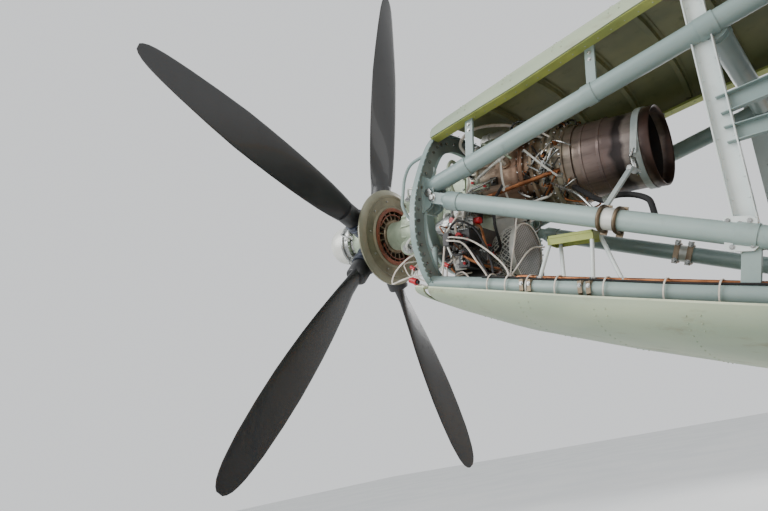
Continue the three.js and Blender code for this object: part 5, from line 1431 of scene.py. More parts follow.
# The little bracket stand on the port longeron.
def addStand(bm):
    addBox(bm, (0.40, -1.105, -0.288), (0.49, -0.905, -0.276), 6)
    for x in (0.402, 0.482):
        addBox(bm, (x, -1.105, -0.315), (x + 0.006, -0.905, -0.276), 6)
    for y in (-1.105, -0.911):
        addBox(bm, (0.40, y, -0.315), (0.49, y + 0.006, -0.276), 6)
    legs = (((0.475, -1.095, -0.29), (0.500, -1.149, -0.465)),
        ((0.415, -1.080, -0.29), (0.478, -1.046, -0.480)),
        ((0.475, -0.915, -0.29), (0.500, -0.915, -0.495)),
        ((0.415, -0.905, -0.29), (0.480, -0.801, -0.508)))
    for top, foot in legs:
        addBar(bm, top, foot, 0.0085, 16, 2)
        addBar(bm, foot, Vector(foot) + Vector((0, 0, 0.02)), 0.014, 6, 1)


def makeLines():
    bm = bmesh.new()
    top = truss["longeron"] + 0.006
    hose = [(0.30, -1.46, -0.40), (0.40, -1.42, -0.452), (0.478, -1.352, -0.462)]
    for y in (-1.25, -1.15, -1.02, -0.895, -0.7, -0.532, -0.33, -0.14):
        hose.append(longeronPoint(1, y) + Vector((-0.012 + 0.004 * math.sin(y * 9), 0, top)))
    hose.append((0.47, -0.006, -0.585))
    addTube(bm, smoothPath(hose, 80), 0.0085, 14, 0)
    cable = [longeronPoint(1, y) + Vector((0.022, 0, top - 0.008 + 0.003 * math.sin(y * 13)))
        for y in (-1.42, -1.3, -1.1, -0.9, -0.6, -0.3, -0.05)]
    addTube(bm, smoothPath(cable, 60), 0.005, 10, 1)
    for y in (-1.38, -1.29, -1.19, -1.06, -0.86, -0.64, -0.46, -0.24):
        point = longeronPoint(1, y)
        addSleeve(bm, point + Vector((0, 0, 0.004)), longeronPoint(1, 0) - longeronPoint(1, -1),
            0.0475, 0.0028, 2)
    for y in (-1.213, -1.178, -0.955, -0.92):
        point = longeronPoint(1, y)
        addSleeve(bm, point, longeronPoint(1, 0) - longeronPoint(1, -1), 0.0385, 0.008, 3)
        addPlate(bm, [point + Vector((0.04, dy, dz))
            for dy, dz in ((-0.009, -0.02), (0.009, -0.02), (0.009, 0.03), (-0.009, 0.03))],
            (0.006, 0, 0), 3)
        addBolt(bm, point + Vector((0.046, 0, 0.012)), (1, 0, 0), 0.006, 0.006, 4)
    black = [(0.13, -1.12, 0.03), (0.2, -1.04, -0.03), (0.3, -0.95, -0.10), (0.35, -0.896, -0.127),
        (0.355, -0.852, -0.118), (0.36, -0.80, -0.124), (0.36, -0.751, -0.139), (0.37, -0.713, -0.164),
        (0.40, -0.693, -0.197), (0.45, -0.67, -0.255), (0.475, -0.655, -0.287)]
    addTube(bm, smoothPath(black, 60), 0.0125, 16, 1)
    addBar(bm, (0.352, -0.90, -0.127), (0.356, -0.862, -0.118), 0.0165, 6, 4)
    addTube(bm, smoothPath([(0.21, -1.2, 0.05), (0.32, -1.1, -0.02), (0.44, -0.98, -0.1),
        (0.47, -0.9, -0.19), (0.475, -0.86, -0.232)], 30), 0.006, 10, 4)
    finishPiece(bm, "noseLines", "airframe",
        ["copper", "rubber", "wireWhite", "clampBronze", "steel"], sharp=38)


# Cowl shells: rows of distance aft, half width, edge height and far height, with hat ribs inside.
cowls = {
    "cowl_upper": {"rows": ((-1.79, 0.500, 0.312, 0.420), (-1.64, 0.512, 0.342, 0.510),
        (-1.20, 0.530, 0.436, 0.640), (-0.70, 0.560, 0.560, 0.745), (-0.25, 0.600, 0.655, 0.795),
        (-0.02, 0.620, 0.700, 0.800)), "ribs": (-1.50, -1.24, -0.98, -0.72, -0.46, -0.20),
        "edge": "greenPrimer"},
    "cowl_lower": {"rows": ((-1.79, 0.545, -0.430, -0.500), (-1.64, 0.590, -0.455, -0.560),
        (-1.35, 0.625, -0.500, -0.655), (-0.90, 0.655, -0.570, -0.755), (-0.40, 0.680, -0.640, -0.850),
        (-0.02, 0.690, -0.690, -0.900)), "ribs": (-1.48, -1.16, -0.84, -0.52, -0.20), "edge": "paleLipHighlight"},
}


def cowlRow(rows, y):
    for first, second in zip(rows, rows[1:]):
        if y <= second[0] + 1e-6:
            t = (y - first[0]) / (second[0] - first[0])
            return tuple(a + (b - a) * t for a, b in zip(first[1:], second[1:]))
    return rows[-1][1:]


def cowlArc(rows, y, inset, count=56, trim=0.0):
    half, edge, far = cowlRow(rows, y)
    away = 1 if far > edge else -1
    points = []
    for i in range(count + 1):
        angle = trim + (math.pi - 2 * trim) * i / count
        lift = math.sin(angle) ** 0.75 if math.sin(angle) > 1e-9 else 0.0
        points.append(Vector(((half - inset) * math.cos(angle), y,
            edge + (far - edge - away * inset) * lift)))
    return points


def makeCowl(name):
    rows = cowls[name]["rows"]
    bm = bmesh.new()
    spans = ((-1.698, -0.02),) if name == "cowl_upper" else ((-1.79, -1.7235), (-1.688, -0.02))
    for start, end in spans:
        steps = max(2, int((end - start) / 0.07))
        for inset, thick, slot in ((0.0, 0.008, 0), (0.008, 0.006, 1)):
            rings = []
            for i in range(steps + 1):
                y = start + (end - start) * i / steps
                rings.append(cowlArc(rows, y, inset) + cowlArc(rows, y, inset + thick)[::-1])
            sweep(bm, rings, slot)
        for _, s in sides:
            rings = []
            for i in range(steps + 1):
                y = start + (end - start) * i / steps
                half, edge, _ = cowlRow(rows, y)
                x = s * (half - 0.016)
                rings.append([Vector((x - s * 0.055, y, edge - 0.005)),
                    Vector((x + s * 0.008, y, edge - 0.005)),
                    Vector((x + s * 0.008, y, edge + 0.008)), Vector((x - s * 0.055, y, edge + 0.008))])
            sweep(bm, rings, 2)
    for y in cowls[name]["ribs"]:
        rings = []
        low, high = cowlArc(rows, y, 0.014, 40, 0.13), cowlArc(rows, y, 0.038, 40, 0.13)
        for base, top in zip(low, high):
            rings.append([base + Vector((0, -0.03, 0)), base + Vector((0, -0.016, 0)),
                top + Vector((0, -0.012, 0)), top + Vector((0, 0.012, 0)),
                base + Vector((0, 0.016, 0)), base + Vector((0, 0.03, 0)),
                base * 0.998 + Vector((0, 0.03 + y * 0.002, 0)),
                base * 0.998 + Vector((0, -0.03 + y * 0.002, 0))])
        sweep(bm, rings, 1)
    skin = BVHTree.FromBMesh(bm)
    finishPiece(bm, name + "_shell", "airframe", ["cowlPrimer", "olive", cowls[name]["edge"]],
        [name], sharp=30, bevel=0.0008)
    points = []
    for i in range(28):
        y = -1.62 + i * 0.058
        half, edge, _ = cowlRow(rows, y)
        for _, s in sides:
            points.append(((s * (half - 0.045), y, edge + 0.008), (0, 0, 1)))
            points.append(((s * (half - 0.045), y, edge - 0.005), (0, 0, -1)))
    for y in cowls[name]["ribs"]:
        arc = cowlArc(rows, y, 0.0, 26, 0.13)
        away = 1 if name == "cowl_upper" else -1
        for k, point in enumerate(arc):
            before, after = arc[max(k - 1, 0)], arc[min(k + 1, len(arc) - 1)]
            facing = (after - before).cross(Vector((0, 1, 0))).normalized()
            facing = facing if facing.z * away > 0 else -facing
            for step in (-0.023, 0.023):
                points.append((skin.find_nearest(point + Vector((0, step, 0)))[0], facing))
    addStuds(name + "_rivets", "airframe", points, "cowlPrimer", 0.004, 0.0028, corners=10, taper=0.55)


# The lower cowl's edge strips are painted pale: a painted highlight for the rolled lip catching the light.
finishes["paleLipHighlight"] = surface("paleLipHighlight", (206, 214, 186), (188, 198, 170), (150, 150, 120), 0.5, cloud=4)
finishes["olive"] = surface("oliveInside", (122, 124, 82), (104, 108, 72), (70, 70, 48), 0.6,
    cloud=3, amount=0.5)
for sideName, sideSign in sides:
    makeTruss(sideName, sideSign)
makeLines()
makeCowl("cowl_upper")
makeCowl("cowl_lower")
print("trusses and cowls made")


# Cutting one closed body with others, in the level aircraft.

def tempObject(bm, name="temp"):
    bmesh.ops.recalc_face_normals(bm, faces=bm.faces)
    mesh = bpy.data.meshes.new(name)
    bm.to_mesh(mesh)
    bm.free()
    made = bpy.data.objects.new(name, mesh)
    bpy.context.scene.collection.objects.link(made)
    return made


def carve(body, tools, operation="DIFFERENCE"):
    for tool in tools:
        cutting = body.modifiers.new("carve", "BOOLEAN")
        cutting.operation = operation
        cutting.solver = "EXACT"
        cutting.object = tool
    evaluated = body.evaluated_get(bpy.context.evaluated_depsgraph_get())
    mesh = bpy.data.meshes.new_from_object(evaluated)
    for used in [body] + list(tools):
        bpy.data.objects.remove(used)
    made = bpy.data.objects.new("carved", mesh)
    bpy.context.scene.collection.objects.link(made)
    return made


def finishCarved(made, name, body, materials, replaced, sharp=30, pick=None):
    mesh = made.data.copy()
    bpy.data.objects.remove(made)
    while mesh.materials:
        mesh.materials.pop()
    for face in mesh.polygons:
        face.material_index = pick(face) if pick else 0
    mesh.transform(levelToRow)
    return showMesh(mesh, name, body, materials, list(replaced), sharp)


def boxObject(low, high):
    bm = bmesh.new()
    addBox(bm, low, high)
    return tempObject(bm)


# Paint of the fuselage: yellow over blue, blue rising over the nose, a thin stripe and a dull black top.

scheme = {"noseY": 0.70, "rise": 0.42, "fade": 0.13, "belly": -0.60, "tailFrom": 5.0,
    "tailClimb": 0.125, "frames": 0.53}


def hullPaint():
    material, tree, shader = startMaterial("hullPaint", 0.42, 0.0, 0.12)
    level = levelCoordinates(tree)
    apart = splitAxes(tree, level)
    x, y, z = (apart[key] for key in "XYZ")
    clouds = ramp(tree, noise(tree, level, 1.6), 0.3, 0.7)
    stains = ramp(tree, noise(tree, levelCoordinates(tree, (1.2, 5, 0.7)), 5, 6, 0.65), 0.55, 0.8)
    yellow = blendColours(tree, clouds, colour(255, 186, 0), colour(246, 170, 0))
    blue = blendColours(tree, clouds, colour(34, 112, 172), colour(24, 96, 154))
    lift = calc(tree, "MAXIMUM", calc(tree, "MULTIPLY",
        calc(tree, "SUBTRACT", y, scheme["tailFrom"]), scheme["tailClimb"]), 0.0)
    bellyZ = calc(tree, "ADD", lift, scheme["belly"])
    below = calc(tree, "SUBTRACT", z, bellyZ)
    curve = calc(tree, "EXPONENT", calc(tree, "DIVIDE",
        calc(tree, "MULTIPLY", calc(tree, "MAXIMUM", below, 0.0), -1.0), scheme["fade"]))
    edge = calc(tree, "MULTIPLY_ADD", curve, scheme["rise"], scheme["noseY"])
    isNose = calc(tree, "LESS_THAN", y, edge)
    isBlue = calc(tree, "MAXIMUM", isNose, calc(tree, "LESS_THAN", below, 0.0))
    base = blendColours(tree, isBlue, yellow, blue)
    stripe = calc(tree, "MULTIPLY", calc(tree, "LESS_THAN",
        calc(tree, "ABSOLUTE", calc(tree, "ADD", z, 0.44)), 0.011), isNose)
    base = blendColours(tree, stripe, base, colour(232, 196, 60))
    dull = calc(tree, "MULTIPLY", calc(tree, "LESS_THAN", calc(tree, "ABSOLUTE", x), 0.42),
        calc(tree, "MULTIPLY", calc(tree, "LESS_THAN", y, 0.50), calc(tree, "GREATER_THAN", z, 0.6)))
    base = blendColours(tree, dull, base, colour(30, 31, 32))
    frameLine = calc(tree, "PINGPONG", y, scheme["frames"] / 2)
    joint = calc(tree, "LESS_THAN", frameLine, 0.003)
    lap = calc(tree, "LESS_THAN", calc(tree, "ABSOLUTE", calc(tree, "SUBTRACT", z, 0.62)), 0.0025)
    joints = calc(tree, "MAXIMUM", joint, lap)
    base = blendColours(tree, calc(tree, "MULTIPLY", joints, 0.55), base, colour(60, 52, 36))
    base = blendColours(tree, calc(tree, "MULTIPLY", stains, 0.22), base, colour(110, 92, 52))
    tree.links.new(base, shader.inputs["Base Color"])
    tree.links.new(calc(tree, "MULTIPLY_ADD", stains, 0.25, 0.3), shader.inputs["Roughness"])
    dents = calc(tree, "MULTIPLY_ADD", noise(tree, level, 3.2, 2), 0.8,
        calc(tree, "MULTIPLY", joints, -0.5))
    addBump(tree, shader, dents, 0.25, 0.004)
    return material


# Wings and tail: doped fabric between ribs, with a tape over each rib.
def fabricPaint(name, spacing, along="X"):
    material, tree, shader = startMaterial(name, 0.46, 0.0, 0.1)
    level = levelCoordinates(tree)
    apart = splitAxes(tree, level)
    across_ = calc(tree, "PINGPONG", apart[along], spacing / 2)
    sag = ramp(tree, across_, 0.0, spacing / 2)
    tape = calc(tree, "LESS_THAN", across_, 0.018)
    clouds = ramp(tree, noise(tree, level, 1.3), 0.3, 0.7)
    stains = ramp(tree, noise(tree, levelCoordinates(tree, (3, 0.8, 3)), 4, 6, 0.6), 0.55, 0.8)
    base = blendColours(tree, clouds, colour(255, 187, 0), colour(247, 172, 0))
    base = blendColours(tree, calc(tree, "MULTIPLY", tape, 0.18), base, colour(255, 200, 60))
    base = blendColours(tree, calc(tree, "MULTIPLY", stains, 0.2), base, colour(120, 96, 48))
    tree.links.new(base, shader.inputs["Base Color"])
    tree.links.new(calc(tree, "MULTIPLY_ADD", stains, 0.2, 0.36), shader.inputs["Roughness"])
    relief = calc(tree, "MULTIPLY_ADD", tape, 0.16, calc(tree, "MULTIPLY", sag, -1.0))
    relief = calc(tree, "MULTIPLY_ADD", noise(tree, level, 240, 2), 0.03, relief)
    addBump(tree, shader, relief, 0.45, 0.006)
    return material


finishes["hull"] = hullPaint()
finishes["inside"] = surface("insidePrimer", (150, 158, 132), (134, 142, 120), (92, 92, 70), 0.6, cloud=3)
finishes["fabric"] = fabricPaint("wingFabric", 0.34)
finishes["tailFabric"] = fabricPaint("tailFabric", 0.29)
finishes["finFabric"] = fabricPaint("finFabric", 0.31, "Z")


# Fuselage: lofted sections of y, half width, top, bottom and squareness.

hull = {
    "stations": ((0, 0.740, 0.800, -0.900, 2.6), (0.36, 0.790, 0.930, -0.935, 2.7),
        (1.0, 0.855, 1.320, -0.965, 3.0), (1.66, 0.880, 1.380, -0.980, 3.2),
        (3.6, 0.880, 1.380, -0.980, 3.2), (5.98, 0.790, 1.300, -0.690, 3.0),
        (8.0, 0.480, 1.090, -0.300, 2.6), (9.8, 0.150, 0.900, 0.130, 2.2)),
    "wall": 0.026,
    "portholes": (2.31, 2.84, 3.36, 3.89, 4.42, 5.49),
    "portZ": 0.30,
    "portRadius": 0.17,
    "door": (4.99, 5.90, -0.61, 0.79),
    "crewFloor": -0.6397,
}


def hullSizes(y):
    rows = hull["stations"]
    k = next((i for i, row in enumerate(rows) if row[0] >= y), len(rows) - 1)
    k = max(1, k)
    t = (y - rows[k - 1][0]) / (rows[k][0] - rows[k - 1][0])
    return [a + (b - a) * t for a, b in zip(rows[k - 1][1:], rows[k][1:])]


def hullPoint(y, angle, inset=0.0):
    half, top, bottom, square = hullSizes(y)
    bend = lambda v: math.copysign(abs(v) ** (2 / square), v)
    return Vector(((half - inset) * bend(math.cos(angle)), y,
        (top + bottom) / 2 + ((top - bottom) / 2 - inset) * bend(math.sin(angle))))


def hullRing(y, inset=0.0, count=96):
    return [hullPoint(y, 2 * math.pi * (i + 0.5) / count, inset) for i in range(count)]


def hullSide(y, z):
    half, top, bottom, square = hullSizes(y)
    share = abs((z - (top + bottom) / 2) / ((top - bottom) / 2))
    return half * (1 - share ** square) ** (1 / square)


def hullSolid(start, end, inset):
    step = 0.22
    stops = [start] + [row[0] for row in hull["stations"] if start + 0.01 < row[0] < end - 0.01] + [end]
    ys = []
    for a, b in zip(stops, stops[1:]):
        count = max(1, round((b - a) / step))
        ys += [a + (b - a) * i / count for i in range(count)]
    bm = bmesh.new()
    sweep(bm, [hullRing(y, inset) for y in ys + [end]])
    return tempObject(bm)


def hullShell(start, end):
    return carve(hullSolid(start, end, 0.0), [hullSolid(start - 0.001, end + 0.001, hull["wall"])])


def innerFace(face):
    centre, normal = face.center, face.normal
    _, top, bottom, _ = hullSizes(centre.y)
    outward = Vector((centre.x, 0, centre.z - (top + bottom) / 2))
    return 1 if normal.dot(outward.normalized()) < 0.2 else 0


canopyColumns = (
    ((0, 0.330, 0.905), (0, 0.520, 1.075), (0, 0.800, 1.325)),
    ((0.400, 0.360, 0.890), (0.385, 0.545, 1.060), (0.340, 0.815, 1.315)),
    ((0.815, 0.700, 0.700), (0.822, 0.745, 0.960), (0.590, 0.900, 1.300)),
    ((0.880, 1.110, 0.700), (0.890, 1.110, 0.960), (0.660, 1.115, 1.330)),
    ((0.905, 1.630, 0.700), (0.915, 1.630, 0.960), (0.700, 1.630, 1.345)),
)


# The canopy's outline, grown so that its frame bars stand clear of the skin.
def canopySolid():
    grown = 0.026
    rings = []
    for level in (0, 1, 2):
        half = []
        for column in canopyColumns:
            point = Vector(column[level])
            away = Vector((point.x, (point.y - 1.15) if point.y < 1.1 else 0, 0)).normalized() * grown
            point += away
            half.append(Vector((point.x, min(point.y, 1.6303), point.z)))
        rings.append(half + [Vector((-p.x, p.y, p.z)) for p in half[:0:-1]])
    floor = [p - Vector((0, 0, 0.016)) for p in rings[0]]
    roof = [p + Vector((0, 0, 0.3)) for p in rings[2]]
    bm = bmesh.new()
    sweep(bm, [floor] + rings + [roof])
    return tempObject(bm)


def roundTool(y, z, radius, fromX, toX):
    bm = bmesh.new()
    addBar(bm, (fromX, y, z), (toX, y, z), radius, 48)
    return tempObject(bm)


def makeFuselage():
    cockpit = carve(hullShell(0.0143, 1.66), [canopySolid()])
    finishCarved(cockpit, "cockpitSkin", "airframe", ["hull", "inside"],
        ("fuselage_cockpit",), pick=innerFace)
    y0, y1, z0, z1 = hull["door"]
    holes = [roundTool(y, hull["portZ"], hull["portRadius"], -1.2, 1.2) for y in hull["portholes"]]
    opening = boxObject((0.3, y0 - 0.008, z0 - 0.008), (1.3, y1 + 0.008, z1 + 0.008))
    cabin = carve(hullShell(1.6603, 5.98), holes + [opening])
    finishCarved(cabin, "cabinSkin", "airframe", ["hull", "inside"], ("fuselage_cabin",),
        pick=innerFace)
    leaf = carve(hullShell(4.7, 5.979), [boxObject((0.3, y0, z0), (1.3, y1, z1))], "INTERSECT")
    leaf = carve(leaf, [roundTool(5.49, hull["portZ"], hull["portRadius"], 0.0, 1.3)])
    finishCarved(leaf, "doorSkin", "passenger_door", ["hull", "inside"],
        ("passenger_door",), pick=innerFace)
    bm = bmesh.new()
    ys = [5.9803 + (9.8 - 5.9803) * i / 20 for i in range(21)]
    sweep(bm, [hullRing(y) for y in ys])
    bm.faces.ensure_lookup_table()
    bm.faces[-2].material_index = 2
    turn = Matrix.Rotation(math.radians(stand["lean"]), 3, "X")
    place = lambda p: Vector(stand["tailWheel"]) + turn @ Vector(p)
    addBar(bm, place((0, -0.11, 0.2923)), place((0, -0.11, 0.47)), 0.048, 32, 1)
    addBar(bm, place((0, -0.11, 0.30)), place((0, -0.11, 0.325)), 0.056, 32, 1)
    addBar(bm, place((0, -0.12, 0.365)), place((0, -0.33, 0.365)), 0.032, 20, 1)
    finishPiece(bm, "tailConeSkin", "airframe", ["hull", "grey", "inside"],
        ["fuselage_tail"])


def makePortholes():
    z, radius = hull["portZ"], hull["portRadius"]
    for s in (1, -1):
        body = bmesh.new()
        door = bmesh.new()
        for y in hull["portholes"]:
            onDoor = y > 5 and s > 0
            bm = door if onDoor else body
            x = hullSide(y, z)
            lean = (hullSide(y + 0.05, z) - hullSide(y - 0.05, z)) / 0.1
            axis = Vector((s, -lean, 0.0)).normalized()
            place = Vector((s * x, y, z))
            addTurned(bm, [(radius - 0.022, -0.024), (radius + 0.012, -0.018), (radius + 0.012, 0.002),
                (radius + 0.008, 0.006), (radius - 0.010, 0.008), (radius - 0.020, 0.003),
                (radius - 0.022, -0.024)], place, axis, 64, 0)
            addTurned(bm, [(0, 0.012), (0.06, 0.0105), (0.11, 0.006), (radius - 0.014, -0.002),
                (radius - 0.014, -0.006), (0.11, 0.002), (0.06, 0.0065), (0, 0.008)], place, axis, 64, 1)
        finishPiece(body, "portholes_" + ("port" if s > 0 else "starboard"), "airframe",
            ["yellow", "glass"], sharp=35)
        if s > 0:
            finishPiece(door, "doorPorthole", "passenger_door", ["yellow", "glass"], sharp=35)
        else:
            door.free()


doorParts = {"hingeX": 0.7988, "hingeY": 5.904, "hinges": (0.06, 0.46), "handleY": 5.08, "handleZ": 0.05}


def makeDoorParts():
    bm = bmesh.new()
    x, y = doorParts["hingeX"], doorParts["hingeY"]
    for z in doorParts["hinges"]:
        addBar(bm, (x + 0.0019, y, z), (x + 0.0019, y, z + 0.08), 0.013, 24, 0)
        addBox(bm, (x - 0.018, y - 0.072, z + 0.004), (x + 0.004, y - 0.002, z + 0.076), 0)
        for dz in (0.02, 0.06):
            addBolt(bm, (x + 0.004, y - 0.05, z + dz), (1, 0, 0), 0.006, 0.005, 1)
    handleY, handleZ = doorParts["handleY"], doorParts["handleZ"]
    side = hullSide(handleY, handleZ)
    addTurned(bm, [(0, 0.012), (0.03, 0.010), (0.034, 0.004), (0.034, -0.01), (0, -0.01)],
        (side, handleY, handleZ), (1, 0, 0), 32, 1)
    addTube(bm, smoothPath([(side + 0.008, handleY, handleZ), (side + 0.03, handleY + 0.01, handleZ),
        (side + 0.034, handleY + 0.05, handleZ), (side + 0.03, handleY + 0.12, handleZ)], 16), 0.009,
        12, 1)
    y0, y1, z0, z1 = hull["door"]
    outline = [(y0 + 0.03, z0 + 0.03), (y1 - 0.03, z0 + 0.03), (y1 - 0.03, z1 - 0.03),
        (y0 + 0.03, z1 - 0.03)]
    for (ya, za), (yb, zb) in zip(outline, outline[1:] + outline[:1]):
        count = 10
        for i in range(count):
            ta, tb = i / count, (i + 1) / count
            a = (ya + (yb - ya) * ta, za + (zb - za) * ta)
            b = (ya + (yb - ya) * tb, za + (zb - za) * tb)
            addPlank(bm, (hullSide(*a) - 0.030, *a), (hullSide(*b) - 0.030, *b), 0.03, 0.018, (1, 0, 0), 2)
    finishPiece(bm, "doorFittings", "passenger_door", ["grey", "steel", "inside"], sharp=35, bevel=0.001)


def makeHullRivets():
    points = []
    for k in range(19):
        y = k * scheme["frames"]
        if y > 9.7:
            break
        for step in (-0.018, 0.018):
            at = min(9.79, max(0.02, y + step))
            for i in range(84):
                angle = 2 * math.pi * (i + 0.5) / 84
                point, ahead = hullPoint(at, angle), hullPoint(at, angle + 0.01)
                tangent = (ahead - point).normalized()
                facing = tangent.cross(Vector((0, 1, 0))).normalized()
                _, top, bottom, _ = hullSizes(at)
                if facing.dot(Vector((point.x, 0, point.z - (top + bottom) / 2))) < 0:
                    facing = -facing
                inDoor = point.x > 0 and 4.96 < at < 5.95 and -0.66 < point.z < 0.84
                nearPort = any((at - p) ** 2 + (point.z - hull["portZ"]) ** 2 < 0.2 ** 2
                    for p in hull["portholes"])
                inCanopy = at < 1.66 and point.z > 0.64
                if not (inDoor or nearPort or inCanopy):
                    points.append((point, facing))
    addStuds("hullRivets", "airframe", points, "steel", 0.0042, 0.0022, corners=8, taper=0.6)


# Canopy: flat panes in a painted frame; the roof over the crew is pale.

def makeCanopy():
    def pickFrame(face):
        middle = levelToRow.inverted() @ face.center
        return 1 if middle.z > 1.302 and middle.y > 0.83 and abs(middle.x) < 0.60 else 0
    glass = dressNode("canopy_glass", "glass")
    heel = bmesh.new()
    for s in (1, -1):
        outline = [(0.84, 0.69), (0.917, 0.69), (0.927, 0.96), (0.712, 1.352), (0.668, 1.336),
            (0.85, 0.96)]
        addPlate(heel, [(s * x, 1.6315, z) for x, z in outline], (0, 0.0270, 0))
    finishPiece(heel, "canopyHeel", "airframe", ["yellow"], bevel=0.002)
    frameSkin = dressNode("canopy_frame", "yellow", bevel=0.002)
    frameSkin.data.materials.append(finishes["roofGrey"])
    for face in frameSkin.data.polygons:
        face.material_index = pickFrame(face)
    points = []
    for column in canopyColumns:
        for level in (0, 1):
            a, b = Vector(column[level]), Vector(column[level + 1])
            for i in range(1, 8):
                point = a.lerp(b, i / 8)
                facing = (point - Vector((0, 1.15, 0.8))).normalized()
                for s in ((1, -1) if column[0][0] else (1,)):
                    points.append(((point.x * s + facing.x * s * 0.02, point.y + facing.y * 0.02,
                        point.z + facing.z * 0.02), (facing.x * s, facing.y, facing.z)))
    addStuds("canopyScrews", "airframe", points, "steel", 0.005, 0.004, corners=12, taper=0.6)


# Crew's seats: a tubular frame and pan with two stuffed cushions each, swelled by a short cloth simulation.

seats = {"x": 0.36, "voxel": 0.012, "frames": 14, "pressure": 4.0, "cap": 0.022, "channel": 0.02}


def swollen(low, high, name):
    bm = bmesh.new()
    addBox(bm, low, high)
    bmesh.ops.recalc_face_normals(bm, faces=bm.faces)
    bmesh.ops.bevel(bm, geom=bm.edges[:], offset=0.014, segments=3, affect="EDGES", profile=0.5)
    pad = tempObject(bm, name)
    grid = pad.modifiers.new("grid", "REMESH")
    grid.mode = "VOXEL"
    grid.voxel_size = seats["voxel"]
    cloth = pad.modifiers.new("swell", "CLOTH")
    cloth.settings.use_pressure = True
    cloth.settings.uniform_pressure_force = seats["pressure"]
    cloth.settings.effector_weights.gravity = 0
    cloth.settings.quality = 5
    scene = bpy.context.scene
    for step in range(1, seats["frames"] + 1):
        scene.frame_set(step)
    evaluated = pad.evaluated_get(bpy.context.evaluated_depsgraph_get())
    mesh = bpy.data.meshes.new_from_object(evaluated)
    bpy.data.objects.remove(pad)
    bpy.context.scene.frame_set(1)
    low, high = Vector(low), Vector(high)
    cap = seats["cap"]
    for vertex in mesh.vertices:
        for k in range(3):
            vertex.co[k] = max(low[k] - cap * 0.5, min(high[k] + cap * 0.5, vertex.co[k]))
    return mesh


def channelled(mesh, axisIndex, places, deep, face):
    for vertex in mesh.vertices:
        for place in places:
            off = abs(vertex.co[axisIndex] - place) / seats["channel"]
            if off < 1 and abs(vertex.co[face]) > 0.01:
                dip = deep * (1 - off * off) ** 2
                vertex.co[face] -= math.copysign(dip, vertex.co[face])


def makeSeatFrame(name, x):
    bm = bmesh.new()
    addBox(bm, (x - 0.228, 0.902, -0.246), (x + 0.228, 1.328, -0.228), 0)
    for side in (-1, 1):
        addBox(bm, (x + side * 0.226 - 0.004, 0.902, -0.246), (x + side * 0.226 + 0.004, 1.328, -0.205),
            0)
        rail = [(x + side * 0.222, y, z) for y, z in ((0.92, -0.24), (1.30, -0.235), (1.352, -0.16),
            (1.41, 0.14), (1.465, 0.44))]
        addTube(bm, smoothPath(rail, 24), 0.011, 14, 1)
    addBar(bm, (x - 0.222, 1.462, 0.43), (x + 0.222, 1.462, 0.43), 0.011, 14, 1)
    addPlank(bm, (x, 1.366, -0.18), (x, 1.473, 0.44), 0.43, 0.006, (1, 0, 0), 0)
    for legX in (-0.14, 0.14):
        for y in (0.97, 1.28):
            addBar(bm, (x + legX, y, hull["crewFloor"]), (x + legX, y, -0.24), 0.0125, 16, 1)
        addBar(bm, (x + legX, 0.97, -0.60), (x + legX, 1.28, -0.30), 0.009, 12, 1)
        addBox(bm, (x + legX - 0.018, 0.94, hull["crewFloor"]), (x + legX + 0.018, 1.31, -0.622), 1)
    finishPiece(bm, "seatFrame_" + name, "airframe", ["inside", "grey"],
        ["pilot_seat_" + name], sharp=35, bevel=0.0012)


def makeSeats():
    seatPad = swollen((-0.215, -0.205, -0.032), (0.215, 0.205, 0.032), "seatPad")
    channelled(seatPad, 0, (-0.072, 0.072), 0.010, 2)
    backPad = swollen((-0.21, -0.026, -0.29), (0.21, 0.026, 0.29), "backPad")
    channelled(backPad, 2, (-0.145, 0.0, 0.145), 0.009, 1)
    lean = math.atan2(0.13, 0.68)
    for name, s in sides:
        x = s * seats["x"]
        for mesh, label, turn, place in (
                (seatPad, "seatCushion_", 0.0, (x, 1.115, -0.192)),
                (backPad, "backCushion_", -lean, (x, 1.3815, 0.165)),
        ):
            copy = mesh.copy()
            copy.transform(levelToRow @ Matrix.Translation(place) @ Matrix.Rotation(turn, 4, "X"))
            piece = showMesh(copy, label + name, "airframe", ["seatCloth"], sharp=80)
            smoother = piece.modifiers.new("smooth", "SUBSURF")
            smoother.levels = smoother.render_levels = 1
        makeSeatFrame(name, x)
    for mesh in (seatPad, backPad):
        bpy.data.meshes.remove(mesh)


# Cockpit panel with round dials, two control wheels and the centre pedestal's levers. Its rows of
# dials are height, count, first place and pitch.
panel = {"face": 0.462, "dials": (0.032, 0.041, 0.048), "seed": 5,
    "levers": (-0.09, -0.03, 0.03, 0.09), "rows": ((0.25, 9, -0.48, 0.12), (0.39, 9, -0.48, 0.12),
    (0.53, 9, -0.48, 0.12), (0.66, 7, -0.39, 0.13)), "wheelX": 0.36, "wheelY": 0.755, "wheelZ": 0.12}


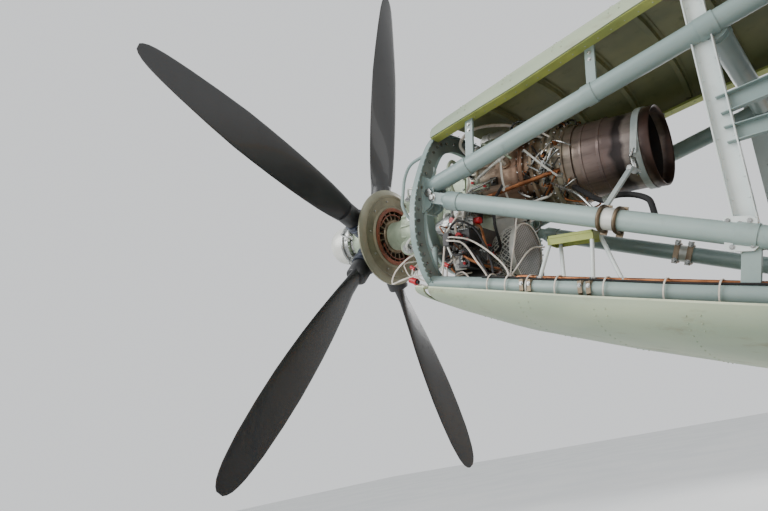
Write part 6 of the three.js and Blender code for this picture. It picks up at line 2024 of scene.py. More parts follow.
def makePanel():
    floor, face = hull["crewFloor"], panel["face"]
    bm = bmesh.new()
    addBox(bm, (-0.56, 0.42, 0.15), (0.56, face, 0.69), 0)
    addBox(bm, (-0.43, 0.42, 0.68), (0.43, face, 0.79), 0)
    addBox(bm, (-0.51, 0.40, 0.79), (0.51, 0.49, 0.802), 0)
    addBox(bm, (-0.16, 0.42, floor), (0.16, 0.78, 0.16), 0)
    rng = random.Random(panel["seed"])
    for z, count, first, pitch in panel["rows"]:
        for k in range(count):
            x = first + k * pitch
            radius = rng.choice(panel["dials"])
            addTurned(bm, [(radius, 0.0), (radius, 0.009), (radius * 0.86, 0.011),
                (radius * 0.82, 0.005), (radius * 0.82, 0.0), (radius, 0.0)], (x, face, z), (0, 1, 0),
                28, 1)
            addTurned(bm, [(0, 0.0), (radius * 0.82, 0.0), (radius * 0.82, 0.003), (0, 0.0032)],
                (x, face, z), (0, 1, 0), 28, 0)
            angle = rng.uniform(0, 6.28)
            addPlank(bm, (x, 0.4665, z), (x + math.cos(angle) * radius * 0.7, 0.4665,
                z + math.sin(angle) * radius * 0.7), 0.004, 0.0015,
                (math.sin(angle), 0, -math.cos(angle)), 2)
    for x in panel["levers"]:
        addBar(bm, (x, 0.66, 0.15), (x, 0.63, 0.27), 0.006, 12, 1)
        addBar(bm, (x, 0.632, 0.262), (x, 0.625, 0.30), 0.017, 16, 3 if abs(x) < 0.05 else 0)
    for s in (1, -1):
        x, y, z = s * panel["wheelX"], panel["wheelY"], panel["wheelZ"]
        addTube(bm, smoothPath([(x, 0.60, floor), (x, 0.64, -0.35), (x, 0.70, 0.0), (x, 0.71, 0.12)],
            20), 0.017, 16, 4)
        addBar(bm, (x, 0.66, z), (x, 0.75, z), 0.022, 20, 1)
        wheel = [(x + math.sin(a) * 0.14, y, z + math.cos(a) * 0.12)
            for a in (math.radians(40 + 280 * i / 40) for i in range(41))]
        addTube(bm, wheel, 0.012, 14, 5)
        addBar(bm, (x - 0.13, y, 0.10), (x + 0.13, y, 0.10), 0.009, 14, 1)
        for side in (-0.09, 0.09):
            addBox(bm, (x + side - 0.04, 0.50, -0.55), (x + side + 0.04, 0.53, -0.44), 1)
            addBar(bm, (x + side, 0.515, floor), (x + side, 0.515, -0.50), 0.01, 12, 1)
    finishPiece(bm, "cockpitPanel", "airframe",
        ["panelBlack", "steel", "wireWhite", "capRed", "grey", "blackPlastic"],
        ["instrument_panel"], sharp=35, bevel=0.0008)


# Firewall: a stiffened plate with fasteners along its edge. Grommets are x, z and radius.

firewall = {"posts": (-0.6, -0.34, -0.12, 0.12, 0.34, 0.6), "rails": (-0.30, 0.25),
    "grommets": ((0.22, 0.02, 0.06), (-0.22, 0.05, 0.06), (0.24, -0.5, 0.045), (-0.26, -0.45, 0.05))}


def makeFirewall():
    bm = bmesh.new()
    sweep(bm, [hullRing(0, -0.004), [Vector((p.x, 0.014, p.z)) for p in hullRing(0, -0.004)]], 0)
    for x in firewall["posts"]:
        addBox(bm, (x - 0.018, -0.011, -0.38 if abs(x) > 0.4 else -0.76),
            (x + 0.018, 0.002, 0.40 if abs(x) > 0.4 else 0.70), 0)
    for z in firewall["rails"]:
        addBox(bm, (-0.68, -0.009, z - 0.016), (0.68, 0.002, z + 0.016), 0)
    for x, z, radius in firewall["grommets"]:
        addTurned(bm, [(0, -0.018), (radius * 0.6, -0.018), (radius * 0.7, -0.012), (radius, -0.010),
            (radius, 0.002), (0, 0.002)], (x, 0, z), (0, 1, 0), 32, 1)
    finishPiece(bm, "firewallPlate", "airframe", ["grey", "steel"], ["firewall"],
        bevel=0.001)
    points = [(p, (0, -1, 0)) for p in hullRing(0, 0.022, 88)]
    points += [((x, -0.011, z), (0, -1, 0)) for x in firewall["posts"][1:-1]
        for z in [-0.7 + 0.1 * i for i in range(14)]]
    addStuds("firewallRivets", "airframe", points, "steel", 0.0055, 0.004, corners=12, taper=0.6)


makeFuselage()
makePortholes()
makeDoorParts()
makeHullRivets()
makeCanopy()
makeSeats()
makePanel()
makeFirewall()
print("fuselage made")


# Wings: fabric over ribs, cut away behind the rear spar where the hinged surfaces hang.

foil = ((1, 0.002), (0.85, 0.036), (0.7, 0.067), (0.5, 0.094), (0.3, 0.104), (0.16, 0.092),
    (0.07, 0.066), (0.02, 0.034), (0, 0), (0.02, -0.022), (0.07, -0.034), (0.2, -0.04), (0.5, -0.036),
    (0.7, -0.026), (0.85, -0.014), (1, -0.004))
wings = {
    "upper": {"lead": 1.3, "chord": 2.4, "z": 1.27, "dihedral": 3.0,
        "stations": ((0.9053, 1), (8.45, 1), (8.74, 0.95), (8.95, 0.84), (9.06, 0.66),
        (9.09, 0.45)), "bays": (("flap_upper", 1.15, 4.4), ("aileron", 4.42, 8.4))},
    "lower": {"lead": 1.35, "chord": 2.0, "z": -0.9, "dihedral": 4.2,
        "stations": ((1.3503, 1), (6.7, 1), (6.9, 0.94), (7.04, 0.82), (7.12, 0.5)),
        "bays": (("flap_lower", 1.5, 6.65),)},
}
hinge = {"share": 0.75, "nose": 0.0395, "lift": 0.0174, "clear": 0.012, "pin": 0.014}


def foilPoints():
    points = [Vector((a, b, 0)) for a, b in foil]
    return [(p.x, p.y) for p in smoothPath(points, 64)]


smoothFoil = foilPoints()


def wingRise(wing, x):
    return math.tan(math.radians(wing["dihedral"])) * max(0.0, abs(x) - 0.905)


def wingRing(wing, x, share, s):
    lead = wing["lead"] + (1 - share) * wing["chord"] * 0.42
    chord = wing["chord"] * share
    base = wing["z"] + wingRise(wing, x)
    return [Vector((s * x, lead + a * chord, base + b * chord)) for a, b in smoothFoil]


def wingStops(rows):
    stops = [rows[0]]
    for first, second in zip(rows, rows[1:]):
        count = max(2, int((second[0] - first[0]) / 0.9))
        for i in range(1, count + 1):
            t = i / count
            stops.append((first[0] + (second[0] - first[0]) * t, first[1] + (second[1] - first[1]) * t))
    return stops


def wingSolid(wing, rows, s):
    bm = bmesh.new()
    sweep(bm, [wingRing(wing, x, share, s) for x, share in wingStops(rows)])
    return tempObject(bm)


def spareFace(face):
    return 1 if face.normal.y > 0.97 else 0


def makeWings():
    for key in ("upper", "lower"):
        wing = wings[key]
        rear = wing["lead"] + (hinge["share"] - hinge["nose"]) * wing["chord"] - hinge["clear"]
        for name, s in sides:
            tools = [boxObject(*sided(s, (a, rear, -2), (b, rear + 3, 3))) for _, a, b in wing["bays"]]
            made = carve(wingSolid(wing, wing["stations"], s), tools)
            finishCarved(made, key + "Wing_" + name, "airframe", ["fabric", "inside"],
                (key + "_wing_" + name,), sharp=35, pick=spareFace)
            for surfaceName, a, b in wing["bays"]:
                makeSurface(surfaceName, wing, a, b, name, s)
    for name, s in sides:
        stub = carve(wingSolid(wings["lower"], ((0.42, 1), (1.35, 1)), s), [hullSolid(0.2, 5.0, -0.0006)])
        finishCarved(stub, "wingStub_" + name, "airframe", ["blue"],
            ("lower_wing_stub_" + name,), sharp=35)
    centre = dict(wings["upper"], dihedral=0.0)
    bm = bmesh.new()
    sweep(bm, [wingRing(centre, x, 1, 1) for x in (-0.905, -0.45, 0.0, 0.45, 0.905)])
    made = carve(tempObject(bm), [hullSolid(0.0, 4.6, -0.0006), boxObject((-1.0, 0, 0), (1.0, 1.66, 3))])
    finishCarved(made, "centreSection", "airframe", ["fabric"], ("upper_centre_section",),
        sharp=35)


# A hinged surface: round nose on the hinge line, foil behind it, and the pins that carry it.
def makeSurface(node, wing, start, end, name, s):
    hingeY = wing["lead"] + hinge["share"] * wing["chord"]
    reach = hinge["nose"] * wing["chord"]
    hingeZ = wing["z"] + hinge["lift"] * wing["chord"]
    top = [(a, b) for a, b in smoothFoil[:33] if a > hinge["share"] + 0.004]
    low = [(a, b) for a, b in smoothFoil[33:] if a > hinge["share"] + 0.004]
    rings = []
    first, last = start + hinge["clear"], end - hinge["clear"]
    count = max(2, int((last - first) / 0.5))
    for i in range(count + 1):
        x = first + (last - first) * i / count
        rise = wingRise(wing, x)
        ring = [Vector((s * x, wing["lead"] + a * wing["chord"],
            wing["z"] + rise + b * wing["chord"])) for a, b in top]
        for k in range(17):
            angle = math.pi * (0.5 + k / 16)
            ring.append(Vector((s * x, hingeY + math.cos(angle) * reach,
                hingeZ + rise + math.sin(angle) * reach)))
        ring += [Vector((s * x, wing["lead"] + a * wing["chord"],
            wing["z"] + rise + b * wing["chord"])) for a, b in low]
        rings.append(ring)
    bm = bmesh.new()
    sweep(bm, rings)
    inset = 0.0003 + hinge["pin"] * math.sin(math.radians(wing["dihedral"])) + 0.0005
    ends = [Vector((s * x, hingeY, hingeZ + wingRise(wing, x))) for x in (start + inset, end - inset)]
    addBar(bm, ends[0], ends[1], hinge["pin"], 20, 1)
    body = node + "_" + name
    finishPiece(bm, body + "_skin", body, ["fabric", "steel"], [body], sharp=35)


# Rib tapes stand a hair proud of the fabric: one tape swept over the foil, set at every rib by
# Geometry Nodes.

ribTapes = {"spacing": 0.34, "wide": 0.026, "proud": 0.0012}


def tapeTree():
    tree = bpy.data.node_groups.new("ribTapes", "GeometryNodeTree")
    face = tree.interface
    face.new_socket("Geometry", in_out="INPUT", socket_type="NodeSocketGeometry")
    face.new_socket("Tape", in_out="INPUT", socket_type="NodeSocketObject")
    face.new_socket("Material", in_out="INPUT", socket_type="NodeSocketMaterial")
    face.new_socket("Geometry", in_out="OUTPUT", socket_type="NodeSocketGeometry")
    inlet = addNode(tree, "NodeGroupInput").outputs
    outlet = addNode(tree, "NodeGroupOutput")
    source = addNode(tree, "GeometryNodeObjectInfo")
    place = addNode(tree, "GeometryNodeInstanceOnPoints")
    real = addNode(tree, "GeometryNodeRealizeInstances")
    coat = addNode(tree, "GeometryNodeSetMaterial")
    for start, end in ((inlet["Tape"], source.inputs["Object"]),
            (source.outputs["Geometry"], place.inputs["Instance"]),
            (inlet["Geometry"], place.inputs["Points"]), (place.outputs[0], real.inputs[0]),
            (real.outputs[0], coat.inputs["Geometry"]), (inlet["Material"], coat.inputs["Material"]),
            (coat.outputs[0], outlet.inputs[0])):
        tree.links.new(start, end)
    return tree


tapes = tapeTree()


def makeTapes():
    for key in ("upper", "lower"):
        wing = wings[key]
        inner = wing["stations"][0][0] + 0.12
        outer = wing["stations"][1][0] - 0.02
        limit = hinge["share"] - hinge["nose"] - 0.012
        points = [(a, b) for a, b in smoothFoil if a < limit]
        for name, s in sides:
            bm = bmesh.new()
            outline = [Vector((0, a * wing["chord"], b * wing["chord"])) for a, b in points]
            rings = []
            for i, point in enumerate(outline):
                before, after = outline[max(0, i - 1)], outline[min(len(outline) - 1, i + 1)]
                away = (after - before).cross(Vector((1, 0, 0))).normalized()
                away = away if away.z * (1 if i < len(outline) / 2 else -1) > 0 else -away
                half = Vector((ribTapes["wide"] / 2, 0, 0))
                rings.append([point - half - away * 0.001, point + half - away * 0.001,
                    point + half * 0.9 + away * ribTapes["proud"],
                    point - half * 0.9 + away * ribTapes["proud"]])
            sweep(bm, rings)
            tape = tempObject(bm, "tape")
            xs = []
            x = inner
            while x < outer:
                xs.append(x)
                x += ribTapes["spacing"]
            mesh = bpy.data.meshes.new("ribs")
            mesh.from_pydata([(s * x, wing["lead"], wing["z"] + wingRise(wing, x)) for x in xs], [], [])
            source = bpy.data.objects.new("ribs", mesh)
            bpy.context.scene.collection.objects.link(source)
            made = treeResult(source, tapes, {"Tape": tape, "Material": finishes["fabric"]})
            bpy.data.objects.remove(tape)
            made.transform(levelToRow)
            showMesh(made, key + "Tapes_" + name, "airframe", ["tapeCloth"], sharp=60)


# Struts, bracing and their end fittings.

struts = {"x": 4.85, "stations": ((-0.470, 1.620, 2.560, 0.045), (-0.250, 1.840, 2.310, 0.040),
    (0.0, 1.930, 2.200, 0.036), (0.950, 1.930, 2.200, 0.036), (1.220, 1.820, 2.330, 0.040),
    (1.440, 1.600, 2.640, 0.045))}
bracing = {"inX": 0.96, "inLow": -0.69, "inHigh": 1.195, "outLow": -0.43, "outHigh": 1.4,
    "flying": (1.7, 2.38), "landing": (1.9, 2.18)}


def skinZ(wing, x, y, upperSide):
    share = (y - wing["lead"]) / wing["chord"]
    half = smoothFoil[:33] if upperSide else smoothFoil[32:]
    best = min(half, key=lambda p: abs(p[0] - share))
    return wing["z"] + wingRise(wing, x) + best[1] * wing["chord"]


def makeStrut(name, s):
    bm = bmesh.new()
    rows = struts["stations"]
    path = smoothPath([Vector((row[1], row[2], row[3])) for row in rows], 48)
    heights = smoothPath([Vector((row[0], 0, 0)) for row in rows], 48)
    rings = []
    for sizes, height in zip(path, heights):
        front, rear, half = sizes
        ring = []
        for k in range(32):
            angle = 2 * math.pi * k / 32
            along = 0.5 - 0.5 * math.cos(angle)
            out = math.sin(angle) * half * (1.25 - 0.5 * along)
            z = height.x
            y = front + along * (rear - front)
            z = min(z, skinZ(wings["upper"], struts["x"], y, False) - 0.0005)
            z = max(z, skinZ(wings["lower"], struts["x"], y, True) + 0.0005)
            ring.append(Vector((s * struts["x"] + out, y, z)))
        rings.append(ring)
    sweep(bm, rings)
    finishPiece(bm, "strut_" + name, "airframe", ["blue"], ["interplane_strut_" + name],
        sharp=40)


# Flying and landing wires with their turnbuckles, and the bar that ties them where they cross.

def makeBracing(name, s):
    wires = bmesh.new()
    inX, inLow, inHigh = bracing["inX"], bracing["inLow"], bracing["inHigh"]
    outX, outLow, outHigh = struts["x"] - 0.11, bracing["outLow"], bracing["outHigh"]
    cross = (inHigh - inLow) / (inHigh - inLow + outHigh - outLow)
    crossX = inX + cross * (outX - inX)
    crossZ = inLow + cross * (outHigh - inLow)
    runs = [(y, inLow, outHigh) for y in bracing["flying"]]
    runs += [(y, inHigh, outLow) for y in bracing["landing"]]
    for y, z0, z1 in runs:
        a, b = Vector((s * inX, y, z0)), Vector((s * outX, y, z1))
        along = (b - a).normalized()
        addBar(wires, a + along * 0.02, b - along * 0.04, 0.0075, 14, 0)
        for point, direction in ((a + along * 0.12, along), (b - along * 0.16, -along)):
            addTube(wires, [point - direction * 0.06, point - direction * 0.045,
                point + direction * 0.045, point + direction * 0.06], 0.015, 14, 0,
                radii=[0.008, 0.0145, 0.0145, 0.008])
        addPlank(wires, a - along * 0.01, a + along * 0.07, 0.034, 0.016, (0, 1, 0), 0)
        addPlank(wires, b + along * 0.004, b - along * 0.09, 0.034, 0.016, (0, 1, 0), 0)
    addBar(wires, (s * crossX, 1.67, crossZ), (s * crossX, 2.41, crossZ), 0.014, 20, 1)
    for y in sorted(bracing["flying"] + bracing["landing"]):
        addBar(wires, (s * crossX, y - 0.02, crossZ), (s * crossX, y + 0.02, crossZ), 0.019, 16, 0)
    finishPiece(wires, "bracingWires_" + name, "airframe", ["steel", "grey"],
        ["bracing_" + name], sharp=40)


def makeStruts():
    for name, s in sides:
        makeStrut(name, s)
        makeBracing(name, s)


# Landing gear: a faired main leg with its brace tubes, axle, brake and hose, and wheels with
# grooved tyres and slotted rims. A brace is x, y and z of its upper end and its radius.

gear = {"axle": (1.080, -2.020), "wheelX": 1.68, "radius": 0.4, "width": 0.25, "rim": 0.2,
    "slots": 8, "legTop": (1.13, 1.56, -0.935), "legFoot": (1.462, 0.035, -1.93),
    "braces": ((1.15, 2.45, -0.935, 0.034), (0.64, 1.5, -0.945, 0.04))}


def makeGear():
    axleY, axleZ = gear["axle"]
    for name, s in sides:
        bm = bmesh.new()
        x, y, z = gear["legTop"]
        top = Vector((s * x, y, z))
        x, y, z = gear["legFoot"]
        foot = Vector((s * x, axleY + y, z))
        along = (foot - top).normalized()
        span = (foot - top).length
        addTube(bm, [top + along * d for d in (0, 0.05, 0.55, 0.62)], 0.1, 40, 0,
            radii=[0.112, 0.110, 0.098, 0.086])
        addTube(bm, [top + along * d for d in (0.60, 0.615, span - 0.13)], 0.07, 36, 2,
            radii=[0.06, 0.07, 0.07])
        addTube(bm, [top + along * d for d in (0.59, 0.6, 0.66, 0.67)], 0.08, 40, 1,
            radii=[0.086, 0.092, 0.092, 0.08])
        addTube(bm, [top + along * d for d in (span - 0.15, span - 0.135, span, span + 0.06)], 0.09, 36,
            0, radii=[0.075, 0.088, 0.09, 0.06])
        side = Vector((0, 1, 0))
        knee = top + along * (span - 0.33) + side * 0.16
        for end in (top + along * 0.66 + side * 0.07, top + along * (span - 0.08) + side * 0.07):
            for offset in (-0.035, 0.035):
                shift = Vector((offset, 0, 0))
                addPlank(bm, end + shift, knee + shift, 0.045, 0.014, (0, 0.4, 1), 1)
        addBar(bm, knee - Vector((0.05, 0, 0)), knee + Vector((0.05, 0, 0)), 0.016, 20, 3)
        for x, y, z, radius in gear["braces"]:
            start = Vector((s * x, y, z))
            end = Vector((s * 1.475, axleY + 0.01, axleZ))
            reach = (end - start).normalized()
            length = (end - start).length
            addTube(bm, [start + reach * d for d in (0, 0.05, 0.12, length - 0.22, length - 0.1,
                length)], radius, 28, 4, radii=[radius * 0.7, radius * 0.8, radius, radius,
                radius * 0.8, radius * 0.8])
            addBar(bm, end - reach * 0.11 - side * 0.05, end - reach * 0.11 + side * 0.05, 0.018, 20, 3)
            addTurned(bm, [(radius, -0.02), (radius + 0.008, -0.02), (radius + 0.008, 0.02),
                (radius, 0.02), (radius, -0.02)], start + reach * 0.5, reach, 28, 3)
        addBar(bm, (s * 1.42, axleY, axleZ), (s * (gear["wheelX"] + 0.112), axleY, axleZ), 0.0375, 32, 3)
        addBar(bm, (s * (gear["wheelX"] + 0.09), axleY, axleZ),
            (s * (gear["wheelX"] + 0.108), axleY, axleZ), 0.055, 32, 1)
        for k in range(6):
            angle = 2 * math.pi * k / 6
            addBolt(bm, (s * (gear["wheelX"] + 0.108), axleY + math.cos(angle) * 0.042,
                axleZ + math.sin(angle) * 0.042), (s, 0, 0), 0.006, 0.006, 3)
        hose = [top + along * d + Vector((0, -1, 0)) * f
            for d, f in ((0.1, 0.112), (0.4, 0.112), (0.66, 0.10), (0.85, 0.10), (span - 0.1, 0.10))]
        hose.append(Vector((s * 1.50, axleY - 0.03, axleZ + 0.03)))
        addTube(bm, smoothPath(hose, 36), 0.008, 12, 5)
        finishPiece(bm, "gearLeg_" + name, "airframe",
            ["lightBlue", "grey", "chrome", "steel", "legGrey", "rubber"],
            ["gear_leg_" + name], sharp=38, bevel=0.0012)
        makeWheel("main", Vector((s * gear["wheelX"], axleY, axleZ)), gear["radius"], gear["width"],
            gear["rim"], 0.0393, 0.088, "main_wheel_" + name, "_" + name)


def makeTyre(kind, centre, groundRadius, half, rimRadius, body, suffix):
    tread = groundRadius - 0.0005
    bm = bmesh.new()
    rows = [(rimRadius + 0.001, -half * 0.7), (rimRadius + 0.018, -half * 0.86),
        (groundRadius * 0.72, -half * 0.985), (groundRadius * 0.80, -half * 0.99),
        (groundRadius * 0.90, -half * 0.90), (groundRadius * 0.955, -half * 0.74),
        (tread - 0.004, -half * 0.52), (tread, -half * 0.42)]
    for groove in (-0.26, 0.0, 0.26):
        at = groove * half
        rows += [(tread, at - 0.007), (tread - 0.007, at - 0.005), (tread - 0.007, at + 0.005),
            (tread, at + 0.007)]
    mirrored = [(r, -x) for r, x in rows[:8][::-1]]
    rows = rows + mirrored + [rows[0]]
    addTurned(bm, rows, centre, (1, 0, 0), 144, 0)
    for side in (-1, 1):
        x = side * half * 0.965
        addTurned(bm, [(groundRadius * 0.75, x), (groundRadius * 0.76, x + side * 0.004),
            (groundRadius * 0.775, x), (groundRadius * 0.76, x - side * 0.01),
            (groundRadius * 0.75, x)], centre, (1, 0, 0), 96, 0)
    finishPiece(bm, kind + "Tyre" + suffix, body, ["rubber"], [kind + "_tyre" + suffix],
        sharp=30)


# Turned rim with oval slots cut through its web.

def makeRim(kind, centre, half, rimRadius, bore, hubHalf, body, suffix):
    bm = bmesh.new()
    web = half * 0.26
    addTurned(bm, [(bore, -hubHalf), (bore + 0.022, -hubHalf), (bore + 0.028, -hubHalf + 0.006),
        (bore + 0.030, -web * 1.7), (rimRadius * 0.55, -web * 1.15), (rimRadius * 0.80, -web),
        (rimRadius * 0.86, -web * 1.8), (rimRadius * 0.90, -half * 0.62),
        (rimRadius * 0.93, -half * 0.66), (rimRadius, -half * 0.66), (rimRadius, half * 0.66),
        (rimRadius * 0.93, half * 0.66), (rimRadius * 0.90, half * 0.62), (rimRadius * 0.86, web * 1.8),
        (rimRadius * 0.80, web), (rimRadius * 0.55, web * 1.15), (bore + 0.030, web * 1.7),
        (bore + 0.028, hubHalf - 0.006), (bore + 0.022, hubHalf), (bore, hubHalf),
        (bore, -hubHalf)], centre, (1, 0, 0), 96, 0)
    rimTools = []
    for k in range(gear["slots"]):
        angle = 2 * math.pi * (k + 0.5) / gear["slots"]
        out = Vector((0, math.cos(angle), math.sin(angle)))
        middle = centre + out * rimRadius * 0.63
        slot = bmesh.new()
        tangent = Vector((0, -math.sin(angle), math.cos(angle)))
        ring = []
        for i in range(20):
            turn = 2 * math.pi * i / 20
            ring.append(middle + tangent * math.cos(turn) * rimRadius * 0.13 + out * math.sin(turn)
                * rimRadius * 0.085)
        sweep(slot, [[p + Vector((x, 0, 0)) for p in ring] for x in (-0.2, 0.2)])
        rimTools.append(tempObject(slot))
    rim = carve(tempObject(bm), rimTools)
    finishCarved(rim, kind + "Rim" + suffix, body, ["rim"], (kind + "_rim" + suffix,),
        sharp=32)
    points = []
    for side in (-1, 1):
        points += boltCircle(centre + Vector((side * web * 1.25, 0, 0)), (side, 0, 0), rimRadius * 0.43, 8)
        points += boltCircle(centre + Vector((side * web, 0, 0)), (side, 0, 0), rimRadius * 0.80,
            16 if kind == "main" else 8, phase=math.pi / 8)
    addStuds(kind + "RimBolts" + suffix, body, points, "steel", rimRadius * 0.028, rimRadius * 0.035)


def makeWheel(kind, centre, groundRadius, width, rimRadius, bore, hubHalf, body, suffix):
    makeTyre(kind, centre, groundRadius, width / 2, rimRadius, body, suffix)
    makeRim(kind, centre, width / 2, rimRadius, bore, hubHalf, body, suffix)


# Tail: wheel fork, fin, tailplanes, rudder with its horn, and elevator with its tube.

tailGear = {"radius": 0.235, "width": 0.19, "rim": 0.11, "armX": 0.128, "pivotY": -0.11}


def makeTailGear():
    centre = Vector(stand["tailWheel"])
    local = Matrix.Translation(centre) @ Matrix.Rotation(math.radians(stand["lean"]), 4, "X")
    armX, pivotY = tailGear["armX"], tailGear["pivotY"]
    bm = bmesh.new()
    addBar(bm, (-0.142, 0, 0), (0.142, 0, 0), 0.0178, 28, 1)
    for s in (-1, 1):
        addPlank(bm, (s * armX, -0.112, 0.262), (s * armX, 0.0, -0.004), 0.075, 0.021, (0, 1, 0), 0)
        addBar(bm, (s * 0.1165, 0, 0), (s * 0.1395, 0, 0), 0.036, 32, 0)
        addBar(bm, (s * 0.139, 0, 0), (s * 0.1455, 0, 0), 0.022, 6, 1)
    addBox(bm, (-0.1395, -0.158, 0.2485), (0.1395, -0.062, 0.2735), 0)
    addBar(bm, (0, pivotY, 0.27), (0, pivotY, 0.2918), 0.034, 32, 1)
    for x in (-0.1, 0.1):
        for y in (-0.135, -0.085):
            addBolt(bm, (x, y, 0.2735), (0, 0, 1), 0.009, 0.009, 1)
    finishPiece(bm, "tailForkArms", "tail_wheel_fork", ["grey", "steel"], ["tail_fork"],
        sharp=35, bevel=0.0015, place=levelToRow @ local)
    makeWheel("tail", centre, tailGear["radius"], tailGear["width"], tailGear["rim"], 0.0193,
        0.092, "tail_wheel", "")


# Fin and rudder rows are height, edge and half thickness; tailplane rows are distance out, both
# edges and half thickness.
tail = {
    "rudderY": 10.05, "elevatorY": 9.93, "planeZ": 0.8, "clear": 0.012,
    "fin": ((0.7, 8.35, 0.062), (1.0, 8.42, 0.062), (1.75, 8.78, 0.054), (2.35, 9.13, 0.042),
        (2.68, 9.40, 0.032), (2.86, 9.64, 0.022), (2.93, 9.85, 0.012)),
    "rudder": ((0.33, 10.56, 0.044), (0.52, 10.76, 0.048), (1.0, 10.90, 0.050), (1.75, 10.90, 0.046),
        (2.3, 10.78, 0.038), (2.65, 10.56, 0.030), (2.85, 10.33, 0.020), (2.93, 10.15, 0.012)),
    "plane": ((0, 8.56, 10.64), (2.5, 8.86, 10.60), (3.25, 9.0, 10.52), (3.48, 9.13, 10.40),
        (3.59, 9.32, 10.20)),
    "planeHalf": (0.078, 0.062, 0.050, 0.038, 0.020),
    "bay": (0.19, 3.3),
    "strut": ((0.30, 9.0784, 0.1637), (1.75, 9.25, 0.79)),
}
planeFoil = smoothPath([(0, 0, 0), (0.06, 0.5, 0), (0.2, 0.9, 0), (0.4, 1, 0), (0.65, 0.72, 0),
    (1, 0.04, 0)], 40)


def planeHeight(share):
    for a, b in zip(planeFoil, planeFoil[1:]):
        if b.x >= share:
            return a.y + (b.y - a.y) * (share - a.x) / (b.x - a.x)
    return planeFoil[-1].y


def planeRows():
    halves = smoothPath([(h, 0, 0) for h in tail["planeHalf"]], 40)
    return [(row.x, row.y, row.z, half.x) for row, half in zip(smoothPath(tail["plane"], 40), halves)]


def makeFin():
    rear = tail["rudderY"] - 0.06 - tail["clear"]
    side = smoothPath([(1, 0.82, 0), (0.7, 1, 0), (0.3, 1, 0), (0.08, 0.5, 0), (0, 0, 0),
        (0.08, -0.5, 0), (0.3, -1, 0), (0.7, -1, 0), (1, -0.82, 0)], 32)
    rows = [Vector((0.2, 9.65, 0.04))] + smoothPath(tail["fin"], 48)
    bm = bmesh.new()
    sweep(bm, [[Vector((p.y * half, lead + p.x * (rear - lead), z)) for p in side]
        for z, lead, half in rows])
    tube = bmesh.new()
    addBar(tube, (-0.3, tail["elevatorY"], tail["planeZ"]),
        (0.3, tail["elevatorY"], tail["planeZ"]), 0.036, 28)
    fin = carve(tempObject(bm), [hullSolid(7.5, 9.8, -0.0006), tempObject(tube)])
    finishCarved(fin, "finSkin", "airframe", ["finFabric"], ("fin",), sharp=34)
    bm = bmesh.new()
    addBox(bm, (-0.036, 9.83, 0.27), (0.036, 10.09, 0.312), 0)
    finishPiece(bm, "rudderLug", "airframe", ["grey"], bevel=0.002)
    bm = bmesh.new()
    rings = []
    for z, trail, half in smoothPath(tail["rudder"], 56):
        nose = [math.pi * (0.5 + k / 16) for k in range(17)]
        ring = [Vector((half * 0.95 * math.sin(a), tail["rudderY"] + half * 0.95 * math.cos(a), z))
            for a in nose]
        rings.append(ring + [Vector((-0.003, trail, z)), Vector((0.003, trail, z))])
    sweep(bm, rings)
    addBar(bm, (0, tail["rudderY"], 0.3123), (0, tail["rudderY"], 0.34), 0.016, 20, 1)
    finishPiece(bm, "rudderSkin", "rudder", ["finFabric", "steel"], ["rudder"], sharp=34)


def makeTailplane(name, s):
    start, end = tail["bay"]
    z0, rear = tail["planeZ"], tail["elevatorY"] - 0.048 - tail["clear"]
    bm = bmesh.new()
    rings = []
    for x, lead, trail, half in planeRows():
        top = [Vector((s * x, lead + p.x * (trail - lead), z0 + p.y * half)) for p in planeFoil]
        low = [Vector((s * x, lead + p.x * (trail - lead), z0 - p.y * half)) for p in planeFoil[:0:-1]]
        rings.append(top + low)
    sweep(bm, rings)
    spans = [sorted((s * a, s * b)) for a, b in ((-0.01, end), (0, start - 0.03))]
    plane = carve(tempObject(bm), [hullSolid(7.5, 9.8, -0.0006),
        boxObject((-0.07, 8, 0), (0.07, 12, 2)),
        boxObject((spans[0][0], rear, 0), (spans[0][1], 12, 2)),
        boxObject((spans[1][0], rear - 0.06, 0), (spans[1][1], 12, 2))])
    finishCarved(plane, "tailplaneSkin_" + name, "airframe", ["tailFabric", "inside"],
        ("tailplane_" + name,), sharp=34, pick=spareFace)


def makeTailStrut(name, s):
    bm = bmesh.new()
    a, b = (Vector((s * x, y, z)) for x, y, z in tail["strut"])
    along = (b - a).normalized()
    wide = (Vector((0, 1, 0)) - along * along.y).normalized()
    thick = along.cross(wide)
    sweep(bm, [[p + wide * math.cos(t) * 0.035 + thick * math.sin(t) * 0.013
        * (1.15 - 0.3 * math.cos(t + math.pi)) for t in [2 * math.pi * k / 24 for k in range(24)]]
        for p in (a, b)])
    finishPiece(bm, "tailStrut_" + name, "airframe", ["yellow"], sharp=40)


# Half of the elevator: a round nose in the tailplane's bay and an inner corner cut off for the rudder.

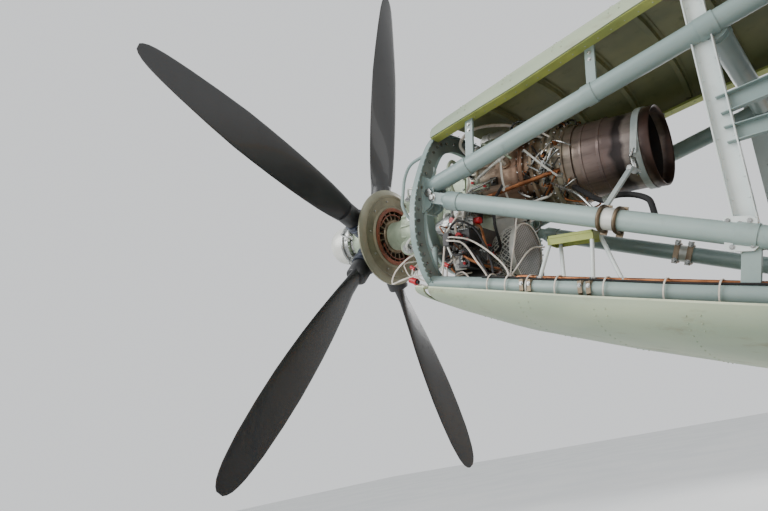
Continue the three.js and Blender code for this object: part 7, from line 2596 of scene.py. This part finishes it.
def makeElevatorHalf(name, s):
    start, end = tail["bay"]
    hingeY, z0 = tail["elevatorY"], tail["planeZ"]
    bm = bmesh.new()
    rings = []
    for x, lead, trail, half in planeRows():
        if start < x < end - tail["clear"]:
            rings.append((x, lead, trail, half))
    first = (start, 8.583, 10.637, 0.0768)
    last = (end - tail["clear"], rings[-1][1], rings[-1][2], rings[-1][3])
    solid = []
    for x, lead, trail, half in [first] + rings + [last]:
        shares = [hingeY + (trail - hingeY) * (1 - k / 16) for k in range(17)]
        heights = [planeHeight((y - lead) / (trail - lead)) * half for y in shares]
        ring = [Vector((s * x, y, z0 + h)) for y, h in zip(shares, heights)]
        high = heights[-1]
        for k in range(1, 16):
            angle = math.pi * (0.5 + k / 16)
            ring.append(Vector((s * x, hingeY + math.cos(angle) * 0.048, z0 + math.sin(angle) * high)))
        ring += [Vector((s * x, y, z0 - h)) for y, h in zip(shares[::-1], heights[::-1])]
        solid.append(ring)
    sweep(bm, solid)
    corner = bmesh.new()
    outline = [(start - 0.06, hingeY + 0.06), (start, hingeY + 0.06), (start + 0.26, 10.70),
        (start - 0.06, 10.70)]
    addPlate(corner, [(s * x, y, 0.6) for x, y in outline], (0, 0, 0.4))
    leaf = carve(tempObject(bm), [tempObject(corner)])
    finishCarved(leaf, "elevatorSkin_" + name, "elevator", ["tailFabric"],
        ("elevator",) if s > 0 else (), sharp=34)


def makeTailplanes():
    for name, s in sides:
        makeTailplane(name, s)
        makeTailStrut(name, s)
        makeElevatorHalf(name, s)
    end, hingeY, z0 = tail["bay"][1], tail["elevatorY"], tail["planeZ"]
    bm = bmesh.new()
    addBar(bm, (-end + 0.0003, hingeY, z0), (end - 0.0003, hingeY, z0), 0.028, 28, 0)
    finishPiece(bm, "elevatorTube", "elevator", ["grey"], sharp=40)


def makeRudderHorn():
    bm = bmesh.new()
    for s in (1, -1):
        addPlank(bm, (s * 0.028, 10.06, 1.05), (s * 0.10, 10.06, 1.05), 0.05, 0.006, (0, 1, 0), 0)
    finishPiece(bm, "rudderHorn", "rudder", ["steel"], sharp=35)


boardingStep = {"legs": (5.25, 5.65), "topX": 0.52, "topZ": -0.66, "footX": 0.65, "footZ": -1.06,
    "rungX": 0.648}


def makeStep():
    x, z = boardingStep["rungX"], boardingStep["footZ"]
    bm = bmesh.new()
    for y in boardingStep["legs"]:
        a = Vector((boardingStep["topX"], y, boardingStep["topZ"]))
        b = Vector((boardingStep["footX"], y, z))
        addBar(bm, a + (b - a) * 0.04, b, 0.0135, 20, 0)
        addBar(bm, a + (b - a) * 0.30, a + (b - a) * 0.36, 0.019, 20, 1)
    addBar(bm, (x, 5.19, z), (x, 5.71, z), 0.0175, 24, 0)
    addBar(bm, (x, 5.29, z), (x, 5.61, z), 0.0185, 24, 2)
    finishPiece(bm, "stepFrame", "airframe", ["blue", "steel", "rubber"], ["boarding_step"],
        sharp=40)


finishes["tapeCloth"] = surface("tapeCloth", (255, 194, 16), (249, 180, 6), (180, 136, 56), 0.46,
    coat=0.1, cloud=2)
finishes["lightBlue"] = surface("lightBlue", (74, 150, 196), (58, 134, 182), (40, 84, 112), 0.36,
    coat=0.25, cloud=2)
finishes["legGrey"] = surface("legGrey", (188, 198, 202), (170, 182, 188), (110, 116, 116), 0.4,
    0.1, cloud=4)
finishes["chrome"] = surface("chromePiston", (206, 208, 210), (188, 192, 194), (130, 126, 120), 0.16,
    0.95, cloud=4)
makeWings()
makeTapes()
makeStruts()
makeGear()
makeTailGear()
makeFin()
makeTailplanes()
makeRudderHorn()
makeStep()
print("wings, gear and tail made")


dressNode("cabin_floor", "grey")
print("cabin floor dressed")


# Floor and light.

def makeStage():
    bm = bmesh.new()
    bmesh.ops.create_grid(bm, x_segments=1, y_segments=1, size=60)
    mesh = bpy.data.meshes.new("studioFloor")
    bm.to_mesh(mesh)
    bm.free()
    material, tree, shader = startMaterial("studioFloor", 0.8)
    level = levelCoordinates(tree)
    base = blendColours(tree, ramp(tree, noise(tree, level, 0.4), 0.3, 0.7), colour(222, 223, 222),
        colour(214, 216, 216))
    tree.links.new(base, shader.inputs["Base Color"])
    mesh.materials.append(material)
    floor = bpy.data.objects.new("studioFloor", mesh)
    bpy.context.scene.collection.objects.link(floor)
    world = bpy.data.worlds.new("studio")
    world.use_nodes = True
    world.node_tree.nodes["Background"].inputs["Color"].default_value = colour(226, 228, 230)
    world.node_tree.nodes["Background"].inputs["Strength"].default_value = 1.25
    bpy.context.scene.world = world


# Each lamp: name, place and target in the row frame, width, power.
lamps = (
    ("windowLight", (9, -12, 9), (0, -5, 3), 9, 1500),
    ("fillLight", (12, 4, 7), (0, -3, 2), 8, 700),
    ("starboardLight", (-12, -6, 8), (0, -3, 2), 8, 700),
    ("tailLight", (-4, 16, 8), (0, 5, 2), 8, 700),
)


def makeLamps():
    for name, place, target, width, power in lamps:
        lamp = bpy.data.lights.new(name, "AREA")
        lamp.size = width
        lamp.energy = power
        holder = bpy.data.objects.new(name, lamp)
        bpy.context.scene.collection.objects.link(holder)
        place, target = Vector(place), Vector(target)
        holder.matrix_world = Matrix.Translation(place) @ (target - place).to_track_quat("-Z",
            "Y").to_matrix().to_4x4()


makeStage()
makeLamps()
print("stage and lights set")
